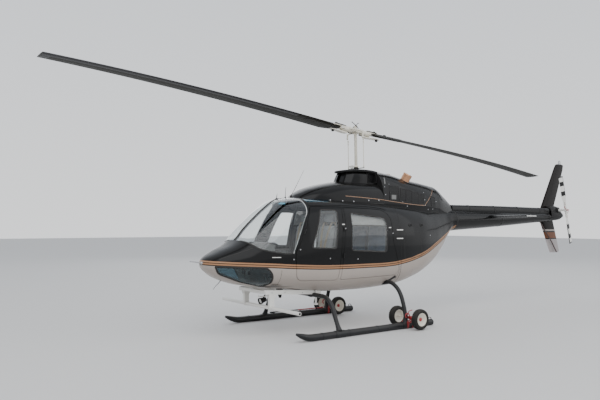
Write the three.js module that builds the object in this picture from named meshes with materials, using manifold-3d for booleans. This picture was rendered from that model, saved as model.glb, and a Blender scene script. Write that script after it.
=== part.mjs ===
// Light turbine helicopter on high skids, with a two blade teetering rotor, four cabin doors,
// ground handling wheels on the skids and an equipment frame under the nose.
// Millimetres. +X is forward, +Y is port, +Z is up. Heights count from the ground,
// and X in the tables counts from the rotor mast.
import * as THREE from 'three';
import { mergeVertices } from 'three/addons/utils/BufferGeometryUtils.js';
import Module from 'manifold-3d';

const wasm = await Module();
wasm.setup();

// The mast stands this far ahead of the middle of the overall length
const MAST_STATION = 740;

// Clearances
const SEAM = 0.3;
const SADDLE_GAP = 0.5;
const DOOR_GAP = 8;
const DOOR_STEP = 20;

// Walls
const WALL = 36;
const GLASS = 8;
const COWL_WALL = 14;
const BOOM_WALL = 14;

// Reach of cutting solids, to either side and up
const FAR = 1400;
const SKY = 4000;

// Fuselage sections: station, half width, keel height, crown height, height of the greatest width,
// and the roundness of belly and crown, where 2 is an ellipse and more is squarer
const SECTION = ['x', 'half', 'low', 'high', 'wide', 'belly', 'crown'];
const HULL = table(SECTION, [
  [-2375, 205, 1504, 1905, 1700, 2.0, 2.1],
  [-2290, 202, 1496, 1913, 1690, 2.0, 2.1],
  [-2130, 228, 1345, 1930, 1580, 2.0, 2.2],
  [-1880, 308, 1070, 1945, 1420, 2.0, 2.4],
  [-1570, 415, 870, 1959, 1290, 2.2, 2.5],
  [-1050, 556, 692, 1980, 1165, 2.6, 3.0],
  [-430, 640, 598, 2005, 1095, 3.2, 3.4],
  [300, 660, 566, 2035, 1070, 3.2, 3.6],
  [1000, 660, 580, 2042, 1060, 3.2, 3.4],
  [1400, 645, 615, 2032, 1050, 3.0, 3.0],
  [1620, 625, 645, 2002, 1045, 3.0, 2.6],
  [1830, 592, 668, 1874, 1040, 2.8, 2.3],
  [2020, 550, 690, 1717, 1040, 2.7, 2.1],
  [2200, 505, 720, 1550, 1040, 2.6, 2.0],
  [2350, 455, 745, 1387, 1045, 2.5, 2.0],
  [2650, 320, 845, 1232, 1050, 2.2, 2.0],
  [2800, 190, 940, 1150, 1060, 2.0, 2.0],
  [2870, 70, 1025, 1110, 1068, 2.0, 2.0],
]);
const HULL_SIDES = 24;
const CABIN_BACK = -430;
const HULL_BACK = -2375;

// Cowl over the gearbox and its deck, and the taller cowl over the engine with its tail fairing
const DECK_COWL = table(SECTION, [
  [-260, 425, 1700, 2335, 1960, 2.0, 2.8],
  [200, 420, 1700, 2328, 1960, 2.0, 2.8],
  [488, 412, 1700, 2317, 1960, 2.0, 2.7],
  [718, 395, 1700, 2283, 1960, 2.0, 2.6],
  [1061, 340, 1700, 2197, 1960, 2.0, 2.4],
  [1230, 270, 1700, 2120, 1960, 2.0, 2.2],
  [1340, 170, 1700, 2050, 1960, 2.0, 2.0],
]);
const ENGINE_COWL = table(SECTION, [
  [-2375, 90, 1600, 2014, 1820, 2.0, 2.0],
  [-2290, 116, 1600, 2068, 1830, 2.0, 2.0],
  [-2150, 160, 1600, 2162, 1850, 2.0, 2.0],
  [-1880, 238, 1640, 2308, 1915, 2.0, 2.2],
  [-1807, 255, 1650, 2330, 1930, 2.0, 2.2],
  [-1500, 320, 1680, 2372, 1950, 2.0, 2.4],
  [-1010, 385, 1700, 2434, 1960, 2.0, 2.5],
  [-570, 415, 1700, 2510, 1960, 2.0, 2.6],
  [-260, 425, 1700, 2535, 1960, 2.0, 2.6],
]);
const MAST_FAIRING = table(SECTION, [
  [-260, 265, 2150, 2500, 2300, 2.0, 5.0],
  [60, 262, 2150, 2500, 2300, 2.0, 5.0],
  [260, 225, 2150, 2500, 2300, 2.0, 5.0],
  [380, 140, 2150, 2500, 2300, 2.0, 5.0],
  [410, 70, 2150, 2500, 2300, 2.0, 5.0],
]);
const COWL_SIDES = 20;
const COWL_SPLIT = -260;
const TAIL_FAIRING_FRONT = -1810;

// Tail boom with the shaft cover along its crown
const BOOM = table(SECTION, [
  [-5700, 94, 1703, 1874, 1790, 2.0, 2.0],
  [-5500, 95.4, 1690, 1877, 1783, 2.0, 2.0],
  [-5245, 104, 1674, 1880, 1776, 2.0, 2.0],
  [-3630, 152, 1571, 1893, 1722, 2.0, 2.0],
  [-2375.3, 204, 1505, 1904, 1700, 2.0, 2.1],
]);
const SHAFT_COVER = table(SECTION, [
  [-5700, 56, 1790, 1990, 1900, 2.0, 3.0],
  [-5384, 64, 1790, 1995, 1900, 2.0, 3.0],
  [-3630, 78, 1790, 2006, 1900, 2.0, 3.0],
  [-2375.3, 88, 1790, 2002, 1900, 2.0, 3.0],
]);
const BOOM_SIDES = 16;
const COVER_SIDES = 12;
const TAIL_BOX = table(SECTION, [
  [-6262, 22, 1795, 1862, 1828, 2.0, 2.0],
  [-6225, 55, 1786, 1885, 1835, 2.0, 2.0],
  [-6105, 80, 1742, 1958, 1845, 2.2, 2.2],
  [-5991, 92, 1726, 2035, 1860, 2.4, 2.4],
  [-5831, 95.7, 1716, 2052, 1860, 2.4, 2.4],
  [-5700.3, 94, 1703, 2022, 1850, 2.2, 2.2],
]);

// Side view outlines: x, z and corner radius
const CREW_DOOR = [[1335, 1893, 40], [764, 1893, 18], [905, 780, 60], [1655, 800, 120], [1680, 1180, 30]];
const REAR_DOOR = [[728, 1893, 18], [-60, 1866, 60], [-236, 1780, 110], [-256, 1360, 60], [-392, 930, 60],
  [-350, 800, 60], [862, 780, 40]];
const CREW_WINDOW = [[1176, 1844, 40], [872, 1836, 50], [950, 1256, 50], [1402, 1274, 40]];
const REAR_WINDOW = [[622, 1800, 50], [-136, 1722, 110], [-100, 1180, 60], [648, 1220, 50]];
const WINDSCREEN = [[1440, 2140, 0], [1372, 1893, 20], [1712, 1203, 20], [1930, 1212, 0], [2200, 1272, 0],
  [2365, 1400, 0], [2500, 2140, 0]];
const CHIN_WINDOW = [[2775, 1030, 15], [2100, 1003, 70], [2015, 900, 60], [1998, 770, 45], [2080, 722, 45],
  [2430, 808, 60], [2720, 925, 50]];
// Roof window in plan view: x, y and corner radius
const ROOF_WINDOW = [[1340, 270, 40], [1340, 420, 40], [880, 455, 40], [880, 350, 40]];
const ROOF_LOW = 1880;
const ROOF_HIGH = 2200;
const CENTRE_POST = 32;
const CHIN_KEEL = 110;

// Panel splits
const HULL_SPLIT = 965;
const NOSE_SPLIT = 2130;
const FLOOR = { low: 715, high: 740, front: 2500, back: -380 };

// Door hinges: a line through two points just outside the skin, port side
const CREW_HINGE = { low: [1653.3, 634, 1235], high: [1515.5, 634, 1520] };
const REAR_HINGE = { low: [817.5, 676, 1150], high: [769, 676, 1550] };
const HINGE = { radius: 9, knuckle: 44, lug: 26, gap: 0.5, sides: 12, arm: 24, offset: 3, depth: 60 };

// Rotor: the mast leans forward and the blade over the nose rests high
const HUB_HEIGHT = 3200;
const MAST_TILT = THREE.MathUtils.degToRad(1.5);
const BLADE_RISE = THREE.MathUtils.degToRad(5.64);
const ROTOR = { radius: 5080, chord: 330, thick: 38, azimuth: THREE.MathUtils.degToRad(0.6) };
// Each blade lies behind the blade axis and twists for each millimetre of span. It has its pitch at the
// level station, and its own weight bends it.
const BLADE = { behind: 92, steps: 10, twist: THREE.MathUtils.degToRad(-0.002124), level: 3000,
  cone: THREE.MathUtils.degToRad(1.38), droop: 144, bend: 2.5 };
const BLADES = [{ name: 'fore', end: 1, pitch: THREE.MathUtils.degToRad(1.59) },
  { name: 'aft', end: -1, pitch: THREE.MathUtils.degToRad(5.51) }];
const MAST = { radius: 25, foot: -735, top: 70, capRadius: 37, capLow: 56, capHigh: 94 };
const LINK = { offset: 192, radius: 8, foot: -590, top: -150, eye: 14 };
const SWASH = { radius: 62, low: -640, high: -560, arm: 16 };
const YOKE = { length: 520, half: 95, neck: 66, thick: 46, bore: 48, grip: 250, gripThick: 70 };
const TRUNNION = { half: 80, radius: 16, bore: 16.8, reach: 86 };
const HORN = { root: 57, reach: 207, toe: 30, drop: 128, width: 40, thick: 46 };

// Tail rotor, port side of the boom
const TAIL_HUB = [-5958, 278, 1951];
const TAIL_ROTOR = { radius: 760, chord: 133, thick: 16, root: 95, lean: THREE.MathUtils.degToRad(14.3),
  hub: 52, hubLength: 70, grip: 155, gripWidth: 56, gripThick: 44, shaft: 17 };

// Fin on the starboard side of the boom, side view
const FIN = [[-6200, 3000, 60], [-5500, 1840, 20], [-5950, 985, 25], [-6328, 1012, 25], [-6040, 1850, 20],
  [-6566, 3000, 60]];
const FIN_PLANE = { inner: -96, outer: -142 };
const STABILISER = { front: -3400, back: -3745, height: 1790, thick: 44, half: 985 };

// Landing gear
const SKID = { offset: 985, radius: 50, toeRadius: 48.5, back: -765, rise: 1660, tip: 1935, lift: 75,
  sides: 14 };
// Cross tubes: half routes from the skid to the middle, y and z
const TUBE_RADIUS = 33;
const TUBE_STEPS = 34;
const FRONT_TUBE = { x: 1170,
  route: [[985, 92], [905, 250], [815, 430], [700, 530], [560, 553], [300, 553]] };
const REAR_TUBE = { x: -170,
  route: [[985, 92], [988, 190], [971, 275], [939, 387], [901, 488], [842, 582], [769, 644], [690, 684],
    [610, 695], [530, 680], [420, 672]] };
const WHEEL = { x: -238, z: 165, radius: 159, rim: 98, width: 96, offset: 245, axle: 12, bore: 12.8,
  sidewall: 137, tread: 154, shoulder: 32, plate: 70, plateLength: 60, saddle: 160, sides: 20 };

// Equipment frame under the nose
const FRAME = { beam: 350, front: 2040, back: 1028, top: 618, rise: 676, depth: 66, width: 50, post: 80,
  cross: 60, crossTop: 666 };
const BAR = { x: 1926, z: 408, half: 1059, radius: 26, bore: 19 };

// Cabin pieces
const SEAT = { base: 985, cushion: 1085, top: 1640, corner: 40 };
const SEATS = {
  crew: { back: 830, front: 1290, y: 310, width: 440, thick: 110, recline: 0.14 },
  rear: { back: -330, front: 170, y: 0, width: 1080, thick: 120, recline: 0.1 },
};
const SEAT_BOX = { back: 740, front: 1230, half: 500, wall: 40, top: 1250, column: 76, roof: 1985 };
const REAR_BOX = { back: -370, front: 120, half: 480 };
const CONSOLE = { back: 1780, front: 2000, half: 110, top: 1150, panelHalf: 250,
  panel: [[1800, 1120, 0], [2030, 1120, 0], [2060, 1260, 30], [1930, 1370, 60], [1780, 1330, 40]] };

// Upper pieces
const ENGINE = { x: [-1420, -520], y: [-190, 190], z: [1940, 2250] };
const GEARBOX = { x: [-170, 150], y: [-150, 150], foot: 1980 };
const STACK = { x: -925, y: 160, foot: 2286, top: 2498, splay: 110, rake: 58, radius: 82 };
const STACK_WALL = 6;
const MAST_HOLE = { radius: 70, low: 2100, high: 2700 };
const DECK_OPENING = { x: [-270, 300], y: [-180, 180], z: [2100, 2500] };
const CAP_PLATE = { low: 2492, high: 2538,
  outline: [[-300, -275, 0], [60, -275, 60], [300, -215, 60], [435, 0, 120], [300, 215, 60], [60, 275, 60],
    [-300, 275, 0]] };
const INLET = { x: [-215, -20], z: [2352, 2470] };
const TAIL_SKID = { radius: 12, steps: 10,
  route: [[-5420, -50, 1740], [-5560, -56, 1610], [-5711, -60, 1460], [-5905, -60, 1271],
    [-6125, -60, 1005]] };

// Finishes: colour, roughness and metalness
const FINISHES = {
  black: [0x17181a, 0.25, 0.1],
  light: [0xb9b2a8, 0.3, 0.1],
  cream: [0xe8e2d2, 0.4, 0.2],
  white: [0xe8e8e6, 0.4, 0.1],
  blade: [0x2b2a24, 0.55, 0.1],
  glass: [0x9fb4bd, 0.05, 0],
  tinted: [0x22333c, 0.05, 0],
  roofGlass: [0x2f7f9f, 0.05, 0],
  floor: [0x55524e, 0.8, 0],
  trim: [0x6d6a66, 0.7, 0],
  console: [0x1c1d1f, 0.7, 0],
  fabric: [0x8b8a88, 0.8, 0],
  metal: [0x8c8f92, 0.5, 0.8],
  exhaust: [0xb07a5e, 0.4, 0.9],
  gear: [0x202226, 0.4, 0.3],
  red: [0xa3202a, 0.45, 0.2],
  rubber: [0x1b1b1c, 0.85, 0],
};

function table(names, rows) {
  return rows.map((row) => Object.fromEntries(names.map((name, column) => [name, row[column]])));
}

// Closed solids and booleans
function solidOf(geometry) {
  const bare = geometry.clone();
  bare.deleteAttribute('normal');
  bare.deleteAttribute('uv');
  const merged = mergeVertices(bare, 1e-3);
  return new wasm.Manifold(new wasm.Mesh({
    numProp: 3,
    vertProperties: new Float32Array(merged.attributes.position.array),
    triVerts: new Uint32Array(merged.index.array),
  }));
}

function geometryOf(solid) {
  const mesh = solid.getMesh();
  const geometry = new THREE.BufferGeometry();
  geometry.setAttribute('position', new THREE.BufferAttribute(new Float32Array(mesh.vertProperties), 3));
  geometry.setIndex(new THREE.BufferAttribute(new Uint32Array(mesh.triVerts), 1));
  geometry.computeVertexNormals();
  return geometry;
}

function fused(solids) {
  return solids.reduce((whole, solid) => whole.add(solid));
}

// Section lofts
function sectionAt(rows, x) {
  const last = rows.length - 1;
  const next = Math.min(Math.max(rows.findIndex((row) => row.x >= x), 1), last);
  const from = rows[next - 1];
  const to = rows[next];
  const share = (x - from.x) / (to.x - from.x);
  return Object.fromEntries(SECTION.map((name) => [name, from[name] + (to[name] - from[name]) * share]));
}

function ringPoint(row, angle, inset) {
  const across = Math.cos(angle);
  const up = Math.sin(angle);
  const power = 2 / (up >= 0 ? row.crown : row.belly);
  const reach = (up >= 0 ? row.high - row.wide : row.wide - row.low) - inset;
  return [
    row.x,
    (row.half - inset) * Math.sign(across) * Math.abs(across) ** power,
    row.wide + reach * Math.sign(up) * Math.abs(up) ** power,
  ];
}

function loft(rows, back, front, sides, inset = 0) {
  const inner = rows.filter((row) => row.x > back + 1 && row.x < front - 1);
  const stations = [sectionAt(rows, back), ...inner, sectionAt(rows, front)];
  const points = [];
  const faces = [];
  stations.forEach((row, level) => {
    for (let side = 0; side < sides; side += 1) {
      points.push(...ringPoint(row, (side * 2 * Math.PI) / sides, inset));
      const here = level * sides + side;
      const beside = level * sides + ((side + 1) % sides);
      if (level < stations.length - 1) {
        faces.push(here, beside, here + sides, beside, beside + sides, here + sides);
      }
    }
  });
  const end = (stations.length - 1) * sides;
  for (let side = 1; side < sides - 1; side += 1) {
    faces.push(0, side + 1, side);
    faces.push(end, end + side, end + side + 1);
  }
  const geometry = new THREE.BufferGeometry();
  geometry.setAttribute('position', new THREE.Float32BufferAttribute(points, 3));
  geometry.setIndex(faces);
  return solidOf(geometry);
}

// Outlines with rounded corners, and outlines moved in by a gap
function roundedOutline(corners, steps = 2) {
  const outline = [];
  corners.forEach(([x, z, radius], index) => {
    const before = corners[(index + corners.length - 1) % corners.length];
    const after = corners[(index + 1) % corners.length];
    const corner = new THREE.Vector2(x, z);
    const back = new THREE.Vector2(before[0] - x, before[1] - z).normalize();
    const ahead = new THREE.Vector2(after[0] - x, after[1] - z).normalize();
    if (radius === 0) {
      outline.push(corner);
      return;
    }
    const start = corner.clone().addScaledVector(back, radius);
    const end = corner.clone().addScaledVector(ahead, radius);
    const curve = new THREE.QuadraticBezierCurve(start, corner, end);
    outline.push(...curve.getPoints(steps));
  });
  return THREE.ShapeUtils.isClockWise(outline) ? outline.reverse() : outline;
}

function movedIn(outline, gap) {
  return outline.map((point, index) => {
    const before = outline[(index + outline.length - 1) % outline.length];
    const after = outline[(index + 1) % outline.length];
    const first = point.clone().sub(before).normalize();
    const second = after.clone().sub(point).normalize();
    const normal = new THREE.Vector2(-first.y - second.y, first.x + second.x).normalize();
    const stretch = Math.max(normal.dot(new THREE.Vector2(-first.y, first.x)), 0.4);
    return point.clone().addScaledVector(normal, gap / stretch);
  });
}

// Corners moved in by a gap, each rounded that much less
function cornersIn(corners, gap) {
  const points = corners.map(([x, z]) => new THREE.Vector2(x, z));
  const wanted = THREE.ShapeUtils.isClockWise(points) ? -gap : gap;
  return movedIn(points, wanted).map((point, index) => (
    [point.x, point.y, Math.max(corners[index][2] - gap, 0)]));
}

// Slabs, boxes, rods and tubes
function sideSlab(outline, low, high) {
  const geometry = new THREE.ExtrudeGeometry(new THREE.Shape(outline),
    { depth: high - low, bevelEnabled: false });
  geometry.rotateX(Math.PI / 2);
  geometry.translate(0, high, 0);
  return solidOf(geometry);
}

function planSlab(outline, low, high) {
  const geometry = new THREE.ExtrudeGeometry(new THREE.Shape(outline),
    { depth: high - low, bevelEnabled: false });
  geometry.translate(0, 0, low);
  return solidOf(geometry);
}

function oneSide(outline, side, inner = 0) {
  return side > 0 ? sideSlab(outline, inner, FAR) : sideSlab(outline, -FAR, -inner);
}

function box(x, y, z) {
  const geometry = new THREE.BoxGeometry(x[1] - x[0], y[1] - y[0], z[1] - z[0]);
  geometry.translate((x[0] + x[1]) / 2, (y[0] + y[1]) / 2, (z[0] + z[1]) / 2);
  return solidOf(geometry);
}

function rodGeometry(from, to, radius, sides) {
  const start = new THREE.Vector3(...from);
  const along = new THREE.Vector3(...to).sub(start);
  const geometry = new THREE.CylinderGeometry(radius, radius, along.length(), sides);
  const turn = new THREE.Quaternion().setFromUnitVectors(new THREE.Vector3(0, 1, 0),
    along.clone().normalize());
  geometry.applyQuaternion(turn);
  geometry.translate(...start.addScaledVector(along, 0.5).toArray());
  return geometry;
}

function rod(from, to, radius, sides = 16) {
  return solidOf(rodGeometry(from, to, radius, sides));
}

function circle(radius, sides) {
  const step = (2 * Math.PI) / sides;
  return new THREE.Shape(Array.from({ length: sides }, (unused, side) => (
    new THREE.Vector2(radius * Math.cos(side * step), radius * Math.sin(side * step)))));
}

function bentTube(points, radius, steps, sides) {
  const path = new THREE.CatmullRomCurve3(points.map((point) => new THREE.Vector3(...point)));
  const geometry = new THREE.ExtrudeGeometry(circle(radius, sides), { steps, extrudePath: path });
  return solidOf(geometry);
}

function lathe(profile, sides) {
  const geometry = new THREE.LatheGeometry(profile.map((point) => new THREE.Vector2(...point)), sides);
  return solidOf(geometry);
}

function crossTube(tube, radius) {
  const port = tube.route.map(([y, z]) => [tube.x, y, z]);
  const starboard = tube.route.map(([y, z]) => [tube.x, -y, z]).reverse();
  return bentTube([...port, ...starboard], radius, TUBE_STEPS, 8);
}

const helicopter = new THREE.Group();
const airframe = new THREE.Group();
airframe.position.x = MAST_STATION;
helicopter.add(airframe);

function place(name, shape, finish, parent = airframe) {
  const geometry = shape.isBufferGeometry ? shape : geometryOf(shape);
  const [color, roughness, metalness] = FINISHES[finish];
  const mesh = new THREE.Mesh(geometry, new THREE.MeshStandardMaterial({ color, roughness, metalness }));
  mesh.name = name;
  parent.add(mesh);
  return mesh;
}

const SIDES = [{ name: 'left', side: 1 }, { name: 'right', side: -1 }];

// Cabin: one shell, split along its real panels
const noseTip = HULL[HULL.length - 1].x;
const cabinSkin = loft(HULL, CABIN_BACK, noseTip, HULL_SIDES);
const cabinShell = cabinSkin.subtract(loft(HULL, CABIN_BACK + WALL, noseTip - WALL, HULL_SIDES, WALL));
const glassShell = cabinSkin.subtract(loft(HULL, CABIN_BACK, noseTip - GLASS, HULL_SIDES, GLASS));

const outlines = {
  crewDoor: roundedOutline(CREW_DOOR),
  rearDoor: roundedOutline(REAR_DOOR),
  crewWindow: roundedOutline(CREW_WINDOW),
  rearWindow: roundedOutline(REAR_WINDOW),
  windscreen: roundedOutline(WINDSCREEN),
  chinWindow: roundedOutline(CHIN_WINDOW),
};

function hingeParts(hinge, side, toDoor) {
  const low = new THREE.Vector3(hinge.low[0], hinge.low[1] * side, hinge.low[2]);
  const high = new THREE.Vector3(hinge.high[0], hinge.high[1] * side, hinge.high[2]);
  const along = high.clone().sub(low).normalize();
  const outward = new THREE.Vector3(0, side, 0).addScaledVector(along, -side * along.y).normalize();
  const forward = new THREE.Vector3().crossVectors(outward, along).multiplyScalar(side);
  const basis = new THREE.Matrix4().makeBasis(forward, outward.clone().multiplyScalar(side), along);
  const piece = (centre, from, to, reach) => {
    const barrel = rod(centre.clone().addScaledVector(along, from).toArray(),
      centre.clone().addScaledVector(along, to).toArray(), HINGE.radius, HINGE.sides);
    const geometry = new THREE.BoxGeometry(HINGE.arm, HINGE.depth, to - from);
    geometry.translate(reach * (HINGE.arm / 2 + HINGE.offset), (-side * HINGE.depth) / 2, (from + to) / 2);
    geometry.applyMatrix4(basis);
    geometry.translate(centre.x, centre.y, centre.z);
    return barrel.add(solidOf(geometry));
  };
  const half = HINGE.knuckle / 2;
  const inner = half + HINGE.gap;
  const outer = inner + HINGE.lug;
  return [low, high].flatMap((centre) => (toDoor
    ? [piece(centre, -half, half, -1)]
    : [piece(centre, inner, outer, 1), piece(centre, -outer, -inner, 1)]));
}

function roofOpening(side, gap) {
  const corners = ROOF_WINDOW.map(([x, y, radius]) => [x, y * side, radius]);
  return planSlab(movedIn(roundedOutline(corners), gap), ROOF_LOW, ROOF_HIGH);
}

let cabinBody = cabinShell;
SIDES.forEach(({ side }) => {
  cabinBody = cabinBody
    .subtract(oneSide(outlines.crewDoor, side))
    .subtract(oneSide(outlines.rearDoor, side))
    .subtract(oneSide(outlines.windscreen, side, CENTRE_POST / 2))
    .subtract(oneSide(outlines.chinWindow, side, CHIN_KEEL))
    .subtract(roofOpening(side, 0));
});
const below = box([HULL_BACK, noseTip + 1], [-FAR, FAR], [0, HULL_SPLIT]);
const above = box([HULL_BACK, noseTip + 1], [-FAR, FAR], [HULL_SPLIT + SEAM, SKY]);
const ahead = box([NOSE_SPLIT + SEAM, noseTip + 1], [-FAR, FAR], [0, SKY]);
const behind = box([HULL_BACK, NOSE_SPLIT], [-FAR, FAR], [0, SKY]);

const rearTubeHole = crossTube(REAR_TUBE, TUBE_RADIUS + 2 * SEAM);
place('lower_hull', cabinBody.intersect(below).subtract(rearTubeHole), 'light');
place('nose_cover', cabinBody.intersect(above).intersect(ahead), 'black');
const posts = fused([
  cabinBody.intersect(above).intersect(behind),
  ...SIDES.flatMap(({ side }) => hingeParts(CREW_HINGE, side, false)),
  ...SIDES.flatMap(({ side }) => hingeParts(REAR_HINGE, side, false)),
]);
place('cabin_frame', posts, 'black');

SIDES.forEach(({ name, side }) => {
  const doors = [
    { piece: 'crew', corners: CREW_DOOR, window: outlines.crewWindow, hinge: CREW_HINGE },
    { piece: 'passenger', corners: REAR_DOOR, window: outlines.rearWindow, hinge: REAR_HINGE },
  ];
  doors.forEach(({ piece, corners, window, hinge }) => {
    const skin = roundedOutline(cornersIn(corners, DOOR_GAP));
    const lining = roundedOutline(cornersIn(corners, DOOR_GAP + DOOR_STEP));
    const panel = glassShell.intersect(oneSide(skin, side))
      .add(cabinShell.intersect(oneSide(lining, side)))
      .subtract(oneSide(window, side));
    place(`${piece}_door_${name}`, fused([panel, ...hingeParts(hinge, side, true)]), 'black');
    const pane = glassShell.intersect(oneSide(movedIn(window, SEAM), side));
    place(`${piece}_window_${name}`, pane, 'glass');
  });
  const screen = glassShell.intersect(
    oneSide(movedIn(outlines.windscreen, SEAM), side, CENTRE_POST / 2 + SEAM));
  place(`windscreen_${name}`, screen, 'glass');
  const chin = glassShell.intersect(oneSide(movedIn(outlines.chinWindow, SEAM), side, CHIN_KEEL + SEAM));
  place(`chin_window_${name}`, chin, 'tinted');
  place(`roof_window_${name}`, glassShell.intersect(roofOpening(side, SEAM)), 'roofGlass');
});

// Cabin floor, seats, instrument console
const cabinSpace = loft(HULL, CABIN_BACK + WALL + SEAM, FLOOR.front, HULL_SIDES, WALL + SEAM);
const floorBox = box([FLOOR.back, FLOOR.front], [-FAR, FAR], [FLOOR.low, FLOOR.high]);
place('cabin_floor', cabinSpace.intersect(floorBox), 'floor');

const onFloor = FLOOR.high + SEAM;
function seatSolid(seat, side) {
  const y = [seat.y - seat.width / 2, seat.y + seat.width / 2].map((value) => value * side)
    .sort((a, b) => a - b);
  const pan = box([seat.back, seat.front], y, [SEAT.base, SEAT.cushion]);
  const lean = (SEAT.top - SEAT.cushion) * Math.tan(seat.recline);
  const back = [[seat.back, SEAT.base, 0], [seat.back + seat.thick, SEAT.base, 0],
    [seat.back + seat.thick - lean, SEAT.top, SEAT.corner], [seat.back - lean, SEAT.top, SEAT.corner]];
  return pan.add(sideSlab(roundedOutline(back), y[0], y[1]));
}

const seatBoxTop = SEAT.base - SEAM;
place('seat_box', fused([
  box([SEAT_BOX.back, SEAT_BOX.front], [-SEAT_BOX.half, SEAT_BOX.half], [onFloor, seatBoxTop]),
  box([SEAT_BOX.back, SEAT_BOX.back + SEAT_BOX.wall], [-SEAT_BOX.half, SEAT_BOX.half],
    [onFloor, SEAT_BOX.top]),
  box([SEAT_BOX.back, SEAT_BOX.back + SEAT_BOX.column], [-SEAT_BOX.column / 2, SEAT_BOX.column / 2],
    [onFloor, SEAT_BOX.roof]),
]), 'trim');
SIDES.forEach(({ name, side }) => place(`crew_seat_${name}`, seatSolid(SEATS.crew, side), 'fabric'));
place('rear_seat_box', box([REAR_BOX.back, REAR_BOX.front], [-REAR_BOX.half, REAR_BOX.half],
  [onFloor, seatBoxTop]), 'trim');
place('rear_bench', seatSolid(SEATS.rear, 1), 'fabric');
place('instrument_console', fused([
  box([CONSOLE.back, CONSOLE.front], [-CONSOLE.half, CONSOLE.half], [onFloor, CONSOLE.top]),
  sideSlab(roundedOutline(CONSOLE.panel), -CONSOLE.panelHalf, CONSOLE.panelHalf),
]), 'console');

// Aft fuselage, boom, shaft cover and tail fairing
const grownHull = loft(HULL, HULL_BACK - 1, noseTip, HULL_SIDES, -SEAM);
const aftHull = loft(HULL, HULL_BACK, CABIN_BACK - SEAM, HULL_SIDES)
  .subtract(loft(HULL, HULL_BACK - 1, CABIN_BACK + 1, HULL_SIDES, COWL_WALL));
place('aft_fuselage', aftHull, 'black');

const boomBack = BOOM[0].x;
const boomFront = BOOM[BOOM.length - 1].x;
const stabiliser = box([STABILISER.back, STABILISER.front], [-STABILISER.half, STABILISER.half],
  [STABILISER.height - STABILISER.thick / 2, STABILISER.height + STABILISER.thick / 2]);
const stabiliserSlot = box([STABILISER.back - SEAM, STABILISER.front + SEAM], [-FAR, FAR],
  [STABILISER.height - STABILISER.thick / 2 - SEAM, STABILISER.height + STABILISER.thick / 2 + SEAM]);
const boomSkin = loft(BOOM, boomBack, boomFront, BOOM_SIDES);
const boomShell = boomSkin
  .subtract(loft(BOOM, boomBack + BOOM_WALL, boomFront + 1, BOOM_SIDES, BOOM_WALL))
  .subtract(stabiliserSlot);
place('tail_boom', boomShell, 'black');
place('stabiliser', stabiliser, 'black');
const grownBoom = loft(BOOM, boomBack - 1, boomFront, BOOM_SIDES, -SEAM);
place('shaft_cover', loft(SHAFT_COVER, SHAFT_COVER[0].x, SHAFT_COVER[SHAFT_COVER.length - 1].x, COVER_SIDES)
  .subtract(grownBoom).subtract(stabiliserSlot), 'black');
place('tail_gearbox', fused([
  loft(TAIL_BOX, TAIL_BOX[0].x, TAIL_BOX[TAIL_BOX.length - 1].x, BOOM_SIDES),
  rod([TAIL_HUB[0], 0, TAIL_HUB[2]],
    [TAIL_HUB[0], TAIL_HUB[1] - TAIL_ROTOR.hubLength / 2 - SEAM, TAIL_HUB[2]], TAIL_ROTOR.shaft),
]), 'black');
place('fin', sideSlab(roundedOutline(FIN), FIN_PLANE.outer, FIN_PLANE.inner), 'black');
place('tail_skid', bentTube(TAIL_SKID.route, TAIL_SKID.radius, TAIL_SKID.steps, 10).subtract(grownBoom),
  'gear');

// Upper cowls, engine and exhaust stacks
function cowl(rows, back, front, inset) {
  return loft(rows, back, front, COWL_SIDES)
    .subtract(loft(rows, back - 1, front - inset, COWL_SIDES, COWL_WALL))
    .subtract(grownHull);
}

const stacks = SIDES.map(({ name, side }) => ({
  name,
  from: [STACK.x, STACK.y * side, STACK.foot],
  to: [STACK.x - STACK.rake, (STACK.y + STACK.splay) * side, STACK.top],
}));
const deckFront = DECK_COWL[DECK_COWL.length - 1].x;
const deckCowl = cowl(DECK_COWL, COWL_SPLIT + SEAM, deckFront, COWL_WALL)
  .subtract(box(DECK_OPENING.x, DECK_OPENING.y, DECK_OPENING.z));
place('deck_cowl', deckCowl, 'black');
const engineCowl = stacks.reduce(
  (whole, stack) => whole.subtract(rod(stack.from, stack.to, STACK.radius + 2 * SEAM)),
  cowl(ENGINE_COWL, TAIL_FAIRING_FRONT + SEAM, COWL_SPLIT, 0),
);
place('engine_cowl', engineCowl, 'black');
const tailFairing = loft(ENGINE_COWL, ENGINE_COWL[0].x, TAIL_FAIRING_FRONT, COWL_SIDES)
  .subtract(loft(ENGINE_COWL, ENGINE_COWL[0].x + COWL_WALL, TAIL_FAIRING_FRONT + 1, COWL_SIDES, COWL_WALL))
  .subtract(grownHull);
place('tail_fairing', tailFairing, 'black');
place('engine', box(ENGINE.x, ENGINE.y, ENGINE.z).subtract(grownHull), 'metal');
const mastFoot = HUB_HEIGHT + MAST.foot * Math.cos(MAST_TILT) - MAST.radius * Math.sin(MAST_TILT);
place('transmission', box(GEARBOX.x, GEARBOX.y, [GEARBOX.foot, mastFoot - SEAM]).subtract(grownHull),
  'metal');
stacks.forEach(({ name, from, to }) => {
  const bore = new THREE.Vector3(...to).lerp(new THREE.Vector3(...from), 0.6).toArray();
  const mouth = new THREE.Vector3(...to).lerp(new THREE.Vector3(...from), -0.1).toArray();
  const bored = rod(from, to, STACK.radius).subtract(rod(bore, mouth, STACK.radius - STACK_WALL));
  place(`exhaust_${name}`, bored, 'exhaust');
});

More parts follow.
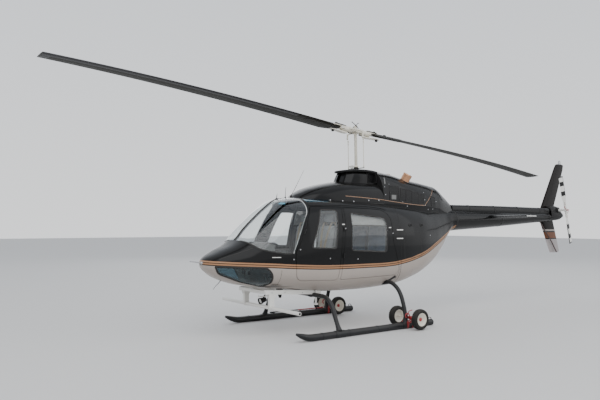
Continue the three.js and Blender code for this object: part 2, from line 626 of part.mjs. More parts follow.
const fairingFront = MAST_FAIRING[MAST_FAIRING.length - 1].x;
const grownDeck = loft(DECK_COWL, COWL_SPLIT - 10, deckFront, COWL_SIDES, -SEAM);
const mastHole = rod([0, 0, MAST_HOLE.low], [0, 0, MAST_HOLE.high], MAST_HOLE.radius, 20);
const fairing = fused([
  loft(MAST_FAIRING, COWL_SPLIT + SEAM, fairingFront, COWL_SIDES)
    .subtract(loft(MAST_FAIRING, COWL_SPLIT - 1, fairingFront - COWL_WALL, COWL_SIDES, COWL_WALL)),
  planSlab(roundedOutline(CAP_PLATE.outline), CAP_PLATE.low, CAP_PLATE.high)
    .subtract(box([HULL_BACK, COWL_SPLIT + SEAM], [-FAR, FAR], [0, SKY])),
]).subtract(grownDeck).subtract(mastHole)
  .subtract(box(INLET.x, [-FAR, FAR], INLET.z));
place('mast_fairing', fairing, 'black');

// Rotor mast: it turns about its own leaning axis, and the pitch links turn with it
const rotorGroup = new THREE.Group();
rotorGroup.position.z = HUB_HEIGHT;
rotorGroup.rotation.set(0, MAST_TILT, ROTOR.azimuth);
airframe.add(rotorGroup);

const links = SIDES.map(({ side }) => rod([0, LINK.offset * side, LINK.foot],
  [0, LINK.offset * side, LINK.top], LINK.radius, 8));
place('rotor_mast', fused([
  rod([0, 0, MAST.foot], [0, 0, MAST.top], MAST.radius, 20),
  rod([0, 0, SWASH.low], [0, 0, SWASH.high], SWASH.radius, 20),
  box([-SWASH.arm, SWASH.arm], [-LINK.offset - LINK.eye, LINK.offset + LINK.eye],
    [LINK.foot - LINK.eye, LINK.foot + LINK.eye]),
  rod([0, 0, MAST.capLow], [0, 0, MAST.capHigh], MAST.capRadius, 12),
  rod([0, -TRUNNION.half, 0], [0, TRUNNION.half, 0], TRUNNION.radius, 16),
  ...links,
]), 'cream', rotorGroup);

// Rotor head and blades see-saw on the mast about the line across them
const headGroup = new THREE.Group();
headGroup.rotation.y = -BLADE_RISE - MAST_TILT;
rotorGroup.add(headGroup);

const grips = [[YOKE.grip, YOKE.length], [-YOKE.length, -YOKE.grip]].map((x) => box(x,
  [-YOKE.half, YOKE.half], [-YOKE.gripThick / 2, YOKE.gripThick / 2]));
const horns = SIDES.map(({ side }) => {
  const reach = [HORN.root, HORN.reach].map((value) => value * side).sort((a, b) => a - b);
  const tip = [HORN.reach - HORN.toe, HORN.reach].map((value) => value * side).sort((a, b) => a - b);
  return box([-HORN.width / 2, HORN.width / 2], reach, [-HORN.thick / 2, HORN.thick / 2])
    .add(box([-HORN.width / 2, HORN.width / 2], tip, [-HORN.drop, HORN.thick / 2]));
});
place('rotor_head', fused([
  box([-YOKE.length, YOKE.length], [-YOKE.neck, YOKE.neck], [-YOKE.thick / 2, YOKE.thick / 2]),
  ...grips, ...horns,
]).subtract(rod([0, 0, -YOKE.thick], [0, 0, YOKE.thick], YOKE.bore, 20))
  .subtract(rod([0, -TRUNNION.reach, 0], [0, TRUNNION.reach, 0], TRUNNION.bore, 16)), 'cream', headGroup);

const bladeSection = [[0.5, 0], [0.42, 0.36], [0.25, 0.5], [0, 0.42], [-0.3, 0.2], [-0.5, 0.03],
  [-0.5, -0.03], [-0.3, -0.2], [0, -0.42], [0.25, -0.5], [0.42, -0.36]];
BLADES.forEach(({ name, end, pitch }) => {
  const outline = bladeSection.map(([along, up]) => (
    new THREE.Vector2(along * ROTOR.chord - BLADE.behind, up * ROTOR.thick)));
  const geometry = new THREE.ExtrudeGeometry(new THREE.Shape(outline),
    { depth: ROTOR.radius - YOKE.length - SEAM, steps: BLADE.steps, bevelEnabled: false });
  const points = geometry.attributes.position;
  for (let index = 0; index < points.count; index += 1) {
    const across = points.getX(index);
    const up = points.getY(index);
    const span = points.getZ(index) + YOKE.length + SEAM;
    const turn = pitch + BLADE.twist * (span - BLADE.level);
    const rise = span * Math.tan(BLADE.cone) - BLADE.droop * (span / ROTOR.radius) ** BLADE.bend;
    points.setXYZ(index, span, across * Math.cos(turn) - up * Math.sin(turn),
      across * Math.sin(turn) + up * Math.cos(turn) + rise);
  }
  const blade = place(`main_blade_${name}`, geometry, 'blade', headGroup);
  blade.rotation.z = end > 0 ? 0 : Math.PI;
});

// Tail rotor, leaning blade pair on one hub
const tailRotorGroup = new THREE.Group();
tailRotorGroup.position.set(...TAIL_HUB);
tailRotorGroup.rotation.y = TAIL_ROTOR.lean;
airframe.add(tailRotorGroup);
const tailBlades = box([-TAIL_ROTOR.chord / 2, TAIL_ROTOR.chord / 2],
  [-TAIL_ROTOR.thick / 2, TAIL_ROTOR.thick / 2], [-TAIL_ROTOR.radius, TAIL_ROTOR.radius]);
const tailHub = rod([0, -TAIL_ROTOR.hubLength / 2, 0], [0, TAIL_ROTOR.hubLength / 2, 0],
  TAIL_ROTOR.hub, 16);
const tailGrip = box([-TAIL_ROTOR.gripWidth / 2, TAIL_ROTOR.gripWidth / 2],
  [-TAIL_ROTOR.gripThick / 2, TAIL_ROTOR.gripThick / 2], [-TAIL_ROTOR.grip, TAIL_ROTOR.grip]);
const betweenRoots = box([-TAIL_ROTOR.chord, TAIL_ROTOR.chord], [-TAIL_ROTOR.thick, TAIL_ROTOR.thick],
  [-TAIL_ROTOR.root, TAIL_ROTOR.root]);
place('tail_rotor', fused([tailBlades.subtract(betweenRoots), tailHub, tailGrip]), 'white', tailRotorGroup);

// Skids and cross tubes
const skidTubes = SIDES.map(({ name, side }) => {
  const y = SKID.offset * side;
  const toe = bentTube([[SKID.rise - 40, y, SKID.radius], [SKID.rise + 90, y, SKID.radius + 8],
    [SKID.tip, y, SKID.radius + SKID.lift]], SKID.toeRadius, 6, SKID.sides);
  return { name, side, y, tube: rod([SKID.back, y, SKID.radius], [SKID.rise, y, SKID.radius], SKID.radius,
    SKID.sides).add(toe) };
});
const grownSkids = SIDES.map(({ side }) => rod([SKID.back - 5, SKID.offset * side, SKID.radius],
  [SKID.rise, SKID.offset * side, SKID.radius], SKID.radius + SADDLE_GAP, SKID.sides));
[['front_cross_tube', FRONT_TUBE], ['rear_cross_tube', REAR_TUBE]].forEach(([name, tube]) => {
  const solid = crossTube(tube, TUBE_RADIUS).subtract(grownSkids[0]).subtract(grownSkids[1]);
  place(name, solid, 'gear');
});

// Ground handling wheels: a bracket on each skid, and a pair of wheels on one axle
skidTubes.forEach(({ name, side, y, tube }) => {
  const plate = box([WHEEL.x - WHEEL.plateLength / 2, WHEEL.x + WHEEL.plateLength / 2],
    [y - WHEEL.plate, y + WHEEL.plate], [SKID.radius / 2, WHEEL.z + WHEEL.plateLength / 2]);
  const saddle = rod([WHEEL.x - WHEEL.saddle / 2, y, SKID.radius],
    [WHEEL.x + WHEEL.saddle / 2, y, SKID.radius], SKID.radius + SADDLE_GAP, SKID.sides);
  const axleBore = rod([WHEEL.x, y - 200, WHEEL.z], [WHEEL.x, y + 200, WHEEL.z], WHEEL.bore, 16);
  place(`skid_${name}`, tube, 'gear');
  place(`wheel_bracket_${name}`, plate.subtract(saddle).subtract(axleBore), 'red');
  const half = WHEEL.width / 2;
  const rims = [1, -1].map((end) => rod([WHEEL.x, y + end * WHEEL.offset - half, WHEEL.z],
    [WHEEL.x, y + end * WHEEL.offset + half, WHEEL.z], WHEEL.rim, WHEEL.sides));
  place(`wheel_rims_${name}`, fused([
    rod([WHEEL.x, y - WHEEL.offset, WHEEL.z], [WHEEL.x, y + WHEEL.offset, WHEEL.z], WHEEL.axle, 16),
    ...rims,
  ]), 'cream');
  [{ end: 'outer', out: 1 }, { end: 'inner', out: -1 }].forEach(({ end, out }) => {
    const profile = [[WHEEL.rim + SEAM, -half], [WHEEL.sidewall, -half], [WHEEL.tread, -WHEEL.shoulder],
      [WHEEL.radius, 0], [WHEEL.tread, WHEEL.shoulder], [WHEEL.sidewall, half], [WHEEL.rim + SEAM, half],
      [WHEEL.rim + SEAM, -half]];
    const tyre = place(`tyre_${name}_${end}`, lathe(profile, WHEEL.sides), 'rubber');
    tyre.position.set(WHEEL.x, y + out * side * WHEEL.offset, WHEEL.z);
  });
});

// Equipment frame under the nose, carried below the keel
const beamOutline = [[FRAME.back, FRAME.top - FRAME.depth], [FRAME.front, FRAME.rise - FRAME.depth],
  [FRAME.front, FRAME.rise], [FRAME.back, FRAME.top]].map(([x, z]) => new THREE.Vector2(x, z));
const beams = [1, -1].flatMap((side) => {
  const y = [FRAME.beam * side - FRAME.width / 2, FRAME.beam * side + FRAME.width / 2];
  return [
    sideSlab(beamOutline, y[0], y[1]),
    box([BAR.x - FRAME.post / 2, BAR.x + FRAME.post / 2], y, [BAR.z, FRAME.rise - FRAME.depth / 2]),
  ];
});
place('equipment_frame', fused([
  ...beams,
  box([FRAME.front - FRAME.cross, FRAME.front], [-FRAME.beam, FRAME.beam],
    [FRAME.rise - FRAME.depth, FRAME.crossTop]),
  rod([BAR.x, -BAR.half, BAR.z], [BAR.x, BAR.half, BAR.z], BAR.radius, 16),
]).subtract(grownHull).subtract(crossTube(FRONT_TUBE, TUBE_RADIUS + 2 * SEAM))
  .subtract(rod([BAR.x, -BAR.half - 5, BAR.z], [BAR.x, BAR.half + 5, BAR.z], BAR.bore, 16)),
'white');

export default helicopter;
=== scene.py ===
# %% [markdown]
# # A light helicopter, dressed around its CAD model
#
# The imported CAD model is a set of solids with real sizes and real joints. This lesson leaves those
# solids where they are and builds the surfaces that a visitor sees: curved skins with clean
# reflections, glass, seats, a rotor head, wheels, and the small fittings around them.
# Everything is in metres, with +X forward, +Y to port and +Z up.

# %% Load the CAD model
import math

import bmesh
import bpy
import numpy as np
from mathutils import Matrix, Vector
from mathutils.geometry import delaunay_2d_cdt


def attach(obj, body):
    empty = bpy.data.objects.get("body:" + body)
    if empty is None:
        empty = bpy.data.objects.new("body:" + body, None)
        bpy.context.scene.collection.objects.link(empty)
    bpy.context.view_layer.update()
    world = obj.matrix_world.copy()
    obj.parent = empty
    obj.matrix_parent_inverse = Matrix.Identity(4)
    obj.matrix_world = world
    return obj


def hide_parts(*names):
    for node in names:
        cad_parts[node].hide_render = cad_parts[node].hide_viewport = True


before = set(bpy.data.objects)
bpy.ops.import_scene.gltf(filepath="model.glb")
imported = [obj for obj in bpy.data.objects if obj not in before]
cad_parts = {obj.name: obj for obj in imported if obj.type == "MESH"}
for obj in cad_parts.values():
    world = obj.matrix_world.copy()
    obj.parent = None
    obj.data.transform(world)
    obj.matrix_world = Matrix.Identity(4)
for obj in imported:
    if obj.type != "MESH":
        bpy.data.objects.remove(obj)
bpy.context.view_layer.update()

# %% [markdown]
# The fuselage tables are drawn from the rotor mast, as an aircraft drawing is, and the model stands
# on the middle of its own length. One number joins the two: the mast's station in the model.

# %% Stations
MAST_STATION = 0.740
SIDES = {"left": 1, "right": -1}


def station(value):
    """Model X in metres of a drawing station in millimetres."""
    return value / 1000 + MAST_STATION


def circle_angles(count):
    """The angles of evenly spread places round a circle."""
    return np.linspace(0, 2 * math.pi, count, endpoint=False)


def on_stations(places):
    """Places whose first number is a drawing station, with model X in its stead."""
    return [(station(x), *rest) for x, *rest in places]


# %% [markdown]
# The camera stands where the picture was taken: about ten metres off the port bow, at eye level.
# A longer lens from further away would flatten the nose, so the lens is worked out from the same
# fit that gave the sizes.

# %% Camera
SENSOR = 36.0
FOCAL_PIXELS = 612.3
PICTURE_WIDTH = 600
CAMERA_SPOT = (6.846 + MAST_STATION, 7.798, 1.634)
CAMERA_YAW, CAMERA_PITCH, CAMERA_ROLL = (math.radians(a) for a in (233.893, 2.196, 0.175))

camera_data = bpy.data.cameras.new("camera")
camera = bpy.data.objects.new("camera", camera_data)
bpy.context.scene.collection.objects.link(camera)
camera_data.sensor_width = SENSOR
camera_data.lens = FOCAL_PIXELS * SENSOR / PICTURE_WIDTH
ahead = Vector((math.cos(CAMERA_YAW) * math.cos(CAMERA_PITCH),
                math.sin(CAMERA_YAW) * math.cos(CAMERA_PITCH), math.sin(CAMERA_PITCH)))
level_right = Vector((math.sin(CAMERA_YAW), -math.cos(CAMERA_YAW), 0))
level_up = level_right.cross(ahead)
right = level_right * math.cos(CAMERA_ROLL) + level_up * math.sin(CAMERA_ROLL)
up = level_up * math.cos(CAMERA_ROLL) - level_right * math.sin(CAMERA_ROLL)
camera.matrix_world = Matrix.Translation(CAMERA_SPOT) @ Matrix((right, up, -ahead)).transposed().to_4x4()
bpy.context.scene.camera = camera
print("lens:", round(camera_data.lens, 2), "mm")

# %% [markdown]
# ## Node groups
#
# Effects that many finishes share are node groups: each is built once and placed in a material with
# its own values. A group gives only colours, masks and heights. The Principled shader stays in the
# material, where the exporter can read it.


# %% Node helpers
def add_node(tree, kind, values=None, **settings):
    """One node with its settings, and its input values by name or number."""
    node = tree.nodes.new(kind)
    for name, value in settings.items():
        setattr(node, name, value)
    for name, value in (values or {}).items():
        node.inputs[name].default_value = value
    return node


def new_group(name, inputs, outputs):
    """A shader node group with named sockets: (name, type, default) in, (name, type) out."""
    tree = bpy.data.node_groups.new(name, "ShaderNodeTree")
    for label, kind, default in inputs:
        socket = tree.interface.new_socket(label, in_out="INPUT", socket_type=kind)
        socket.default_value = default
    for label, kind in outputs:
        tree.interface.new_socket(label, in_out="OUTPUT", socket_type=kind)
    return tree, tree.nodes.new("NodeGroupInput"), tree.nodes.new("NodeGroupOutput")


def arithmetic(tree, operation, first, second=None):
    """A Math node fed by sockets or numbers; gives its output socket."""
    node = tree.nodes.new("ShaderNodeMath")
    node.operation = operation
    for slot, value in enumerate((first, second)):
        if value is None:
            continue
        if isinstance(value, (int, float)):
            node.inputs[slot].default_value = value
        else:
            tree.links.new(value, node.inputs[slot])
    return node.outputs[0]


MIX_FIRST, MIX_SECOND, MIX_RESULT = 6, 7, 2


def mixed(tree, factor, first, second):
    """A colour mix of two colours or sockets; gives its output socket."""
    node = add_node(tree, "ShaderNodeMix", data_type="RGBA")
    tree.links.new(factor, node.inputs["Factor"])
    for index, value in ((MIX_FIRST, first), (MIX_SECOND, second)):
        if isinstance(value, tuple):
            node.inputs[index].default_value = (*value[:3], 1)
        else:
            tree.links.new(value, node.inputs[index])
    return node.outputs[MIX_RESULT]


COLOR, FLOAT = "NodeSocketColor", "NodeSocketFloat"


# %% [markdown]
# **Weathering.** Even a clean aircraft isn't one flat colour. Slow noise moves the colour and the
# roughness a little, fine noise leaves dust, and dust gathers on surfaces that look up.

# %% Group: weathering
weather_tree, weather_in, weather_out = new_group("weathering",
                                                  [("Color", COLOR, (0.5, 0.5, 0.5, 1)),
                                                   ("Dust Color", COLOR, (0.35, 0.31, 0.26, 1)),
                                                   ("Amount", FLOAT, 0.2), ("Roughness", FLOAT, 0.3),
                                                   ("Variation", FLOAT, 0.1), ("Scale", FLOAT, 3.0)],
                                                  [("Color", COLOR), ("Roughness", FLOAT), ("Height", FLOAT)])
spot = add_node(weather_tree, "ShaderNodeTexCoord").outputs["Object"]
slow = add_node(weather_tree, "ShaderNodeTexNoise", {"Detail": 6.0, "Roughness": 0.6})
fine = add_node(weather_tree, "ShaderNodeTexNoise", {"Scale": 220.0, "Detail": 3.0})
weather_tree.links.new(spot, slow.inputs["Vector"])
weather_tree.links.new(spot, fine.inputs["Vector"])
weather_tree.links.new(weather_in.outputs["Scale"], slow.inputs["Scale"])
facing = add_node(weather_tree, "ShaderNodeSeparateXYZ")
weather_tree.links.new(add_node(weather_tree, "ShaderNodeNewGeometry").outputs["Normal"], facing.inputs[0])
upward = arithmetic(weather_tree, "MAXIMUM", facing.outputs["Z"], 0.0)
patches = arithmetic(weather_tree, "MULTIPLY", slow.outputs["Fac"], fine.outputs["Fac"])
dust = arithmetic(weather_tree, "MULTIPLY", arithmetic(weather_tree, "ADD", patches, upward),
                  weather_in.outputs["Amount"])
dust = arithmetic(weather_tree, "MINIMUM", dust, 0.9)
weather_tree.links.new(mixed(weather_tree, dust, weather_in.outputs["Color"],
                             weather_in.outputs["Dust Color"]), weather_out.inputs["Color"])
drift = arithmetic(weather_tree, "MULTIPLY", arithmetic(weather_tree, "SUBTRACT", slow.outputs["Fac"], 0.5),
                   weather_in.outputs["Variation"])
rougher = arithmetic(weather_tree, "ADD", arithmetic(weather_tree, "ADD", weather_in.outputs["Roughness"],
                                                     drift), arithmetic(weather_tree, "MULTIPLY", dust, 0.5))
weather_tree.links.new(rougher, weather_out.inputs["Roughness"])
weather_tree.links.new(fine.outputs["Fac"], weather_out.inputs["Height"])

# %% [markdown]
# **Livery.** The hull is black above and warm grey below, with two tan stripes between. On the real
# machine masking tape sets these lines. Here a curve node gives the stripe's height at each station,
# and the distance above or below that line picks the colour. It reads the model's own coordinates,
# so the stripes run across doors and panels without a break and stay on a door when it opens.

# %% Group: livery
STRIPE = [(-2375, 1585), (-2100, 1470), (-1533, 1272), (-1200, 1155), (-900, 1078), (-500, 1008), (-198, 978),
          (400, 972), (1050, 976), (1600, 1000), (2040, 1029), (2450, 1050), (2870, 1074)]
STRIPE_X = (station(-2375), station(2870))
STRIPE_Z = (0.9, 1.6)
BANDS = [(0.037, "Upper"), (0.016, "Tan"), (0.005, "Line"), (-0.015, "Tan"), (-0.029, "Line")]

livery_tree, livery_in, livery_out = new_group(
    "livery",
    [("Upper", COLOR, (0.01, 0.01, 0.011, 1)), ("Tan", COLOR, (0.3, 0.16, 0.08, 1)),
     ("Line", COLOR, (0.02, 0.015, 0.013, 1)), ("Lower", COLOR, (0.5, 0.46, 0.42, 1))],
    [("Color", COLOR), ("Lower Mask", FLOAT)])
place_of = add_node(livery_tree, "ShaderNodeSeparateXYZ")
livery_tree.links.new(add_node(livery_tree, "ShaderNodeTexCoord").outputs["Object"], place_of.inputs[0])
along = add_node(livery_tree, "ShaderNodeMapRange", {"From Min": STRIPE_X[0], "From Max": STRIPE_X[1]})
livery_tree.links.new(place_of.outputs["X"], along.inputs["Value"])
curve = add_node(livery_tree, "ShaderNodeFloatCurve")
stripe_points = [((station(x) - STRIPE_X[0]) / (STRIPE_X[1] - STRIPE_X[0]),
                  (z / 1000 - STRIPE_Z[0]) / (STRIPE_Z[1] - STRIPE_Z[0])) for x, z in STRIPE]
curve_points = curve.mapping.curves[0].points
for number, (x, z) in enumerate(stripe_points):
    if number < 2:
        curve_points[number].location = (x, z)
    else:
        curve_points.new(x, z)
curve.mapping.update()
livery_tree.links.new(along.outputs[0], curve.inputs["Value"])
line_height = add_node(livery_tree, "ShaderNodeMapRange", {"To Min": STRIPE_Z[0], "To Max": STRIPE_Z[1]})
livery_tree.links.new(curve.outputs[0], line_height.inputs["Value"])
above = arithmetic(livery_tree, "SUBTRACT", place_of.outputs["Z"], line_height.outputs[0])
band = livery_in.outputs["Lower"]
for lowest, label in reversed(BANDS):
    is_higher = arithmetic(livery_tree, "GREATER_THAN", above, lowest)
    band = mixed(livery_tree, is_higher, band, livery_in.outputs[label])
livery_tree.links.new(band, livery_out.inputs["Color"])
livery_tree.links.new(arithmetic(livery_tree, "LESS_THAN", above, BANDS[-1][0]),
                      livery_out.inputs["Lower Mask"])

# %% [markdown]
# ** Weave** for seat cloth and webbing, and **grain** for rubber, cast metal and moulded plastic. Both
# give a height for a Bump node and a value that darkens the low places, as painted shade.

# %% Groups: weave and grain
weave_tree, weave_in, weave_out = new_group(
    "weave", [("Threads", FLOAT, 400.0), ("Color", COLOR, (0.3, 0.3, 0.3, 1)), ("Shade", FLOAT, 0.5)],
    [("Color", COLOR), ("Height", FLOAT)])
weave_spot = add_node(weave_tree, "ShaderNodeTexCoord").outputs["Object"]
threads = []
for direction in "XZY":
    wave = add_node(weave_tree, "ShaderNodeTexWave", {"Distortion": 0.6, "Detail": 1.0},
                    bands_direction=direction)
    weave_tree.links.new(weave_spot, wave.inputs["Vector"])
    weave_tree.links.new(weave_in.outputs["Threads"], wave.inputs["Scale"])
    threads.append(wave.outputs["Fac"])
crossing = arithmetic(weave_tree, "MULTIPLY", arithmetic(weave_tree, "ADD", threads[0], threads[2]),
                      threads[1])
mottle = add_node(weave_tree, "ShaderNodeTexNoise", {"Scale": 9.0, "Detail": 5.0})
weave_tree.links.new(weave_spot, mottle.inputs["Vector"])
shade_factor = arithmetic(weave_tree, "MULTIPLY",
                          arithmetic(weave_tree, "ADD", arithmetic(weave_tree, "MULTIPLY", crossing, 0.3),
                                     mottle.outputs["Fac"]), weave_in.outputs["Shade"])
weave_tree.links.new(mixed(weave_tree, shade_factor, weave_in.outputs["Color"], (0.02, 0.02, 0.02)),
                     weave_out.inputs["Color"])
weave_tree.links.new(crossing, weave_out.inputs["Height"])

grain_tree, grain_in, grain_out = new_group(
    "grain", [("Scale", FLOAT, 300.0), ("Depth", FLOAT, 1.0)], [("Height", FLOAT), ("Mask", FLOAT)])
grain_spot = add_node(grain_tree, "ShaderNodeTexCoord").outputs["Object"]
cells = add_node(grain_tree, "ShaderNodeTexVoronoi", feature="SMOOTH_F1")
speckle = add_node(grain_tree, "ShaderNodeTexNoise", {"Detail": 4.0})
for texture in (cells, speckle):
    grain_tree.links.new(grain_spot, texture.inputs["Vector"])
    grain_tree.links.new(grain_in.outputs["Scale"], texture.inputs["Scale"])
pits = arithmetic(grain_tree, "MULTIPLY", cells.outputs["Distance"], speckle.outputs["Fac"])
grain_tree.links.new(arithmetic(grain_tree, "MULTIPLY", pits, grain_in.outputs["Depth"]),
                     grain_out.inputs["Height"])
grain_tree.links.new(speckle.outputs["Fac"], grain_out.inputs["Mask"])
print("node groups:", len(bpy.data.node_groups))

# %% [markdown]
# ## Finishes
#
# One recipe makes every opaque finish: a colour, the weathering group over it, and a height that
# feeds a Bump node. What differs is in a table, so two finishes are easy to compare.


# %% Finish recipe
def new_material(name, color, roughness, metallic=0.0, dust=0.1, variation=0.08, bump=0.02,
                 height="weathering", scale=250.0, coat=0.0, sheen=0.0, specular=0.5, source=None):
    """A Principled finish; source, if given, is a function that builds the colour in the tree."""
    material = bpy.data.materials.new(name)
    material.use_nodes = True
    tree = material.node_tree
    shader = tree.nodes["Principled BSDF"]
    shader.inputs["Metallic"].default_value = metallic
    shader.inputs["Coat Weight"].default_value = coat
    shader.inputs["Coat Roughness"].default_value = 0.03
    shader.inputs["Sheen Weight"].default_value = sheen
    shader.inputs["Specular IOR Level"].default_value = specular
    weather = add_node(tree, "ShaderNodeGroup", node_tree=weather_tree)
    weather.inputs["Amount"].default_value = dust
    weather.inputs["Roughness"].default_value = roughness
    weather.inputs["Variation"].default_value = variation
    relief = weather.outputs["Height"]
    if height == "weave":
        cloth = add_node(tree, "ShaderNodeGroup", node_tree=weave_tree)
        cloth.inputs["Threads"].default_value = scale
        cloth.inputs["Color"].default_value = (*color, 1)
        tree.links.new(cloth.outputs["Color"], weather.inputs["Color"])
        relief = cloth.outputs["Height"]
    elif height == "grain":
        grain = add_node(tree, "ShaderNodeGroup", node_tree=grain_tree)
        grain.inputs["Scale"].default_value = scale
        relief = grain.outputs["Height"]
        # The grain's mask darkens the colour towards 70 %: painted shade in the low places.
        darker = tuple(value * 0.7 for value in color)
        tree.links.new(mixed(tree, grain.outputs["Mask"], color, darker), weather.inputs["Color"])
    elif source:
        tree.links.new(source(tree), weather.inputs["Color"])
    else:
        weather.inputs["Color"].default_value = (*color, 1)
    tree.links.new(weather.outputs["Color"], shader.inputs["Base Color"])
    tree.links.new(weather.outputs["Roughness"], shader.inputs["Roughness"])
    bumper = add_node(tree, "ShaderNodeBump", {"Strength": bump, "Distance": 0.001})
    tree.links.new(relief, bumper.inputs["Height"])
    tree.links.new(bumper.outputs[0], shader.inputs["Normal"])
    return material


def livery_color(tree):
    group = add_node(tree, "ShaderNodeGroup", node_tree=livery_tree)
    group.inputs["Upper"].default_value = (*BLACK, 1)
    group.inputs["Tan"].default_value = (*TAN, 1)
    group.inputs["Lower"].default_value = (*SHADED_BELLY_GREY, 1)
    return group.outputs["Color"]


# %% [markdown]
# Gloss black lacquer is mostly reflection: a very dark base, and a clear coat that stays almost
# mirror smooth. Cream and white parts are satin enamel. Skids and tubes are a tougher, duller black.

# %% Finishes
BLACK = (0.0052, 0.0053, 0.0056)
# The belly's warm grey is set darker than its real paint: part of it is painted shade, for the shade that
# falls under the belly.
SHADED_BELLY_GREY = (0.37, 0.325, 0.29)
TAN = (0.36, 0.19, 0.10)
LACQUER = dict(color=BLACK, roughness=0.2, dust=0.012, variation=0.03, bump=0.006, coat=0.16, specular=0.12)
CLOTH = dict(roughness=0.85, dust=0.05, height="weave", scale=320.0, bump=0.45, sheen=0.4)
FINISHES = {
    "hull_lacquer": dict(LACQUER, source=livery_color),
    "black_lacquer": LACQUER,
    "satin_black": dict(color=(0.009, 0.009, 0.010), roughness=0.42, dust=0.04, bump=0.03, specular=0.2),
    "gear_black": dict(color=(0.009, 0.010, 0.012), roughness=0.34, dust=0.06, bump=0.05, coat=0.1,
                       specular=0.22),
    # Near black: painted shade in holes, bores, inlet boxes and behind the louvres; the dials' own colour on
    # the instrument faces.
    "shade_and_dial_black": dict(color=(0.003, 0.003, 0.003), roughness=0.7, dust=0.02, bump=0.02),
    "cream_enamel": dict(color=(0.66, 0.62, 0.52), roughness=0.35, dust=0.10, bump=0.03, coat=0.4),
    "white_enamel": dict(color=(0.74, 0.73, 0.69), roughness=0.33, dust=0.10, bump=0.03, coat=0.4),
    "red_enamel": dict(color=(0.34, 0.008, 0.014), roughness=0.36, dust=0.10, bump=0.04, coat=0.4),
    "brown_enamel": dict(color=(0.035, 0.012, 0.010), roughness=0.36, dust=0.08, bump=0.03),
    "tan_enamel": dict(color=TAN, roughness=0.34, dust=0.05, bump=0.02, coat=0.5),
    "grey_enamel": dict(color=(0.33, 0.31, 0.30), roughness=0.35, dust=0.06, bump=0.02, coat=0.4),
    "blade_paint": dict(color=(0.013, 0.012, 0.009), roughness=0.5, dust=0.05, variation=0.15, bump=0.05,
                        specular=0.14),
    "bare_steel": dict(color=(0.42, 0.42, 0.43), roughness=0.32, metallic=1.0, dust=0.06, bump=0.06),
    "dark_steel": dict(color=(0.055, 0.055, 0.058), roughness=0.38, metallic=0.9, dust=0.08, bump=0.06),
    "hot_steel": dict(color=(0.56, 0.30, 0.17), roughness=0.34, metallic=0.85, dust=0.08, variation=0.25,
                      bump=0.05),
    "cockpit_plastic": dict(color=(0.018, 0.018, 0.019), roughness=0.62, dust=0.08, height="grain",
                            scale=500.0,
                            bump=0.25),
    "panel_grey": dict(color=(0.17, 0.17, 0.165), roughness=0.6, dust=0.08, height="grain", scale=420.0,
                       bump=0.2),
    "headliner": dict(color=(0.36, 0.35, 0.33), roughness=0.85, dust=0.05, height="weave", scale=260.0,
                      bump=0.3),
    "carpet": dict(color=(0.06, 0.058, 0.055), roughness=0.95, dust=0.15, height="grain", scale=700.0,
                   bump=0.7,
                   sheen=0.3),
    "grey_cloth": dict(CLOTH, color=(0.33, 0.33, 0.33)),
    "blue_cloth": dict(CLOTH, color=(0.10, 0.16, 0.26)),
    "tan_webbing": dict(color=(0.50, 0.38, 0.24), roughness=0.8, dust=0.05, height="weave", scale=520.0,
                        bump=0.5),
    "black_rubber": dict(color=(0.011, 0.011, 0.011), roughness=0.72, dust=0.08, height="grain", scale=380.0,
                         bump=0.3),
    "tyre_rubber": dict(color=(0.013, 0.013, 0.013), roughness=0.8, dust=0.10, specular=0.25, height="grain",
                        scale=260.0, bump=0.4),
    "pale_seal": dict(color=(0.62, 0.63, 0.62), roughness=0.5, dust=0.05, bump=0.03),
    "warm_lens": dict(color=(0.8, 0.8, 0.76), roughness=0.12, dust=0.03, bump=0.01, coat=1.0),
}
FINISH = {name: new_material(name, **values) for name, values in FINISHES.items()}
print("finishes:", len(FINISH))

# %% [markdown]
# Glass is a thin acrylic sheet. Seen straight on it is clear, and towards the edges it mirrors the
# sky. A real pane lets sunlight through to the seats, but a path tracer treats a refracting sheet as
# a blocker for shadow rays, and the cabin would go dark. So shadow rays meet a tinted transparent
# surface, and every other ray meets the glass.


# %% Glass recipe
def new_glass(name, tint, shadow, roughness=0.015):
    material = bpy.data.materials.new(name)
    material.use_nodes = True
    tree = material.node_tree
    shader = tree.nodes["Principled BSDF"]
    shader.inputs["Transmission Weight"].default_value = 1.0
    shader.inputs["Metallic"].default_value = 0.0
    shader.inputs["IOR"].default_value = 1.47
    smear = add_node(tree, "ShaderNodeTexNoise", {"Scale": 5.0, "Detail": 4.0})
    tree.links.new(add_node(tree, "ShaderNodeTexCoord").outputs["Object"], smear.inputs["Vector"])
    film = arithmetic(tree, "MULTIPLY", smear.outputs["Fac"], roughness * 2)
    tree.links.new(film, shader.inputs["Roughness"])
    tree.links.new(mixed(tree, smear.outputs["Fac"], tint, tuple(value * 0.96 for value in tint)),
                   shader.inputs["Base Color"])
    clear = add_node(tree, "ShaderNodeBsdfTransparent", {"Color": (*shadow, 1)})
    chooser = add_node(tree, "ShaderNodeMixShader")
    tree.links.new(add_node(tree, "ShaderNodeLightPath").outputs["Is Shadow Ray"], chooser.inputs[0])
    tree.links.new(shader.outputs[0], chooser.inputs[1])
    tree.links.new(clear.outputs[0], chooser.inputs[2])
    tree.links.new(chooser.outputs[0], tree.nodes["Material Output"].inputs["Surface"])
    return material


FINISH["clear_acrylic"] = new_glass("clear_acrylic", (0.94, 0.97, 0.97), (0.8, 0.84, 0.84))
FINISH["blue_acrylic"] = new_glass("blue_acrylic", (0.10, 0.48, 0.66), (0.12, 0.42, 0.58))
FINISH["chin_acrylic"] = new_glass("chin_acrylic", (0.20, 0.30, 0.34), (0.16, 0.24, 0.28))
print("glass finishes made; materials:", len(bpy.data.materials))

# %% [markdown]
# ## Building forms
#
# Blender can make a mesh from lists of points and faces. A small class collects boxes, rods and
# tubes with rounded edges and turns them into one piece, which then rides on a body of the model.


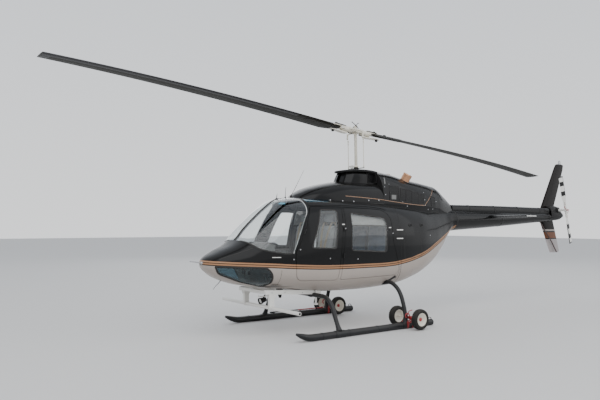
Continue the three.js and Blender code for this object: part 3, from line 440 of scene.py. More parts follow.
# %% Curves through points
def smooth_line(points, count):
    """Points spaced along a Catmull-Rom curve through the given points."""
    known = np.array(points, float)
    if len(known) == 2:
        return known[0] + (known[1] - known[0]) * np.linspace(0, 1, count)[:, None]
    padded = np.vstack([2 * known[0] - known[1], known, 2 * known[-1] - known[-2]])
    fine_points = []
    for index in range(1, len(padded) - 2):
        before, here, after, beyond = padded[index - 1:index + 3]
        t = np.linspace(0, 1, 12, endpoint=False)[:, None]
        fine_points.append(0.5 * (2 * here + (after - before) * t
                                  + (2 * before - 5 * here + 4 * after - beyond) * t ** 2
                                  + (3 * here - before - 3 * after + beyond) * t ** 3))
    dense = np.vstack([*fine_points, known[-1:]])
    steps = np.concatenate([[0], np.cumsum(np.linalg.norm(np.diff(dense, axis=0), axis=1))])
    wanted = np.linspace(0, steps[-1], count)
    return np.stack([np.interp(wanted, steps, dense[:, axis]) for axis in range(3)], axis=1)


def frames_along(line):
    """A side and an up direction at each point of a line, turned as little as possible."""
    tangents = np.gradient(line, axis=0)
    tangents /= np.linalg.norm(tangents, axis=1)[:, None]
    start = np.array([0.0, 0.0, 1.0]) if abs(tangents[0][2]) < 0.9 else np.array([1.0, 0.0, 0.0])
    sides = []
    side = np.cross(tangents[0], start)
    for tangent in tangents:
        side = side - tangent * (side @ tangent)
        side /= np.linalg.norm(side)
        sides.append(side)
    sides = np.array(sides)
    return sides, np.cross(sides, tangents)


# %% Form class
class Form:
    """Points and faces gathered into one piece."""

    def __init__(self):
        self.points = []
        self.faces = []

    def add(self, points, faces, matrix=None):
        first = len(self.points)
        for point in points:
            vector = Vector(point)
            self.points.append(matrix @ vector if matrix else vector)
        self.faces.extend([tuple(index + first for index in face) for face in faces])
        return self

    def rings(self, rings, matrix=None, closed=False, caps=True):
        """Joins rings of equal length into a skin; the ends are capped unless the rings close."""
        size = len(rings[0])
        points = [point for ring in rings for point in ring]
        faces = []
        for level in range(len(rings) if closed else len(rings) - 1):
            low = level * size
            high = ((level + 1) % len(rings)) * size
            faces += [(low + k, low + (k + 1) % size, high + (k + 1) % size, high + k) for k in range(size)]
        if caps and not closed:
            faces.append(tuple(reversed(range(size))))
            faces.append(tuple(range((len(rings) - 1) * size, len(rings) * size)))
        return self.add(points, faces, matrix)

    def box(self, low, high, edge=0.003, matrix=None):
        """A box with chamfered edges, from its lowest to its highest corner."""
        low, high = Vector(low), Vector(high)
        edge = min(edge, *((high - low) * 0.45))
        rings = []
        for z, inset in ((low.z, edge), (low.z + edge, 0), (high.z - edge, 0), (high.z, edge)):
            x0, x1, y0, y1 = low.x + inset, high.x - inset, low.y + inset, high.y - inset
            rings.append([(x0 + edge, y0, z), (x1 - edge, y0, z), (x1, y0 + edge, z), (x1, y1 - edge, z),
                          (x1 - edge, y1, z), (x0 + edge, y1, z), (x0, y1 - edge, z), (x0, y0 + edge, z)])
        return self.rings(rings, matrix)

    def tube(self, points, radius, sides=12, steps=None, matrix=None, squeeze=1.0):
        """A tube along a smooth line; radius is a number or one number per given point."""
        count = steps or max(2, 6 * (len(points) - 1))
        line = smooth_line(points, count)
        radii = np.interp(np.linspace(0, 1, count), np.linspace(0, 1, np.size(radius)), np.atleast_1d(radius))
        across, upright = frames_along(line)
        angles = circle_angles(sides)
        rings = [[centre + (side * math.cos(a) + lift * math.sin(a) * squeeze) * size for a in angles]
                 for centre, side, lift, size in zip(line, across, upright, radii)]
        return self.rings(rings, matrix)

    def spun(self, profile, start, direction, sides=32, matrix=None):
        """A turned shape: profile is (distance along, radius) from start in a direction."""
        turn = Vector(direction).to_track_quat("Z", "Y").to_matrix().to_4x4()
        placed = Matrix.Translation(start) @ turn
        angles = [2 * math.pi * k / sides for k in range(sides)]
        rings = [[(radius * math.cos(a), radius * math.sin(a), along) for a in angles]
                 for along, radius in profile]
        return self.rings(rings, (matrix @ placed) if matrix else placed)

    def rod(self, start, end, radius, sides=16, edge=0.002, matrix=None):
        """A straight round bar with chamfered ends."""
        length = (Vector(end) - Vector(start)).length
        edge = min(edge, radius * 0.4, length * 0.4)
        profile = [(0, radius - edge), (edge, radius), (length - edge, radius), (length, radius - edge)]
        return self.spun(profile, start, Vector(end) - Vector(start), sides, matrix)

    def bolts(self, places, direction, radius=0.006, height=0.004, matrix=None):
        """Hexagon heads, each standing on a place."""
        for place in places:
            self.spun([(0, radius * 1.25), (height * 0.2, radius * 1.25), (height * 0.25, radius),
                       (height, radius * 0.92)], place, direction, 6, matrix)
        return self

    def plate(self, outline, normal_axis, low, high, edge=0.002, matrix=None):
        """A flat plate: outline in the two other axes, from low to high along one axis."""
        outline = [Vector(point) for point in outline]
        centre = sum(outline, Vector((0, 0))) / len(outline)
        size = max((point - centre).length for point in outline)
        rings = []
        for level, inset in ((low, edge), (low + edge, 0), (high - edge, 0), (high, edge)):
            ring = []
            for point in outline:
                u, v = centre + (point - centre) * (1 - inset / size)
                ring.append({"x": (level, u, v), "y": (u, level, v), "z": (u, v, level)}[normal_axis])
            rings.append(ring)
        return self.rings(rings, matrix)

    def piece(self, name, finish, body="airframe", slot="black_paint", replaces=(), angle=35.0):
        """Makes the object, gives it a finish and lets it ride on its body."""
        mesh = bpy.data.meshes.new(name)
        mesh.from_pydata(self.points, [], self.faces)
        return finish_mesh(mesh, name, finish, body, replaces, angle)


def finish_mesh(mesh, name, finish, body, replaces=(), angle=35.0):
    """Tidies a mesh, marks its sharp edges and makes it a piece of the model."""
    shape = bmesh.new()
    shape.from_mesh(mesh)
    bmesh.ops.recalc_face_normals(shape, faces=shape.faces)
    for face in shape.faces:
        face.smooth = True
    for edge in shape.edges:
        edge.smooth = len(edge.link_faces) == 2 and edge.calc_face_angle(0) < math.radians(angle)
    shape.to_mesh(mesh)
    shape.free()
    return make_piece(mesh, name, finish, body, replaces)


def make_piece(mesh, name, finish, body, replaces=()):
    piece = bpy.data.objects.new(name, mesh)
    bpy.context.scene.collection.objects.link(piece)
    mesh.materials.append(FINISH[finish])
    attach(piece, body)
    if replaces:
        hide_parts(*replaces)
    return piece


# %% [markdown]
# ## The skin
#
# A fuselage is drawn as sections along its length. Each one here is a superellipse with its own half
# width, keel, crown and roundness, and the columns run smoothly from row to row. Any point of the
# skin then has two numbers: its station, and its angle round the section, from the keel at -90
# degrees over the widest place at 0 to the crown at 90.


# %% Skin class
SECTION = ("x", "half", "low", "high", "wide", "belly", "crown")


def slopes_of(x, y):
    """Slopes that keep a curve through the rows from overshooting."""
    step = np.diff(y) / np.diff(x)
    slopes = np.concatenate([[step[0]], np.zeros(len(x) - 2), [step[-1]]])
    for k in range(1, len(x) - 1):
        if step[k - 1] * step[k] > 0:
            slopes[k] = 2 * step[k - 1] * step[k] / (step[k - 1] + step[k])
    return slopes


class Skin:
    """A lofted surface from a table of sections in millimetres."""

    def __init__(self, rows):
        values = np.array(rows, float)
        values[:, 0] = values[:, 0] / 1000 + MAST_STATION
        values[:, 1:5] /= 1000
        self.x = values[:, 0]
        self.columns = {name: (values[:, k], slopes_of(values[:, 0], values[:, k]))
                        for k, name in enumerate(SECTION) if name != "x"}

    def at(self, x, name):
        """One column at any station, by a cubic between its rows."""
        x = np.clip(x, self.x[0], self.x[-1])
        k = np.clip(np.searchsorted(self.x, x) - 1, 0, len(self.x) - 2)
        width = self.x[k + 1] - self.x[k]
        t = (x - self.x[k]) / width
        y, m = self.columns[name]
        return ((2 * t ** 3 - 3 * t ** 2 + 1) * y[k] + (t ** 3 - 2 * t ** 2 + t) * width * m[k]
                + (3 * t ** 2 - 2 * t ** 3) * y[k + 1] + (t ** 3 - t ** 2) * width * m[k + 1])

    def reach(self, x, upper):
        wide = self.at(x, "wide")
        return np.where(upper, self.at(x, "high") - wide, wide - self.at(x, "low"))

    def power(self, x, upper):
        return np.where(upper, self.at(x, "crown"), self.at(x, "belly"))

    def point(self, x, angle):
        x, angle = np.atleast_1d(x).astype(float), np.atleast_1d(angle).astype(float)
        across, high = np.cos(angle), np.sin(angle)
        upper = high >= 0
        power = self.power(x, upper)
        size = (np.abs(across) ** power + np.abs(high) ** power) ** (-1 / power)
        return np.stack([x, self.at(x, "half") * size * across,
                         self.at(x, "wide") + self.reach(x, upper) * size * high], axis=1)

    def normal(self, x, angle):
        x, angle = np.atleast_1d(x).astype(float), np.atleast_1d(angle).astype(float)
        ahead = self.point(x + 0.002, angle) - self.point(x - 0.002, angle)
        around = self.point(x, angle + 0.002) - self.point(x, angle - 0.002)
        normal = np.cross(ahead, around)
        outward = self.point(x, angle) - np.stack([x, 0 * x, self.at(x, "wide")], axis=1)
        flip = np.sign(np.sum(normal * outward, axis=1))
        flip[flip == 0] = 1
        return normal * (flip / np.maximum(np.linalg.norm(normal, axis=1), 1e-12))[:, None]

    def angle_of_height(self, x, z):
        """The port side angle of a height seen in side view."""
        x, z = np.atleast_1d(x).astype(float), np.atleast_1d(z).astype(float)
        upper = z >= self.at(x, "wide")
        share = np.clip(np.abs(z - self.at(x, "wide")) / self.reach(x, upper), 0, 0.99999)
        power = self.power(x, upper)
        across = (1 - share ** power) ** (1 / power)
        return np.where(upper, 1, -1) * np.arctan2(share, across)

    def angle_of_width(self, x, y):
        """The angle on the crown of a distance from the centre plane."""
        x, y = np.atleast_1d(x).astype(float), np.atleast_1d(y).astype(float)
        share = np.clip(y / self.at(x, "half"), -0.99999, 0.99999)
        power = self.power(x, True)
        rise = (1 - np.abs(share) ** power) ** (1 / power)
        return np.arctan2(rise, share)

    def on_side(self, x, z, side=1, lift=0.0):
        """Points on the skin at side view places, lifted off it a little."""
        angle = self.angle_of_height(x, z)
        return self.lifted(x, angle, side, lift)

    def lifted(self, x, angle, side=1, lift=0.0):
        points = self.point(x, angle) + self.normal(x, angle) * lift
        points[:, 1] *= side
        return points


# %% [markdown]
# A glossy curve shows every wrinkle in its normals. So the skin's pieces don't let Blender average
# normals from their triangles: they carry the exact normal of the smooth surface at every corner.


# %% Skinned meshes
def shelled(skin, spots, triangles, side, thickness):
    """Points, faces and exact corner normals of a sheet with that thickness. Spots are (x, angle)."""
    spots = np.array(spots, float)
    outer = skin.point(spots[:, 0], spots[:, 1])
    normals = skin.normal(spots[:, 0], spots[:, 1])
    depth = np.minimum(thickness, skin.at(spots[:, 0], "half") * 0.4)[:, None]
    inner = outer - normals * depth
    for array in (outer, normals, inner):
        array[:, 1] *= side
    count = len(spots)
    triangles = np.array(triangles)
    if side < 0:
        triangles = triangles[:, ::-1]
    faces = [tuple(int(i) for i in face) for face in triangles]
    inner_faces = [tuple(int(i) + count for i in reversed(face)) for face in triangles]
    edges = {}
    for face in faces:
        for a, b in zip(face, face[1:] + face[:1]):
            edges[(a, b)] = True
    walls = [(b, a, a + count, b + count) for a, b in edges if (b, a) not in edges]
    corner_normals = [normals[i] for face in faces for i in face]
    corner_normals += [-normals[i - count] for face in inner_faces for i in face]
    points = np.vstack([outer, inner])
    for wall in walls:
        flat = np.cross(points[wall[1]] - points[wall[0]], points[wall[2]] - points[wall[0]])
        flat = flat / max(np.linalg.norm(flat), 1e-12)
        corner_normals += [flat] * 4
    return points, faces + inner_faces + walls, corner_normals


def skin_piece(parts, name, finish, body="airframe", replaces=()):
    """Joins shelled parts into one piece with their exact normals."""
    points, faces, normals = [], [], []
    for part_points, part_faces, part_normals in parts:
        first = len(points)
        points.extend(map(tuple, part_points))
        faces.extend([tuple(i + first for i in face) for face in part_faces])
        normals.extend(part_normals)
    mesh = bpy.data.meshes.new(name)
    mesh.from_pydata(points, [], faces)
    mesh.polygons.foreach_set("use_smooth", [True] * len(mesh.polygons))
    mesh.normals_split_custom_set([tuple(n) for n in normals])
    return make_piece(mesh, name, finish, body, replaces)


def grid_part(skin, stations, angles, thickness, side=1):
    """A plain stretch of skin as a grid of quads split in triangles."""
    stations, angles = np.array(stations), np.array(angles)
    spots = [(x, a) for x in stations for a in angles]
    width = len(angles)
    triangles = []
    for i in range(len(stations) - 1):
        for j in range(width - 1):
            a, b = i * width + j, i * width + j + 1
            c, d = a + width, b + width
            triangles += [(a, b, c), (b, d, c)]
    return shelled(skin, spots, triangles, side, thickness)


# %% [markdown]
# Doors and windows are drawn in side view, as corners with radii. Rounding gives an outline; moving
# it in gives the gap round a door or the rubber round a pane.


# %% Outlines
def rounded(corners, steps=8):
    """An outline with rounded corners, counterclockwise, from (x, z, radius) in millimetres."""
    outline = []
    for index, (x, z, radius) in enumerate(corners):
        corner = np.array([x, z], float)
        before = np.array(corners[index - 1][:2], float)
        after = np.array(corners[(index + 1) % len(corners)][:2], float)
        start = corner + (before - corner) / np.linalg.norm(before - corner) * radius
        end = corner + (after - corner) / np.linalg.norm(after - corner) * radius
        for t in np.linspace(0, 1, steps + 1):
            outline.append(start * (1 - t) ** 2 + corner * 2 * t * (1 - t) + end * t ** 2)
    outline = np.array(outline)
    turn = np.sum(outline[:, 0] * np.roll(outline[:, 1], -1) - outline[:, 1] * np.roll(outline[:, 0], -1))
    return outline if turn > 0 else outline[::-1]


def moved_in(outline, gap):
    before = outline - np.roll(outline, 1, axis=0)
    after = np.roll(outline, -1, axis=0) - outline
    before /= np.maximum(np.linalg.norm(before, axis=1), 1e-9)[:, None]
    after /= np.maximum(np.linalg.norm(after, axis=1), 1e-9)[:, None]
    normal = np.stack([-before[:, 1] - after[:, 1], before[:, 0] + after[:, 0]], axis=1)
    normal /= np.linalg.norm(normal, axis=1)[:, None]
    stretch = np.maximum(np.sum(normal * np.stack([-before[:, 1], before[:, 0]], axis=1), axis=1), 0.4)
    return outline + normal * (gap / stretch)[:, None]


def filled_in(outline, longest):
    """The same outline with extra points, so that no side is longer than that."""
    points = []
    for here, after in zip(outline, np.roll(outline, -1, axis=0)):
        count = max(1, int(np.ceil(np.linalg.norm(after - here) / longest)))
        points += [here + (after - here) * k / count for k in range(count)]
    return np.array(points)


def inside(outline, points):
    """Which points lie inside a closed outline."""
    result = np.zeros(len(points), bool)
    x, y = points[:, 0], points[:, 1]
    for (x0, y0), (x1, y1) in zip(outline, np.roll(outline, -1, axis=0)):
        crossing = (y0 > y) != (y1 > y)
        at = x0 + (y - y0) * (x1 - x0) / (y1 - y0 if y1 != y0 else 1e-12)
        result ^= crossing & (x < at)
    return result


print("form tools ready")

# %% [markdown]
# ## Fuselage panels
#
# The section table below is the one that the CAD solids were lofted from, with two changes. The
# crown is rounder over the windscreen and nose, which brings their shoulders out by up to five
# centimetres, and two more rows close the nose in a soft point. Doors and windows lie in it too.

# %% Fuselage table
HULL_ROWS = [
    (-2375, 205, 1504, 1905, 1700, 2.0, 2.1),
    (-2290, 202, 1496, 1913, 1690, 2.0, 2.1),
    (-2130, 228, 1345, 1930, 1580, 2.0, 2.2),
    (-1880, 308, 1070, 1945, 1420, 2.0, 2.4),
    (-1570, 415, 870, 1959, 1290, 2.2, 2.5),
    (-1050, 556, 692, 1980, 1165, 2.6, 3.0),
    (-430, 640, 598, 2005, 1095, 3.2, 3.4),
    (300, 660, 566, 2035, 1070, 3.2, 3.6),
    (1000, 660, 580, 2042, 1060, 3.2, 3.4),
    (1400, 645, 615, 2032, 1050, 3.0, 3.0),
    (1620, 625, 645, 2002, 1045, 3.0, 2.7),
    (1830, 592, 668, 1874, 1040, 2.8, 2.75),
    (2020, 550, 690, 1717, 1040, 2.7, 2.8),
    (2200, 505, 720, 1550, 1040, 2.6, 2.8),
    (2350, 455, 745, 1387, 1045, 2.5, 2.75),
    (2650, 325, 845, 1236, 1050, 2.2, 2.6),
    (2800, 205, 940, 1160, 1060, 2.0, 2.3),
    (2850, 115, 990, 1123, 1065, 2.0, 2.0),
    (2868, 30, 1050, 1086, 1068, 2.0, 2.0),
]
HULL = Skin(HULL_ROWS)
CABIN_BACK = -430
HULL_BACK = -2375
NOSE = 2868

CREW_DOOR = rounded([(1335, 1893, 40), (764, 1893, 18), (905, 780, 60), (1655, 800, 120), (1680, 1180, 30)])
REAR_DOOR = rounded([(728, 1893, 18), (-60, 1866, 60), (-236, 1780, 110), (-256, 1360, 60), (-392, 930, 60),
                     (-350, 800, 60), (862, 780, 40)])
CREW_WINDOW = rounded([(1176, 1844, 40), (872, 1836, 50), (950, 1256, 50), (1402, 1274, 40)])
REAR_WINDOW = rounded([(622, 1800, 50), (-136, 1722, 110), (-100, 1180, 60), (648, 1220, 50)])
CHIN_WINDOW = rounded([(2775, 1030, 15), (2100, 1003, 70), (2015, 900, 60), (1998, 770, 45), (2080, 722, 45),
                       (2430, 808, 60), (2720, 925, 50)])
WINDSCREEN_EDGE = [(1712, 1203), (1372, 1893), (1412, 2033)]
WINDSCREEN_BASE = [(1930, 1212), (2200, 1272), (2345, 1384)]
ROOF_WINDOW = rounded([(1340, 270, 40), (1340, 420, 40), (880, 455, 40), (880, 350, 40)])
DOOR_GAP = 7
CENTRE_POST = 0.030
CHIN_KEEL = 0.110
HULL_SPLIT = 0.965
NOSE_SPLIT = 2130

# %% [markdown]
# To cut the skin into panels, every outline is laid down in (station, angle), together with a fine
# lattice of points, and one Delaunay triangulation is made of all of it with the outlines as fixed
# edges. Then each triangle is asked which outlines it lies in, and goes to that panel. The cuts come
# out exact, and nothing has to be subtracted. Angles are scaled so that a triangle is about as wide
# on paper as on the skin.

# %% Outlines on the skin
ANGLE_SCALE = 0.6
LATTICE = 0.036
SPOT_SPACING = 24


def side_spots(outline):
    """A side view outline, in millimetres, as (station, angle) points on the port side."""
    outline = filled_in(np.array(outline, float), SPOT_SPACING) / 1000
    x = outline[:, 0] + MAST_STATION
    return np.stack([x, HULL.angle_of_height(x, outline[:, 1])], axis=1)


def plan_spots(outline):
    outline = filled_in(np.array(outline, float), SPOT_SPACING) / 1000
    x = outline[:, 0] + MAST_STATION
    return np.stack([x, HULL.angle_of_width(x, outline[:, 1])], axis=1)


def windscreen_spots():
    """The port half of the windscreen: base, rear edge, then forward beside the centre post."""
    corner = np.array(WINDSCREEN_EDGE[1], float)
    low_end, top_end = (np.array(WINDSCREEN_EDGE[k], float) for k in (0, 2))
    start = corner + (low_end - corner) * 0.16
    end = corner + (top_end - corner) * 0.75
    t = np.linspace(0, 1, 9)[:, None]
    bend = start * (1 - t) ** 2 + corner * 2 * t * (1 - t) + end * t ** 2
    base = smooth_line([(x, 0, z) for x, z in [*WINDSCREEN_BASE[::-1], (1800, 1197), WINDSCREEN_EDGE[0]]], 36)
    side_part = np.vstack([base[:, [0, 2]], bend]) / 1000
    x = side_part[:, 0] + MAST_STATION
    side_part = np.stack([x, HULL.angle_of_height(x, side_part[:, 1])], axis=1)
    centre_x = np.linspace(station(top_end[0]), station(WINDSCREEN_BASE[-1][0]), 30)
    centre = np.stack([centre_x, HULL.angle_of_width(centre_x, np.full(30, CENTRE_POST / 2))], axis=1)
    return np.vstack([side_part, centre])


OUTLINES = {
    "crew_opening": side_spots(CREW_DOOR),
    "crew_edge": side_spots(moved_in(CREW_DOOR, DOOR_GAP)),
    "crew_window": side_spots(CREW_WINDOW),
    "rear_opening": side_spots(REAR_DOOR),
    "rear_edge": side_spots(moved_in(REAR_DOOR, DOOR_GAP)),
    "rear_window": side_spots(REAR_WINDOW),
    "windscreen": windscreen_spots(),
    "chin": side_spots(CHIN_WINDOW),
    "roof": plan_spots(ROOF_WINDOW),
}

# %% Cut the cabin skin
SPREAD = np.array([1.0, ANGLE_SCALE])


def cut_skin():
    """Triangles of the port cabin skin for each panel."""
    points, edges = [], []

    def chain(spots, closed):
        first = len(points)
        points.extend(spots * SPREAD)
        count = len(spots)
        edges.extend((first + k, first + (k + 1) % count) for k in range(count if closed else count - 1))

    for spots in OUTLINES.values():
        chain(spots, True)
    edge_x = np.linspace(station(CABIN_BACK), station(NOSE), 92)
    chain(np.stack([edge_x, np.full(92, -math.pi / 2)], axis=1), False)
    chain(np.stack([edge_x, np.full(92, math.pi / 2)], axis=1), False)
    split = np.stack([edge_x, HULL.angle_of_height(edge_x, np.full(92, HULL_SPLIT))], axis=1)
    chain(split, False)
    for x in (station(CABIN_BACK), station(NOSE_SPLIT)):
        angles = np.linspace(-math.pi / 2, math.pi / 2, 60)
        chain(np.stack([np.full(60, x), angles], axis=1), False)
    fixed = np.array(points)
    grid_x = np.arange(station(CABIN_BACK) + LATTICE / 2, station(NOSE), LATTICE)
    grid_a = np.arange(-math.pi / 2 + 0.03, math.pi / 2 - 0.02, LATTICE / ANGLE_SCALE)
    lattice = np.array([(x, a) for x in grid_x for a in grid_a]) * SPREAD
    keep = np.array([np.min(np.sum((fixed - spot) ** 2, axis=1)) > (LATTICE * 0.42) ** 2 for spot in lattice])
    every = np.vstack([fixed, lattice[keep]])
    spots, _, faces, *_ = delaunay_2d_cdt([Vector(p) for p in every], edges, [], 0, 1e-6)
    spots = np.array([tuple(p) for p in spots]) / SPREAD
    faces = np.array([face for face in faces if len(face) == 3])
    middles = spots[faces].mean(axis=1)
    height = HULL.point(middles[:, 0], middles[:, 1])
    within = {name: inside(outline, middles) for name, outline in OUTLINES.items()}
    free = np.ones(len(faces), bool)
    panels = {}

    def take(name, mask):
        panels[name] = faces[mask & free]
        free[mask] = False

    take("crew_window", within["crew_window"])
    take("crew_door", within["crew_edge"])
    take("gap", within["crew_opening"])
    take("rear_window", within["rear_window"])
    take("rear_door", within["rear_edge"])
    take("gap_behind", within["rear_opening"])
    take("windscreen", within["windscreen"])
    take("chin_window", within["chin"] & (height[:, 1] > CHIN_KEEL))
    take("roof_window", within["roof"])
    take("lower_hull", height[:, 2] < HULL_SPLIT)
    take("nose_cover", middles[:, 0] > station(NOSE_SPLIT))
    take("cabin_frame", free.copy())
    return spots, panels


def panel_part(name, side, thickness):
    """A panel of the cut skin with only the points that it uses."""
    used, triangles = np.unique(PANELS[name], return_inverse=True)
    return shelled(HULL, SPOTS[used], triangles.reshape(-1, 3)[:, ::-1], side, thickness)


SPOTS, PANELS = cut_skin()
print("panels:", {name: len(faces) for name, faces in PANELS.items()})

# %% [markdown]
# The fixed panels are honeycomb and sheet about 30 mm deep at the posts. Left and right halves that
# belong to one CAD node are joined; doors and panes stay apart, because they move or are glass.

# %% Fixed panels
FRAME_DEPTH = 0.030
PANE_DEPTH = 0.006
for panel in ("cabin_frame", "lower_hull", "nose_cover"):
    halves = [panel_part(panel, side, FRAME_DEPTH) for side in (1, -1)]
    slot = "light_paint" if panel == "lower_hull" else "black_paint"
    skin_piece(halves, panel + "_skin", "hull_lacquer", replaces=(panel,))
for word, side in SIDES.items():
    for panel, finish, slot in (("windscreen", "clear_acrylic", "glass"),
                                ("chin_window", "chin_acrylic", "tinted_glass"),
                                ("roof_window", "blue_acrylic", "tinted_glass")):
        node = f"{panel}_{word}"
        skin_piece([panel_part(panel, side, PANE_DEPTH)], node + "_pane", finish, replaces=(node,))

# %% [markdown]
# ### Doors
#
# Each of the four doors is a skin with a deep frame round its window, and a pane. Both ride on the
# door's own body, so they open together.

# %% Door skins and panes
DOOR_DEPTH = 0.028
for word, side in SIDES.items():
    for panel, node in (("crew", "crew"), ("rear", "passenger")):
        body = f"{node}_door_{word}_body"
        skin_piece([panel_part(panel + "_door", side, DOOR_DEPTH)], f"{node}_door_{word}_skin",
                   "hull_lacquer", body, replaces=(f"{node}_door_{word}",))
        skin_piece([panel_part(panel + "_window", side, PANE_DEPTH)], f"{node}_window_{word}_pane",
                   "clear_acrylic", body, (f"{node}_window_{word}",))

# %% [markdown]
# ### Aft fuselage, boom and cowls
#
# Behind the cabin the same skin runs on to a narrow neck, where the tail boom is riveted on. The
# boom is a plain cone with the drive shaft's cover along its top.

# %% Lofts behind and above the cabin
DECK_COWL = Skin([
    (-260, 425, 1700, 2335, 1960, 2.0, 2.8), (200, 420, 1700, 2328, 1960, 2.0, 2.8),
    (488, 412, 1700, 2317, 1960, 2.0, 2.7), (718, 395, 1700, 2283, 1960, 2.0, 2.6),
    (1061, 340, 1700, 2197, 1960, 2.0, 2.4), (1230, 270, 1700, 2120, 1960, 2.0, 2.2),
    (1310, 195, 1700, 2069, 1960, 2.0, 2.0), (1340, 150, 1700, 2046, 1960, 2.0, 2.0)])
ENGINE_COWL = Skin([
    (-2375, 90, 1600, 2014, 1820, 2.0, 2.0), (-2290, 116, 1600, 2068, 1830, 2.0, 2.0),
    (-2150, 160, 1600, 2162, 1850, 2.0, 2.0), (-1880, 238, 1640, 2308, 1915, 2.0, 2.2),
    (-1807, 255, 1650, 2330, 1930, 2.0, 2.2), (-1500, 320, 1680, 2372, 1950, 2.0, 2.4),
    (-1010, 385, 1700, 2434, 1960, 2.0, 2.5), (-570, 415, 1700, 2510, 1960, 2.0, 2.6),
    (-260, 425, 1700, 2535, 1960, 2.0, 2.6)])
MAST_FAIRING = Skin([
    (-260, 265, 2150, 2500, 2300, 2.0, 5.0), (60, 262, 2150, 2500, 2300, 2.0, 5.0),
    (260, 225, 2150, 2500, 2300, 2.0, 5.0), (380, 140, 2150, 2500, 2300, 2.0, 5.0),
    (410, 40, 2150, 2500, 2300, 2.0, 5.0)])
BOOM = Skin([
    (-5700, 94, 1703, 1874, 1790, 2.0, 2.0), (-5500, 95.4, 1690, 1877, 1783, 2.0, 2.0),
    (-5245, 104, 1674, 1880, 1776, 2.0, 2.0), (-3630, 152, 1571, 1893, 1722, 2.0, 2.0),
    (-2375, 204, 1505, 1904, 1700, 2.0, 2.1)])
SHAFT_COVER = Skin([
    (-5700, 56, 1790, 1990, 1900, 2.0, 3.0), (-5384, 64, 1790, 1995, 1900, 2.0, 3.0),
    (-3630, 78, 1790, 2006, 1900, 2.0, 3.0), (-2375, 88, 1790, 2002, 1900, 2.0, 3.0)])
TAIL_BOX = Skin([
    (-6262, 14, 1805, 1850, 1828, 2.0, 2.0), (-6250, 36, 1793, 1872, 1830, 2.0, 2.0),
    (-6225, 55, 1783, 1889, 1835, 2.0, 2.0), (-6105, 80, 1742, 1962, 1845, 2.2, 2.2),
    (-5991, 92, 1726, 2036, 1860, 2.4, 2.4), (-5831, 95.6, 1716, 2052, 1860, 2.4, 2.4),
    (-5740, 95, 1708, 2036, 1852, 2.2, 2.2), (-5700, 92, 1703, 2004, 1850, 2.2, 2.2)])
AROUND = np.linspace(-math.pi / 2, 1.5 * math.pi, 97)
UPPER_HALF = np.linspace(-0.5, math.pi + 0.5, 65)
LOFTS = [
    ("aft_fuselage", HULL, HULL_BACK, CABIN_BACK, 70, AROUND, "hull_lacquer"),
    ("tail_boom", BOOM, -5700, -2375, 60, AROUND, "black_lacquer"),
    ("shaft_cover", SHAFT_COVER, -5700, -2375, 40, UPPER_HALF, "black_lacquer"),
    ("tail_gearbox", TAIL_BOX, -6262, -5700, 40, AROUND, "satin_black"),
    ("deck_cowl", DECK_COWL, -259, 1340, 60, UPPER_HALF, "black_lacquer"),
    ("engine_cowl", ENGINE_COWL, -1809, -260, 60, UPPER_HALF, "black_lacquer"),
    ("tail_fairing", ENGINE_COWL, -2375, -1811, 24, UPPER_HALF, "black_lacquer"),
]
for node, skin, back, front, count, angles, finish in LOFTS:
    stations = np.linspace(station(back), station(front), count)
    skin_piece([grid_part(skin, stations, angles, 0.004)], node + "_skin", finish, replaces=(node,))

# %% [markdown]
# ## Main rotor
#
# Two blades on a see-saw head. The mast leans a little forward and turns; the head tips on a
# trunnion across the mast. So the parts are drawn upright in the mast's and the head's own frames,
# and a matrix puts each in place.

# %% Rotor frames and a ring tool
HUB_HEIGHT = 3.2
MAST_LEAN, PARKED_BEARING, PARKED_TILT = (math.radians(angle) for angle in (1.5, 0.6, -7.14))
MAST_FRAME = (Matrix.Translation((MAST_STATION, 0, HUB_HEIGHT)) @ Matrix.Rotation(MAST_LEAN, 4, "Y")
              @ Matrix.Rotation(PARKED_BEARING, 4, "Z"))
HEAD_FRAME = MAST_FRAME @ Matrix.Rotation(PARKED_TILT, 4, "Y")
HALF_TURN = Matrix.Rotation(math.pi, 4, "Z")


def ring(form, start, direction, inner, outer, length, sides=32, edge=0.002, matrix=None):
    """A washer or sleeve: an open ring with chamfered edges from start in a direction."""
    turn = Vector(direction).to_track_quat("Z", "Y").to_matrix().to_4x4()
    placed = (matrix or Matrix()) @ Matrix.Translation(start) @ turn
    section = [(inner, edge), (inner + edge, 0), (outer - edge, 0), (outer, edge), (outer, length - edge),
               (outer - edge, length), (inner + edge, length), (inner, length - edge)]
    rings = [[(r * math.cos(a), r * math.sin(a), along) for r, along in section]
             for a in [2 * math.pi * k / sides for k in range(sides)]]
    return form.rings(rings, placed, closed=True)


# %% [markdown]
# The mast is a ground steel tube painted cream. Under the cap plate it goes to the gearbox; a black
# rubber bellows closes the gap round it. Two pitch links run beside it, up to the blade horns, and
# turn with it on a collar.

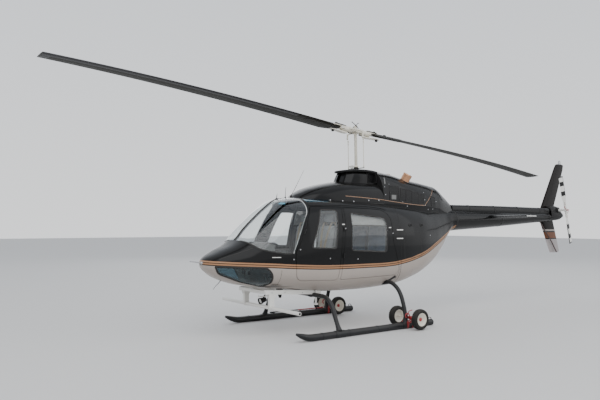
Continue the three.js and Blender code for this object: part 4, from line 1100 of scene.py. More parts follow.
# %% Mast, collar and pitch links
mast = Form()
mast.spun([(-0.735, 0.0235), (-0.60, 0.0235), (-0.595, 0.0255), (-0.075, 0.0255), (-0.07, 0.0285),
           (-0.045, 0.0285), (-0.042, 0.025), (0.052, 0.025), (0.055, 0.021), (0.07, 0.021)], (0, 0, 0),
          (0, 0, 1), 40, MAST_FRAME)
ring(mast, (0, 0, -0.612), (0, 0, 1), 0.0225, 0.040, 0.022, matrix=MAST_FRAME)
mast.spun([(0.054, 0.024), (0.058, 0.027), (0.078, 0.027), (0.082, 0.023), (0.094, 0.015)], (0, 0, 0),
          (0, 0, 1), 12, MAST_FRAME)
mast.spun([(0.0, 0.013), (0.003, 0.016), (0.157, 0.016), (0.160, 0.013)], (0, -0.08, 0), (0, 1, 0), 24,
          MAST_FRAME)
LINK_REACH = 0.192
for side in (1, -1):
    y = LINK_REACH * side
    mast.rod((0, y, -0.600), (0, y, -0.185), 0.0062, 14, matrix=MAST_FRAME)
    for low, high in ((-0.632, -0.585), (-0.215, -0.170)):
        mast.spun([(0, 0.007), (0.004, 0.0098), (0.036, 0.0098), (0.045, 0.0075)], (0, y, low), (0, 0, 1), 6,
                  MAST_FRAME)
    mast.rod((-0.007, y, -0.156), (0.007, y, -0.156), 0.0135, 20, matrix=MAST_FRAME)
mast.piece("rotor_mast_shaft", "cream_enamel", "mast_body", "cream_paint", ("rotor_mast",))

drive = Form()
drive.box((-0.011, -0.200, -0.640), (0.011, 0.200, -0.628), matrix=MAST_FRAME)
folds = [(-0.642, 0.050), (-0.636, 0.052)]
for fold in range(4):
    base = -0.634 + fold * 0.0075
    size = 0.047 - fold * 0.0035
    folds += [(base, size - 0.009), (base + 0.003, size), (base + 0.0055, size - 0.009)]
drive.spun(folds, (0, 0, 0), (0, 0, 1), 32, MAST_FRAME)
drive.piece("mast_bellows", "black_rubber", "mast_body", "cream_paint", angle=50)
lever = Form()
lever.plate([(-0.030, -0.600), (-0.070, -0.574), (-0.130, -0.572), (-0.198, -0.580), (-0.198, -0.602),
             (-0.150, -0.606), (-0.115, -0.640), (-0.085, -0.638), (-0.072, -0.606)], "x", -0.006, 0.006,
            0.002, MAST_FRAME)
for y, z in ((-0.05, -0.590), (-0.100, -0.620), (-0.18, -0.590)):
    lever.rod((-0.012, y, z), (0.012, y, z), 0.006, 12, matrix=MAST_FRAME)
lever.piece("mast_lever", "white_enamel", "mast_body", "cream_paint")

# %% [markdown]
# **Stop arms.** On top of the mast nut two black arms cross like scissors. They keep the head from
# flapping hard while the rotor runs slowly.

# %% Stop arms on the mast nut
arms = Form()
for side in (1, -1):
    arms.tube([(-0.040 * side, 0.033 * side, 0.044), (0.0, 0.033 * side, 0.084),
               (0.045 * side, 0.030 * side, 0.113), (0.088 * side, 0.026 * side, 0.142)],
              [0.006, 0.009, 0.008, 0.0065], 8, matrix=MAST_FRAME, squeeze=0.7)
    arms.rod((0.078 * side, 0.026 * side, 0.146), (0.104 * side, 0.026 * side, 0.146), 0.006, 10,
             matrix=MAST_FRAME)
arms.rod((0, -0.042, 0.084), (0, 0.042, 0.084), 0.007, 12, matrix=MAST_FRAME)
arms.piece("mast_stop_arms", "satin_black", "mast_body", "cream_paint")

# %% [markdown]
# **Head.** A forged steel yoke carries a grip on each side. Each grip is a thick barrel that ends in
# a fork; the blade root sits in the fork, held by one bolt, and a long curved strap reaches out under
# the blade. The pitch horn sticks out sideways from the barrel and its end hangs over the pitch link.

# %% Yoke, pillow blocks, grips and horns
head = Form()
ring(head, (0, 0, -0.021), (0, 0, 1), 0.050, 0.088, 0.042, 48, 0.004, HEAD_FRAME)
for turn in (Matrix(), HALF_TURN):
    placed = HEAD_FRAME @ turn
    head.plate([(0.070, -0.058), (0.10, -0.044), (0.15, -0.040), (0.36, -0.040), (0.36, 0.040), (0.15, 0.040),
                (0.10, 0.044), (0.070, 0.058)], "z", -0.018, 0.018, 0.004, placed)
    head.spun([(0.112, 0.044), (0.116, 0.053), (0.150, 0.054), (0.156, 0.048), (0.255, 0.046), (0.262, 0.053),
               (0.300, 0.053), (0.308, 0.044)], (0, 0, 0), (1, 0, 0), 40, placed)
    head.plate([(0.29, -0.042), (0.36, -0.050), (0.47, -0.052), (0.515, -0.030), (0.522, 0), (0.515, 0.030),
                (0.47, 0.052), (0.36, 0.050), (0.29, 0.042)], "z", 0.0215, 0.034, 0.004, placed)
    strap = [(0.20, -0.058, 0.018), (0.28, -0.060, 0.018), (0.38, -0.055, 0.014), (0.47, -0.052, 0.012),
             (0.53, -0.056, 0.010), (0.555, -0.050, 0.007)]
    width = [0.044, 0.052, 0.054, 0.050, 0.034, 0.014]
    head.rings([[(x, -w, z - t), (x, w, z - t), (x, w * 0.96, z), (x, -w * 0.96, z)]
                for (x, z, t), w in zip(strap, width)], placed)
    for side in (1, -1):
        head.spun([(0, 0.022), (0.004, 0.026), (0.012, 0.026), (0.016, 0.016), (0.022, 0.016)],
                  (0.285, 0.048 * side, 0), (0, side, 0), 20, placed)
    horn = [(0.150, 0.040, 0.004), (0.130, 0.085, 0.002), (0.085, 0.135, -0.006), (0.035, 0.175, -0.018),
            (0.0, 0.194, -0.040)]
    head.tube(horn, [0.026, 0.022, 0.019, 0.017, 0.016], 14, 20, placed, 0.7)
    head.tube([(0.0, 0.194, -0.035), (0.0, 0.194, -0.085), (0.0, 0.193, -0.118)], [0.017, 0.013, 0.011], 14,
              10, placed)
    head.rod((-0.013, 0.192, -0.118), (0.013, 0.192, -0.118), 0.012, 18, matrix=placed)
    ring(head, (0, 0.052, 0), (0, 1, 0), 0.0172, 0.034, 0.033, 32, 0.003, placed)
    head.box((-0.046, 0.056, -0.030), (-0.026, 0.082, 0.022), 0.003, placed)
    head.box((0.026, 0.056, -0.030), (0.046, 0.082, 0.022), 0.003, placed)
head.piece("rotor_head_yoke", "cream_enamel", "rotor_body", "cream_paint", ("rotor_head",), angle=30)

# %% Dark fittings of the head
bolts = Form()
for turn in (Matrix(), HALF_TURN):
    placed = HEAD_FRAME @ turn
    bolts.spun([(0, 0.013), (0.003, 0.022), (0.030, 0.024), (0.034, 0.018)], (0.495, 0, -0.096), (0, 0, 1), 8,
               placed)
    bolts.plate([(0.235, -0.030), (0.30, -0.048), (0.40, -0.056), (0.455, -0.050), (0.47, 0), (0.455, 0.050),
                 (0.40, 0.056), (0.30, 0.048), (0.235, 0.030)], "z", 0.040, 0.050, 0.003, placed)
    bolts.rod((0.30, 0, 0.030), (0.30, 0, 0.060), 0.020, 16, matrix=placed)
    bolts.rod((0.43, 0, 0.030), (0.43, 0, 0.068), 0.024, 16, matrix=placed)
    for y in (0.061, 0.077):
        bolts.bolts([(0.036, y, 0.022), (-0.036, y, 0.022)], (0, 0, 1), 0.006, 0.006, placed)
    bolts.rod((0.285, -0.058, 0.0), (0.560, -0.118, 0.010), 0.0075, 12, matrix=placed)
    bolts.box((0.540, -0.138, -0.012), (0.590, -0.108, 0.024), 0.004, placed)
    bolts.rod((0.08, 0.0, -0.050), (0.16, 0.0, -0.052), 0.010, 12, matrix=placed)
bolts.piece("rotor_head_fittings", "satin_black", "rotor_body", "cream_paint")
blade_pins = Form()
for turn in (Matrix(), HALF_TURN):
    placed = HEAD_FRAME @ turn
    ring(blade_pins, (0.43, 0, 0.066), (0, 0, 1), 0.010, 0.020, 0.012, 24, 0.002, placed)
    for side in (1, -1):
        ring(blade_pins, (0.33, 0.049 * side, 0.0), (0, side, 0), 0.007, 0.018, 0.014, 24, 0.002, placed)
blade_pins.piece("rotor_head_pins", "white_enamel", "rotor_body", "cream_paint")

# %% [markdown]
# **Blades.** An extruded aluminium blade with a symmetrical section: a blunt nose, then a long taper.
# It hangs behind the blade axis, twists from root to tip, and at rest its own weight bends it down.
# Near the root layered doublers spread the load. A steel strip guards the leading edge. So a blade
# point is worked out flat first, as distance out, distance ahead and height, and then bent.

# %% Blades
CHORD, THICK = 0.330, 0.038
BLADE_ROOT, BLADE_TIP = 0.318, 5.080
LEAD, TRAIL = 0.073, 0.257
ROOT_EDGES = [(0.318, 0.030, 0.060), (0.36, 0.032, 0.150), (0.42, 0.036, 0.190), (0.58, 0.050, TRAIL),
              (0.95, LEAD, TRAIL)]
TWIST, TWIST_LEVEL = math.radians(-2.124), 3.0
CONE, DROOP, BEND = math.radians(1.38), 0.1466, 2.5
BLADES = {"fore": (Matrix(), math.radians(1.59)), "aft": (HALF_TURN, math.radians(5.51))}


def bent(r, y, z, pitch):
    """A flat blade point with its pitch, twist, coning and droop, in the head's frame."""
    turn = pitch + TWIST * (r - TWIST_LEVEL)
    rise = r * math.tan(CONE) - DROOP * (r / BLADE_TIP) ** BEND
    return (r, y * math.cos(turn) - z * math.sin(turn), y * math.sin(turn) + z * math.cos(turn) + rise)


def edges_at(r):
    """How far the leading and the trailing edge lie from the blade axis."""
    places, lead, trail = zip(*ROOT_EDGES)
    return np.interp(r, places, lead), np.interp(r, places, trail)


def blade_section(start, end, count=14, grow=0.0, chord=CHORD, thick=THICK):
    """Points round the section between two shares of the chord, from the nose back and round."""
    share = start + (end - start) * (1 - np.cos(np.linspace(0, math.pi, count))) / 2
    half = thick / 2 * (2.969 * np.sqrt(share) - 1.26 * share - 3.516 * share ** 2 + 2.843 * share ** 3
                        - 1.016 * share ** 4) + 0.0006 + grow
    y = chord * (0.5 - share) + (grow if start == 0 else 0) * (share == 0)
    top = [(yy, hh) for yy, hh in zip(y, half)]
    return top[::-1] + [(yy, -hh) for yy, hh in top[(1 if start == 0 else 0):]]


def blade_rings(stations, start, end, grow, pitch, shrink=None):
    """Bent sections at each station; shrink gives a smaller share of the size at the last ones."""
    rings = []
    for number, r in enumerate(stations):
        lead, trail = edges_at(r)
        size = shrink[number] if shrink else 1.0
        middle = (lead - trail) / 2
        section = blade_section(start, end, grow=grow, chord=lead + trail)
        rings.append([bent(r, middle + y * size, z * size, pitch) for y, z in section])
    return rings


def doubler(form, outline, low, high, pitch, matrix):
    """A thin flat layer laid on the root, bent with the blade."""
    rings = [[bent(r, y, z, pitch) for r, y in outline] for z in (low, high)]
    return form.rings(rings, matrix)


for word, (turn, pitch) in BLADES.items():
    placed = HEAD_FRAME @ turn
    blade = Form()
    spans = [*(BLADE_ROOT + np.linspace(0, 1, 14) ** 1.3 * 0.64), *np.linspace(1.2, BLADE_TIP - 0.02, 16),
             BLADE_TIP - 0.004, BLADE_TIP]
    blade.rings(blade_rings(spans, 0.0, 1.0, 0.0, pitch, [1.0] * 30 + [0.985, 0.93]), placed)
    for layer, (reach, depth) in enumerate(((1.10, 0.0022), (0.92, 0.0040), (0.74, 0.0058))):
        for level in (1, -1):
            outline = [(0.37, 0.028), (0.37, -0.085), (0.50, -0.125 + layer * 0.012),
                       (reach - 0.12, -0.12 + layer * 0.014), (reach, -0.03),
                       (reach - 0.10, 0.034 - layer * 0.006)]
            low, high = sorted((0.010 * level, (0.0200 + depth) * level))
            doubler(blade, outline, low, high, pitch, placed)
    blade.piece(f"main_blade_{word}_skin", "blade_paint", "rotor_body", "blade_paint",
                (f"main_blade_{word}",), angle=28)
    strip = Form()
    strip.rings(blade_rings(np.linspace(1.25, BLADE_TIP - 0.002, 20), 0.0, 0.20, 0.0007, pitch), placed)
    strip.piece(f"main_blade_{word}_strip", "dark_steel", "rotor_body", "blade_paint", angle=28)
    tip = Form()
    tip.rings(blade_rings([BLADE_TIP - 0.10, BLADE_TIP - 0.05, BLADE_TIP - 0.001], 0.0, 0.97, 0.0005, pitch),
              placed)
    tip.bolts([bent(BLADE_TIP - 0.05, y, 0.0155, pitch) for y in (0.02, -0.04)], (0, 0, 1), 0.006, 0.003,
              placed)
    tip.piece(f"main_blade_{word}_tip", "satin_black", "rotor_body", "blade_paint", angle=28)
print("rotor pieces done")

# %% [markdown]
# ## Tail rotor
#
# A smaller two-blade rotor on the port side of the boom, also on a hub that can tilt. The blades are
# white with black bands, so that people on the ground see them turn. Their pitch is set, so the upper
# blade shows its flat and the lower one its edge.

# %% Tail rotor
TAIL_HUB_X, TAIL_HUB_Y, TAIL_HUB_Z = station(-5958), 0.278, 1.951
TAIL_PARKED = math.radians(14.3)
TAIL_FRAME = Matrix.Translation((TAIL_HUB_X, TAIL_HUB_Y, TAIL_HUB_Z)) @ Matrix.Rotation(TAIL_PARKED, 4, "Y")
TAIL_RADIUS, TAIL_CHORD, TAIL_THICK = 0.758, 0.133, 0.016
TAIL_BANDS = [(0.30, "white_enamel"), (0.325, "white_enamel"), (0.425, "satin_black"),
              (0.545, "white_enamel"), (0.640, "satin_black"), (0.735, "white_enamel"),
              (TAIL_RADIUS, "satin_black")]


def tail_ring(r):
    """The blade's section at a radius: narrow at the grip, then full chord, with set pitch."""
    scale = min(1.0, 0.42 + 0.58 * max(0.0, r - 0.12) / 0.17)
    pitch = math.radians(-12 + 4 * r / TAIL_RADIUS)
    ring_points = []
    for y, z in blade_section(0.0, 1.0, 10, 0.0, TAIL_CHORD * scale, TAIL_THICK * (0.75 + 0.25 * scale)):
        ring_points.append((-y * math.cos(pitch) - z * math.sin(pitch),
                            -y * math.sin(pitch) + z * math.cos(pitch), r))
    return ring_points


blades = {"white_enamel": Form(), "satin_black": Form()}
for turn in (Matrix(), Matrix.Rotation(math.pi, 4, "Y")):
    placed = TAIL_FRAME @ turn
    inner = 0.105
    for outer, finish in TAIL_BANDS:
        count = 8 if outer <= 0.30 else 2
        blades[finish].rings([tail_ring(r) for r in np.linspace(inner, outer, count)], placed)
        inner = outer
    strip = [tail_ring(r) for r in np.linspace(0.30, TAIL_RADIUS - 0.01, 4)]
    nose = [[ring_points[k] for k in (7, 8, 9, 10, 11)] for ring_points in strip]
    grown = []
    for points in nose:
        middle = Vector(points[2])
        grown.append([tuple(Vector(p) + Vector((-0.0012, 0.0,
                                                0.0)) + (Vector(p) - middle) * 0.12) for p in points])
    blades["satin_black"].rings(grown, placed)
hub = blades["white_enamel"]
ring(hub, (0, -0.030, 0), (0, 1, 0), 0.019, 0.034, 0.060, 28, 0.003, TAIL_FRAME)
for turn in (Matrix(), Matrix.Rotation(math.pi, 4, "Y")):
    placed = TAIL_FRAME @ turn
    hub.spun([(0.030, 0.022), (0.034, 0.027), (0.085, 0.025), (0.090, 0.020), (0.125, 0.018)], (0, 0, 0),
             (0, 0, 1), 20, placed)
    for low, high in ((0.0095, 0.0145), (-0.0145, -0.0095)):
        hub.plate([(-0.018, 0.075), (0.018, 0.075), (0.026, 0.12), (0.020, 0.175), (0.0, 0.19),
                   (-0.020, 0.175), (-0.026, 0.12)], "y", low, high, 0.0015, placed)
hub.spun([(0.0, 0.016), (0.03, 0.017), (0.068, 0.017), (0.072, 0.012)], (0, -0.035, 0), (0, 1, 0), 20,
         TAIL_FRAME)
blades["white_enamel"].piece("tail_rotor_blades", "white_enamel", "tail_rotor_body", "white_paint",
                             ("tail_rotor",), angle=30)
blades["satin_black"].piece("tail_rotor_bands", "satin_black", "tail_rotor_body", "white_paint", angle=30)
links = Form()
for turn in (Matrix(), Matrix.Rotation(math.pi, 4, "Y")):
    placed = TAIL_FRAME @ turn
    links.bolts([(0, 0.0145, 0.12), (0, 0.0145, 0.16)], (0, 1, 0), 0.006, 0.006, placed)
    links.rod((0.052, 0.008, 0.075), (0.040, 0.050, 0.010), 0.004, 10, matrix=placed)
    links.tube([(0.018, 0.006, 0.082), (0.040, 0.008, 0.080), (0.056, 0.008, 0.076)], 0.007, 10, 6, placed)
links.rod((-0.048, 0.050, 0), (0.048, 0.050, 0), 0.006, 12, matrix=TAIL_FRAME)
links.rod((0, 0.037, 0), (0, 0.058, 0), 0.013, 16, matrix=TAIL_FRAME)
links.piece("tail_rotor_links", "red_enamel", "tail_rotor_body", "white_paint")
print("tail rotor done")

# %% [markdown]
# ## Tail
#
# The fin is one swept sheet metal surface on the starboard side, above and below the boom. Its lower
# half carries the livery's bands in short: light line, tan, light grey. The stabiliser goes through
# the boom as one wing. The output shaft is a white tube from the gearbox to the tail rotor.

# %% Fin colours
FIN_BANDS = [(1.519, (0.33, 0.30, 0.28)), (1.480, (0.012, 0.010, 0.010)), (1.455, (0.155, 0.068, 0.040)),
             (1.321, (0.012, 0.010, 0.010)), (1.299, (0.36, 0.33, 0.325))]


def fin_color(tree):
    height = add_node(tree, "ShaderNodeSeparateXYZ")
    tree.links.new(add_node(tree, "ShaderNodeTexCoord").outputs["Object"], height.inputs[0])
    color = add_node(tree, "ShaderNodeRGB").outputs[0]
    color.default_value = (0.0075, 0.0055, 0.0050, 1)
    for top, value in FIN_BANDS:
        below = arithmetic(tree, "LESS_THAN", height.outputs["Z"], top)
        color = mixed(tree, below, color, value)
    return color


FINISH["fin_lacquer"] = new_material("fin_lacquer", BLACK, 0.24, dust=0.01, variation=0.04, bump=0.008,
                                     coat=0.06, specular=0.08, source=fin_color)

# %% Fin, stabiliser and gearbox
FIN_ROWS = [(3.024, 6.500, 6.275, 0.010), (3.005, 6.544, 6.212, 0.024), (2.90, 6.519, 6.139, 0.034),
            (2.40, 6.294, 5.838, 0.040), (1.92, 6.077, 5.549, 0.044), (1.85, 6.046, 5.512, 0.044),
            (1.82, 6.047, 5.512, 0.044), (1.55, 6.143, 5.653, 0.040), (1.20, 6.265, 5.837, 0.034),
            (1.03, 6.320, 5.927, 0.026), (0.995, 6.300, 5.952, 0.012)]
fin = Form()
rows = sorted(FIN_ROWS, key=lambda row: row[0])
FIN_MIDDLE = -0.119
fin_rings = []
for height, trailing, leading, thick in rows:
    chord = trailing - leading
    section = blade_section(0.0, 1.0, 12, 0.0, chord, thick)
    middle = station(-1000 * (trailing + leading) / 2)
    fin_rings.append([(middle + y, FIN_MIDDLE + z, height) for y, z in section])
fin.rings(fin_rings)
fin.piece("fin_skin", "fin_lacquer", replaces=("fin",), angle=30)

tailplane = Form()
span_rows = [(-0.985, 0.93), (-0.980, 0.98), (-0.965, 1.0), (0.965, 1.0), (0.980, 0.98), (0.985, 0.93)]
tail_rings = []
for y, scale in span_rows:
    tail_rings.append([(station(-3572) + a * 1.03 * scale, y, 1.790 + b * scale)
                       for a, b in blade_section(0.0, 1.0, 14, 0.0, 0.334, 0.043)])
tailplane.rings(tail_rings)
tailplane.piece("stabiliser_skin", "black_lacquer", replaces=("stabiliser",), angle=30)
shaft = Form()
shaft.spun([(0.0, 0.034), (0.030, 0.033), (0.046, 0.027), (0.120, 0.0235), (0.138, 0.0235), (0.144, 0.018),
            (0.150, 0.018)], (TAIL_HUB_X, 0.085, TAIL_HUB_Z),
           (0, 1, 0), 24)
shaft.piece("tail_output_shaft", "white_enamel")
skid_line = [(station(x), y / 1000, z / 1000) for x, y,
             z in ((-5420, -50, 1740), (-5560, -56, 1610), (-5711, -60, 1460), (-5905, -60, 1271),
                   (-6125, -60, 1005))]
tail_skid = Form()
tail_skid.tube(skid_line, 0.012, 16, 40)
tail_skid.piece("tail_skid_tube", "brown_enamel", slot="gear_paint", replaces=("tail_skid",))
print("tail done")

# %% [markdown]
# ## Upper works
#
# Above the cabin roof stand the cowls over gearbox and engine. Their lines are drawn in side view and
# laid on the skins: a strip follows a line of spots, a patch fills a four-cornered field.


# %% Strips and patches on a skin
def line_on(skin, places, count):
    """A smooth side view line, in millimetres, as (station, angle) spots on a skin."""
    line = smooth_line([(x, 0, z) for x, z in places], count) / 1000
    x = line[:, 0] + MAST_STATION
    return np.stack([x, skin.angle_of_height(x, line[:, 2])], axis=1)


def skin_strip(form, skin, spots, side, width, low, high):
    """A flat strip laid along spots of a skin, from low to high above it."""
    base = skin.lifted(spots[:, 0], spots[:, 1], side)
    normals = skin.lifted(spots[:, 0], spots[:, 1], side, 1.0) - base
    across = np.cross(normals, np.gradient(base, axis=0))
    across *= width / 2 / np.linalg.norm(across, axis=1)[:, None]
    section = ((1, low), (1, high - (high - low) * 0.3), (0.8, high), (-0.8, high),
               (-1, high - (high - low) * 0.3), (-1, low))
    form.rings([[p + a * share + n * lift for share, lift in section] for p, a,
                n in zip(base, across, normals)])


def skin_patch(form, skin, corners, side, low, high, count=(8, 6)):
    """A thin plate that follows a skin, from its four side view corners in millimetres."""
    a, b, c, d = (np.array(corner, float) / 1000 for corner in corners)
    u, v = (grid.ravel()[:, None] for grid in np.meshgrid(np.linspace(0, 1, count[0]),
                                                          np.linspace(0, 1, count[1]), indexing="ij"))
    flat = (a * (1 - u) + b * u) * (1 - v) + (d * (1 - u) + c * u) * v
    x = flat[:, 0] + MAST_STATION
    angle = skin.angle_of_height(x, flat[:, 1])
    size, total = count[1], len(x)
    quads = [(i * size + j, (i + 1) * size + j, (i + 1) * size + j + 1, i * size + j + 1)
             for i in range(count[0] - 1) for j in range(size - 1)]
    sides_of = {(p, q) for quad in quads for p, q in zip(quad, quad[1:] + quad[:1])}
    walls = [(q, p, p + total, q + total) for p, q in sides_of if (q, p) not in sides_of]
    form.add([*skin.lifted(x, angle, side, high), *skin.lifted(x, angle, side, low)],
             [*quads, *[tuple(k + total for k in reversed(quad)) for quad in quads], *walls])


def field(x, z, half, rise):
    """The side view corners of an upright rectangle, from its middle and half sizes."""
    return [(x - half, z + rise), (x + half, z + rise), (x + half, z - rise), (x - half, z - rise)]


def frame_on(form, skin, corners, side, width, low, high):
    """Four strips round a field, one along each side."""
    for start, end in zip(corners, corners[1:] + corners[:1]):
        skin_strip(form, skin, line_on(skin, [start, end], 8), side, width, low, high)


# %% [markdown]
# **Mast fairing.** A pylon with a flat cap plate stands round the mast. On each side a big mouth,
# rounded at the back, feeds air to the engine. So its side skin is left open there, and behind it
# lies a box with a wire screen. The cap plate is a flat panel with a rounded nose. The roof under it
# stays open round the mast, which turns in a round hole of the plate.

# %% Mast fairing, inlets and cap plate
FAIRING_LENGTHS = [(-258, -240, None, True), (-240, -30, (2304, 2480), False), (-30, 120, None, False),
                   (120, 409, None, True)]
FAIRING_FOOT, FAIRING_RAKE, RAKED_LENGTH = 2.300, 0.45, 0.41


def raked(part):
    """Leans the fairing's front back towards its top; the normals turn with it."""
    points, faces, normals = part
    points, normals = np.array(points, float), np.array(normals, float)

    def lean(spots):
        share = np.clip((spots[:, 0] - station(0)) / RAKED_LENGTH, 0, 1)
        bend, slope = share ** 2 * (3 - 2 * share), 6 * share * (1 - share) / RAKED_LENGTH
        return bend, slope, np.maximum(spots[:, 2] - FAIRING_FOOT, 0)

    weight, slope, rise = lean(points[[index for face in faces for index in face]])
    stretch, shear = 1 - FAIRING_RAKE * rise * slope, -FAIRING_RAKE * weight * (rise > 0)
    normals[:, 2] -= shear / stretch * normals[:, 0]
    normals[:, 0] /= stretch
    normals /= np.linalg.norm(normals, axis=1)[:, None]
    weight, slope, rise = lean(points)
    points[:, 0] -= FAIRING_RAKE * rise * weight
    return points, faces, normals


ROOF_EDGE = float(MAST_FAIRING.angle_of_width(station(0), 0.095)[0])
parts = []
for back, front, mouth, roofed in FAIRING_LENGTHS:
    stations = np.linspace(station(back), station(front), 24)
    top = math.pi / 2 if roofed else ROOF_EDGE
    bands = [(-0.9, top, 36)]
    if mouth:
        low, high = (float(MAST_FAIRING.angle_of_height(station(-100), z / 1000)[0]) for z in mouth)
        bands = [(-0.9, low, 12), (high, top, 12)]
    for side in (1, -1):
        for first, last, count in bands:
            parts.append(raked(grid_part(MAST_FAIRING, stations, np.linspace(first, last, count), 0.006,
                                         side)))
skin_piece(parts, "mast_fairing_skin", "black_lacquer", replaces=("mast_fairing",))

cap = Form()
cap_outline = filled_in(rounded([(-258, -275, 10), (60, -275, 70), (300, -215, 90), (448, 0, 120),
                                 (300, 215, 90), (60, 275, 70), (-258, 275, 10)]), 24)
cap_middle = np.array([30.0, 0.0])
MAST_HOLE = 68
mast_circle = cap_outline / np.linalg.norm(cap_outline, axis=1)[:, None] * MAST_HOLE
cap_levels = [(2494, 0.965), (2499, 0.99), (2512, 1.0), (2526, 0.995), (2534, 0.975), (2537.5, 0.90),
              (2538, 0.6)]
hole_levels = [(2538, 1.10), (2534, 1.0), (2497, 1.0)]
levels = [(z, cap_middle + (cap_outline - cap_middle) * size) for z, size in cap_levels]
levels += [(z, mast_circle * size) for z, size in hole_levels]


def sag(x):
    """How far the plate curves down towards its back edge and its nose, in millimetres."""
    return 6 + 24 * max(0, -x / 258) ** 2 + 32 * max(0, (x - 150) / 298) ** 2


cap.rings([[(station(x), y / 1000, (z - sag(x)) / 1000) for x, y in outline] for z, outline in levels],
          caps=False)
cap.piece("cap_plate", "black_lacquer", angle=50)

inlets = Form()
screens = Form()
lips = Form()
for side in (1, -1):
    near, far = sorted((0.10 * side, 0.255 * side))
    for x in (-244, -32):
        inlets.box((station(x), near, 2.296), (station(x) + 0.004, far, 2.484))
    for z in (2.296, 2.480):
        inlets.box((station(-244), near, z), (station(-28), far, z + 0.004))
    near, far = sorted((0.10 * side, 0.106 * side))
    inlets.box((station(-244), near, 2.296), (station(-28), far, 2.484))
    for k in range(15):
        x = station(-236 + 14.2 * k)
        screens.rod((x, 0.205 * side, 2.310), (x, 0.205 * side, 2.480), 0.0016, 6)
    for k in range(12):
        z = 2.322 + 0.0135 * k
        screens.rod((station(-240), 0.2075 * side, z), (station(-32), 0.2075 * side, z), 0.0016, 6)
    mouth = [(-36, 2312), (-36, 2474), (-205, 2474), (-230, 2445), (-236, 2400), (-236, 2330), (-222, 2312)]
    loop = filled_in(rounded([(x, z, 14) for x, z in mouth]), 12)
    angles = MAST_FAIRING.angle_of_height(loop[:, 0] / 1000 + MAST_STATION, loop[:, 1] / 1000)
    lip_line = MAST_FAIRING.lifted(loop[:, 0] / 1000 + MAST_STATION, angles, side, 0.002)
    lips.rings([[centre + np.array([0.004 * math.cos(a) * (1 if abs(t[0]) < 0.5 else 0),
                                    0.006 * math.sin(a) * side,
                                    0.004 * math.cos(a) * (1 if abs(t[0]) >= 0.5 else 0)])
                 for a in circle_angles(8)]
                for centre, t in zip(lip_line, np.gradient(lip_line, axis=0) / 0.012)], closed=True)
    for z, up in ((2.312, 1), (2.474, -1)):
        lips.plate(on_stations([(-239, z - 0.006 * up), (-206, z - 0.006 * up), (-222, z + 0.008 * up),
                                (-239, z + 0.034 * up)]), "y", *sorted((0.236 * side, 0.254 * side)), 0.002)
# The inlet boxes are near black: painted shade for the dark inside of each mouth.
inlets.piece("air_inlets", "shade_and_dial_black")
screens.piece("inlet_screens", "dark_steel")
lips.piece("inlet_lips", "satin_black", angle=60)

# %% [markdown]
# The engine cowl begins with an upright firewall behind the fairing. Without it one could look in
# under the cowl, which is only a sheet.

# %% Firewall and cowl seams
wall = Form()
wall_x = station(-260)
angles = np.linspace(0.0, math.pi, 49)
wall_ring = ENGINE_COWL.point(np.full(49, wall_x), angles)
WALL_MIDDLE = 1.95
wall.rings([[(wall_x + shift, y * size, WALL_MIDDLE + (z - WALL_MIDDLE) * size) for _, y, z in wall_ring]
            for shift, size in ((-0.003, 0.995), (0.003, 0.992), (0.003 + 0.0015, 0.975))])
wall.piece("engine_firewall", "satin_black", angle=40)

seams = Form()
fasteners = Form()
for side in (1, -1):
    for x in (-262, -400, -1350, -1810):
        spots = np.stack([np.full(24, station(x)), np.linspace(0.02, math.pi / 2, 24)], axis=1)
        skin_strip(seams, ENGINE_COWL, spots, side, 0.005, -0.001, 0.0009)
    for skin, places in ((DECK_COWL, [(-255, 1962), (574, 1962), (1100, 1975), (1335, 2010)]),
                         (ENGINE_COWL, [(-262, 1925), (-600, 1872), (-1000, 1847), (-1800, 1842)])):
        skin_strip(seams, skin, line_on(skin, places, 30), side, 0.012, -0.002, 0.003)
    for x, z in ((399, 1989), (82, 2013), (-140, 2020), (620, 1992), (850, 2000)):
        spot = DECK_COWL.on_side(station(x), z / 1000, side, 0.0)[0]
        fasteners.spun([(0, 0.011), (0.002, 0.010), (0.003, 0.006)], spot,
                       spot - Vector((station(x), 0, 1.9)), 14)
    for x, z in ((-709, 2007), (-833, 1936), (-1437, 1891), (-420, 2300), (-420, 2170), (-420, 2040),
                 (-1330, 2190), (-1330, 2060), (-1330, 1960), (-300, 2250), (-300, 2120), (-1700, 2040),
                 (-1580, 1900)):
        spot = ENGINE_COWL.on_side(station(x), z / 1000, side, 0.0)[0]
        fasteners.spun([(0, 0.009), (0.0018, 0.008), (0.0026, 0.005)], spot,
                       spot - Vector((station(x), 0, 1.95)), 14)
seams.piece("cowl_seams", "black_rubber")
fasteners.piece("cowl_fasteners", "bare_steel")
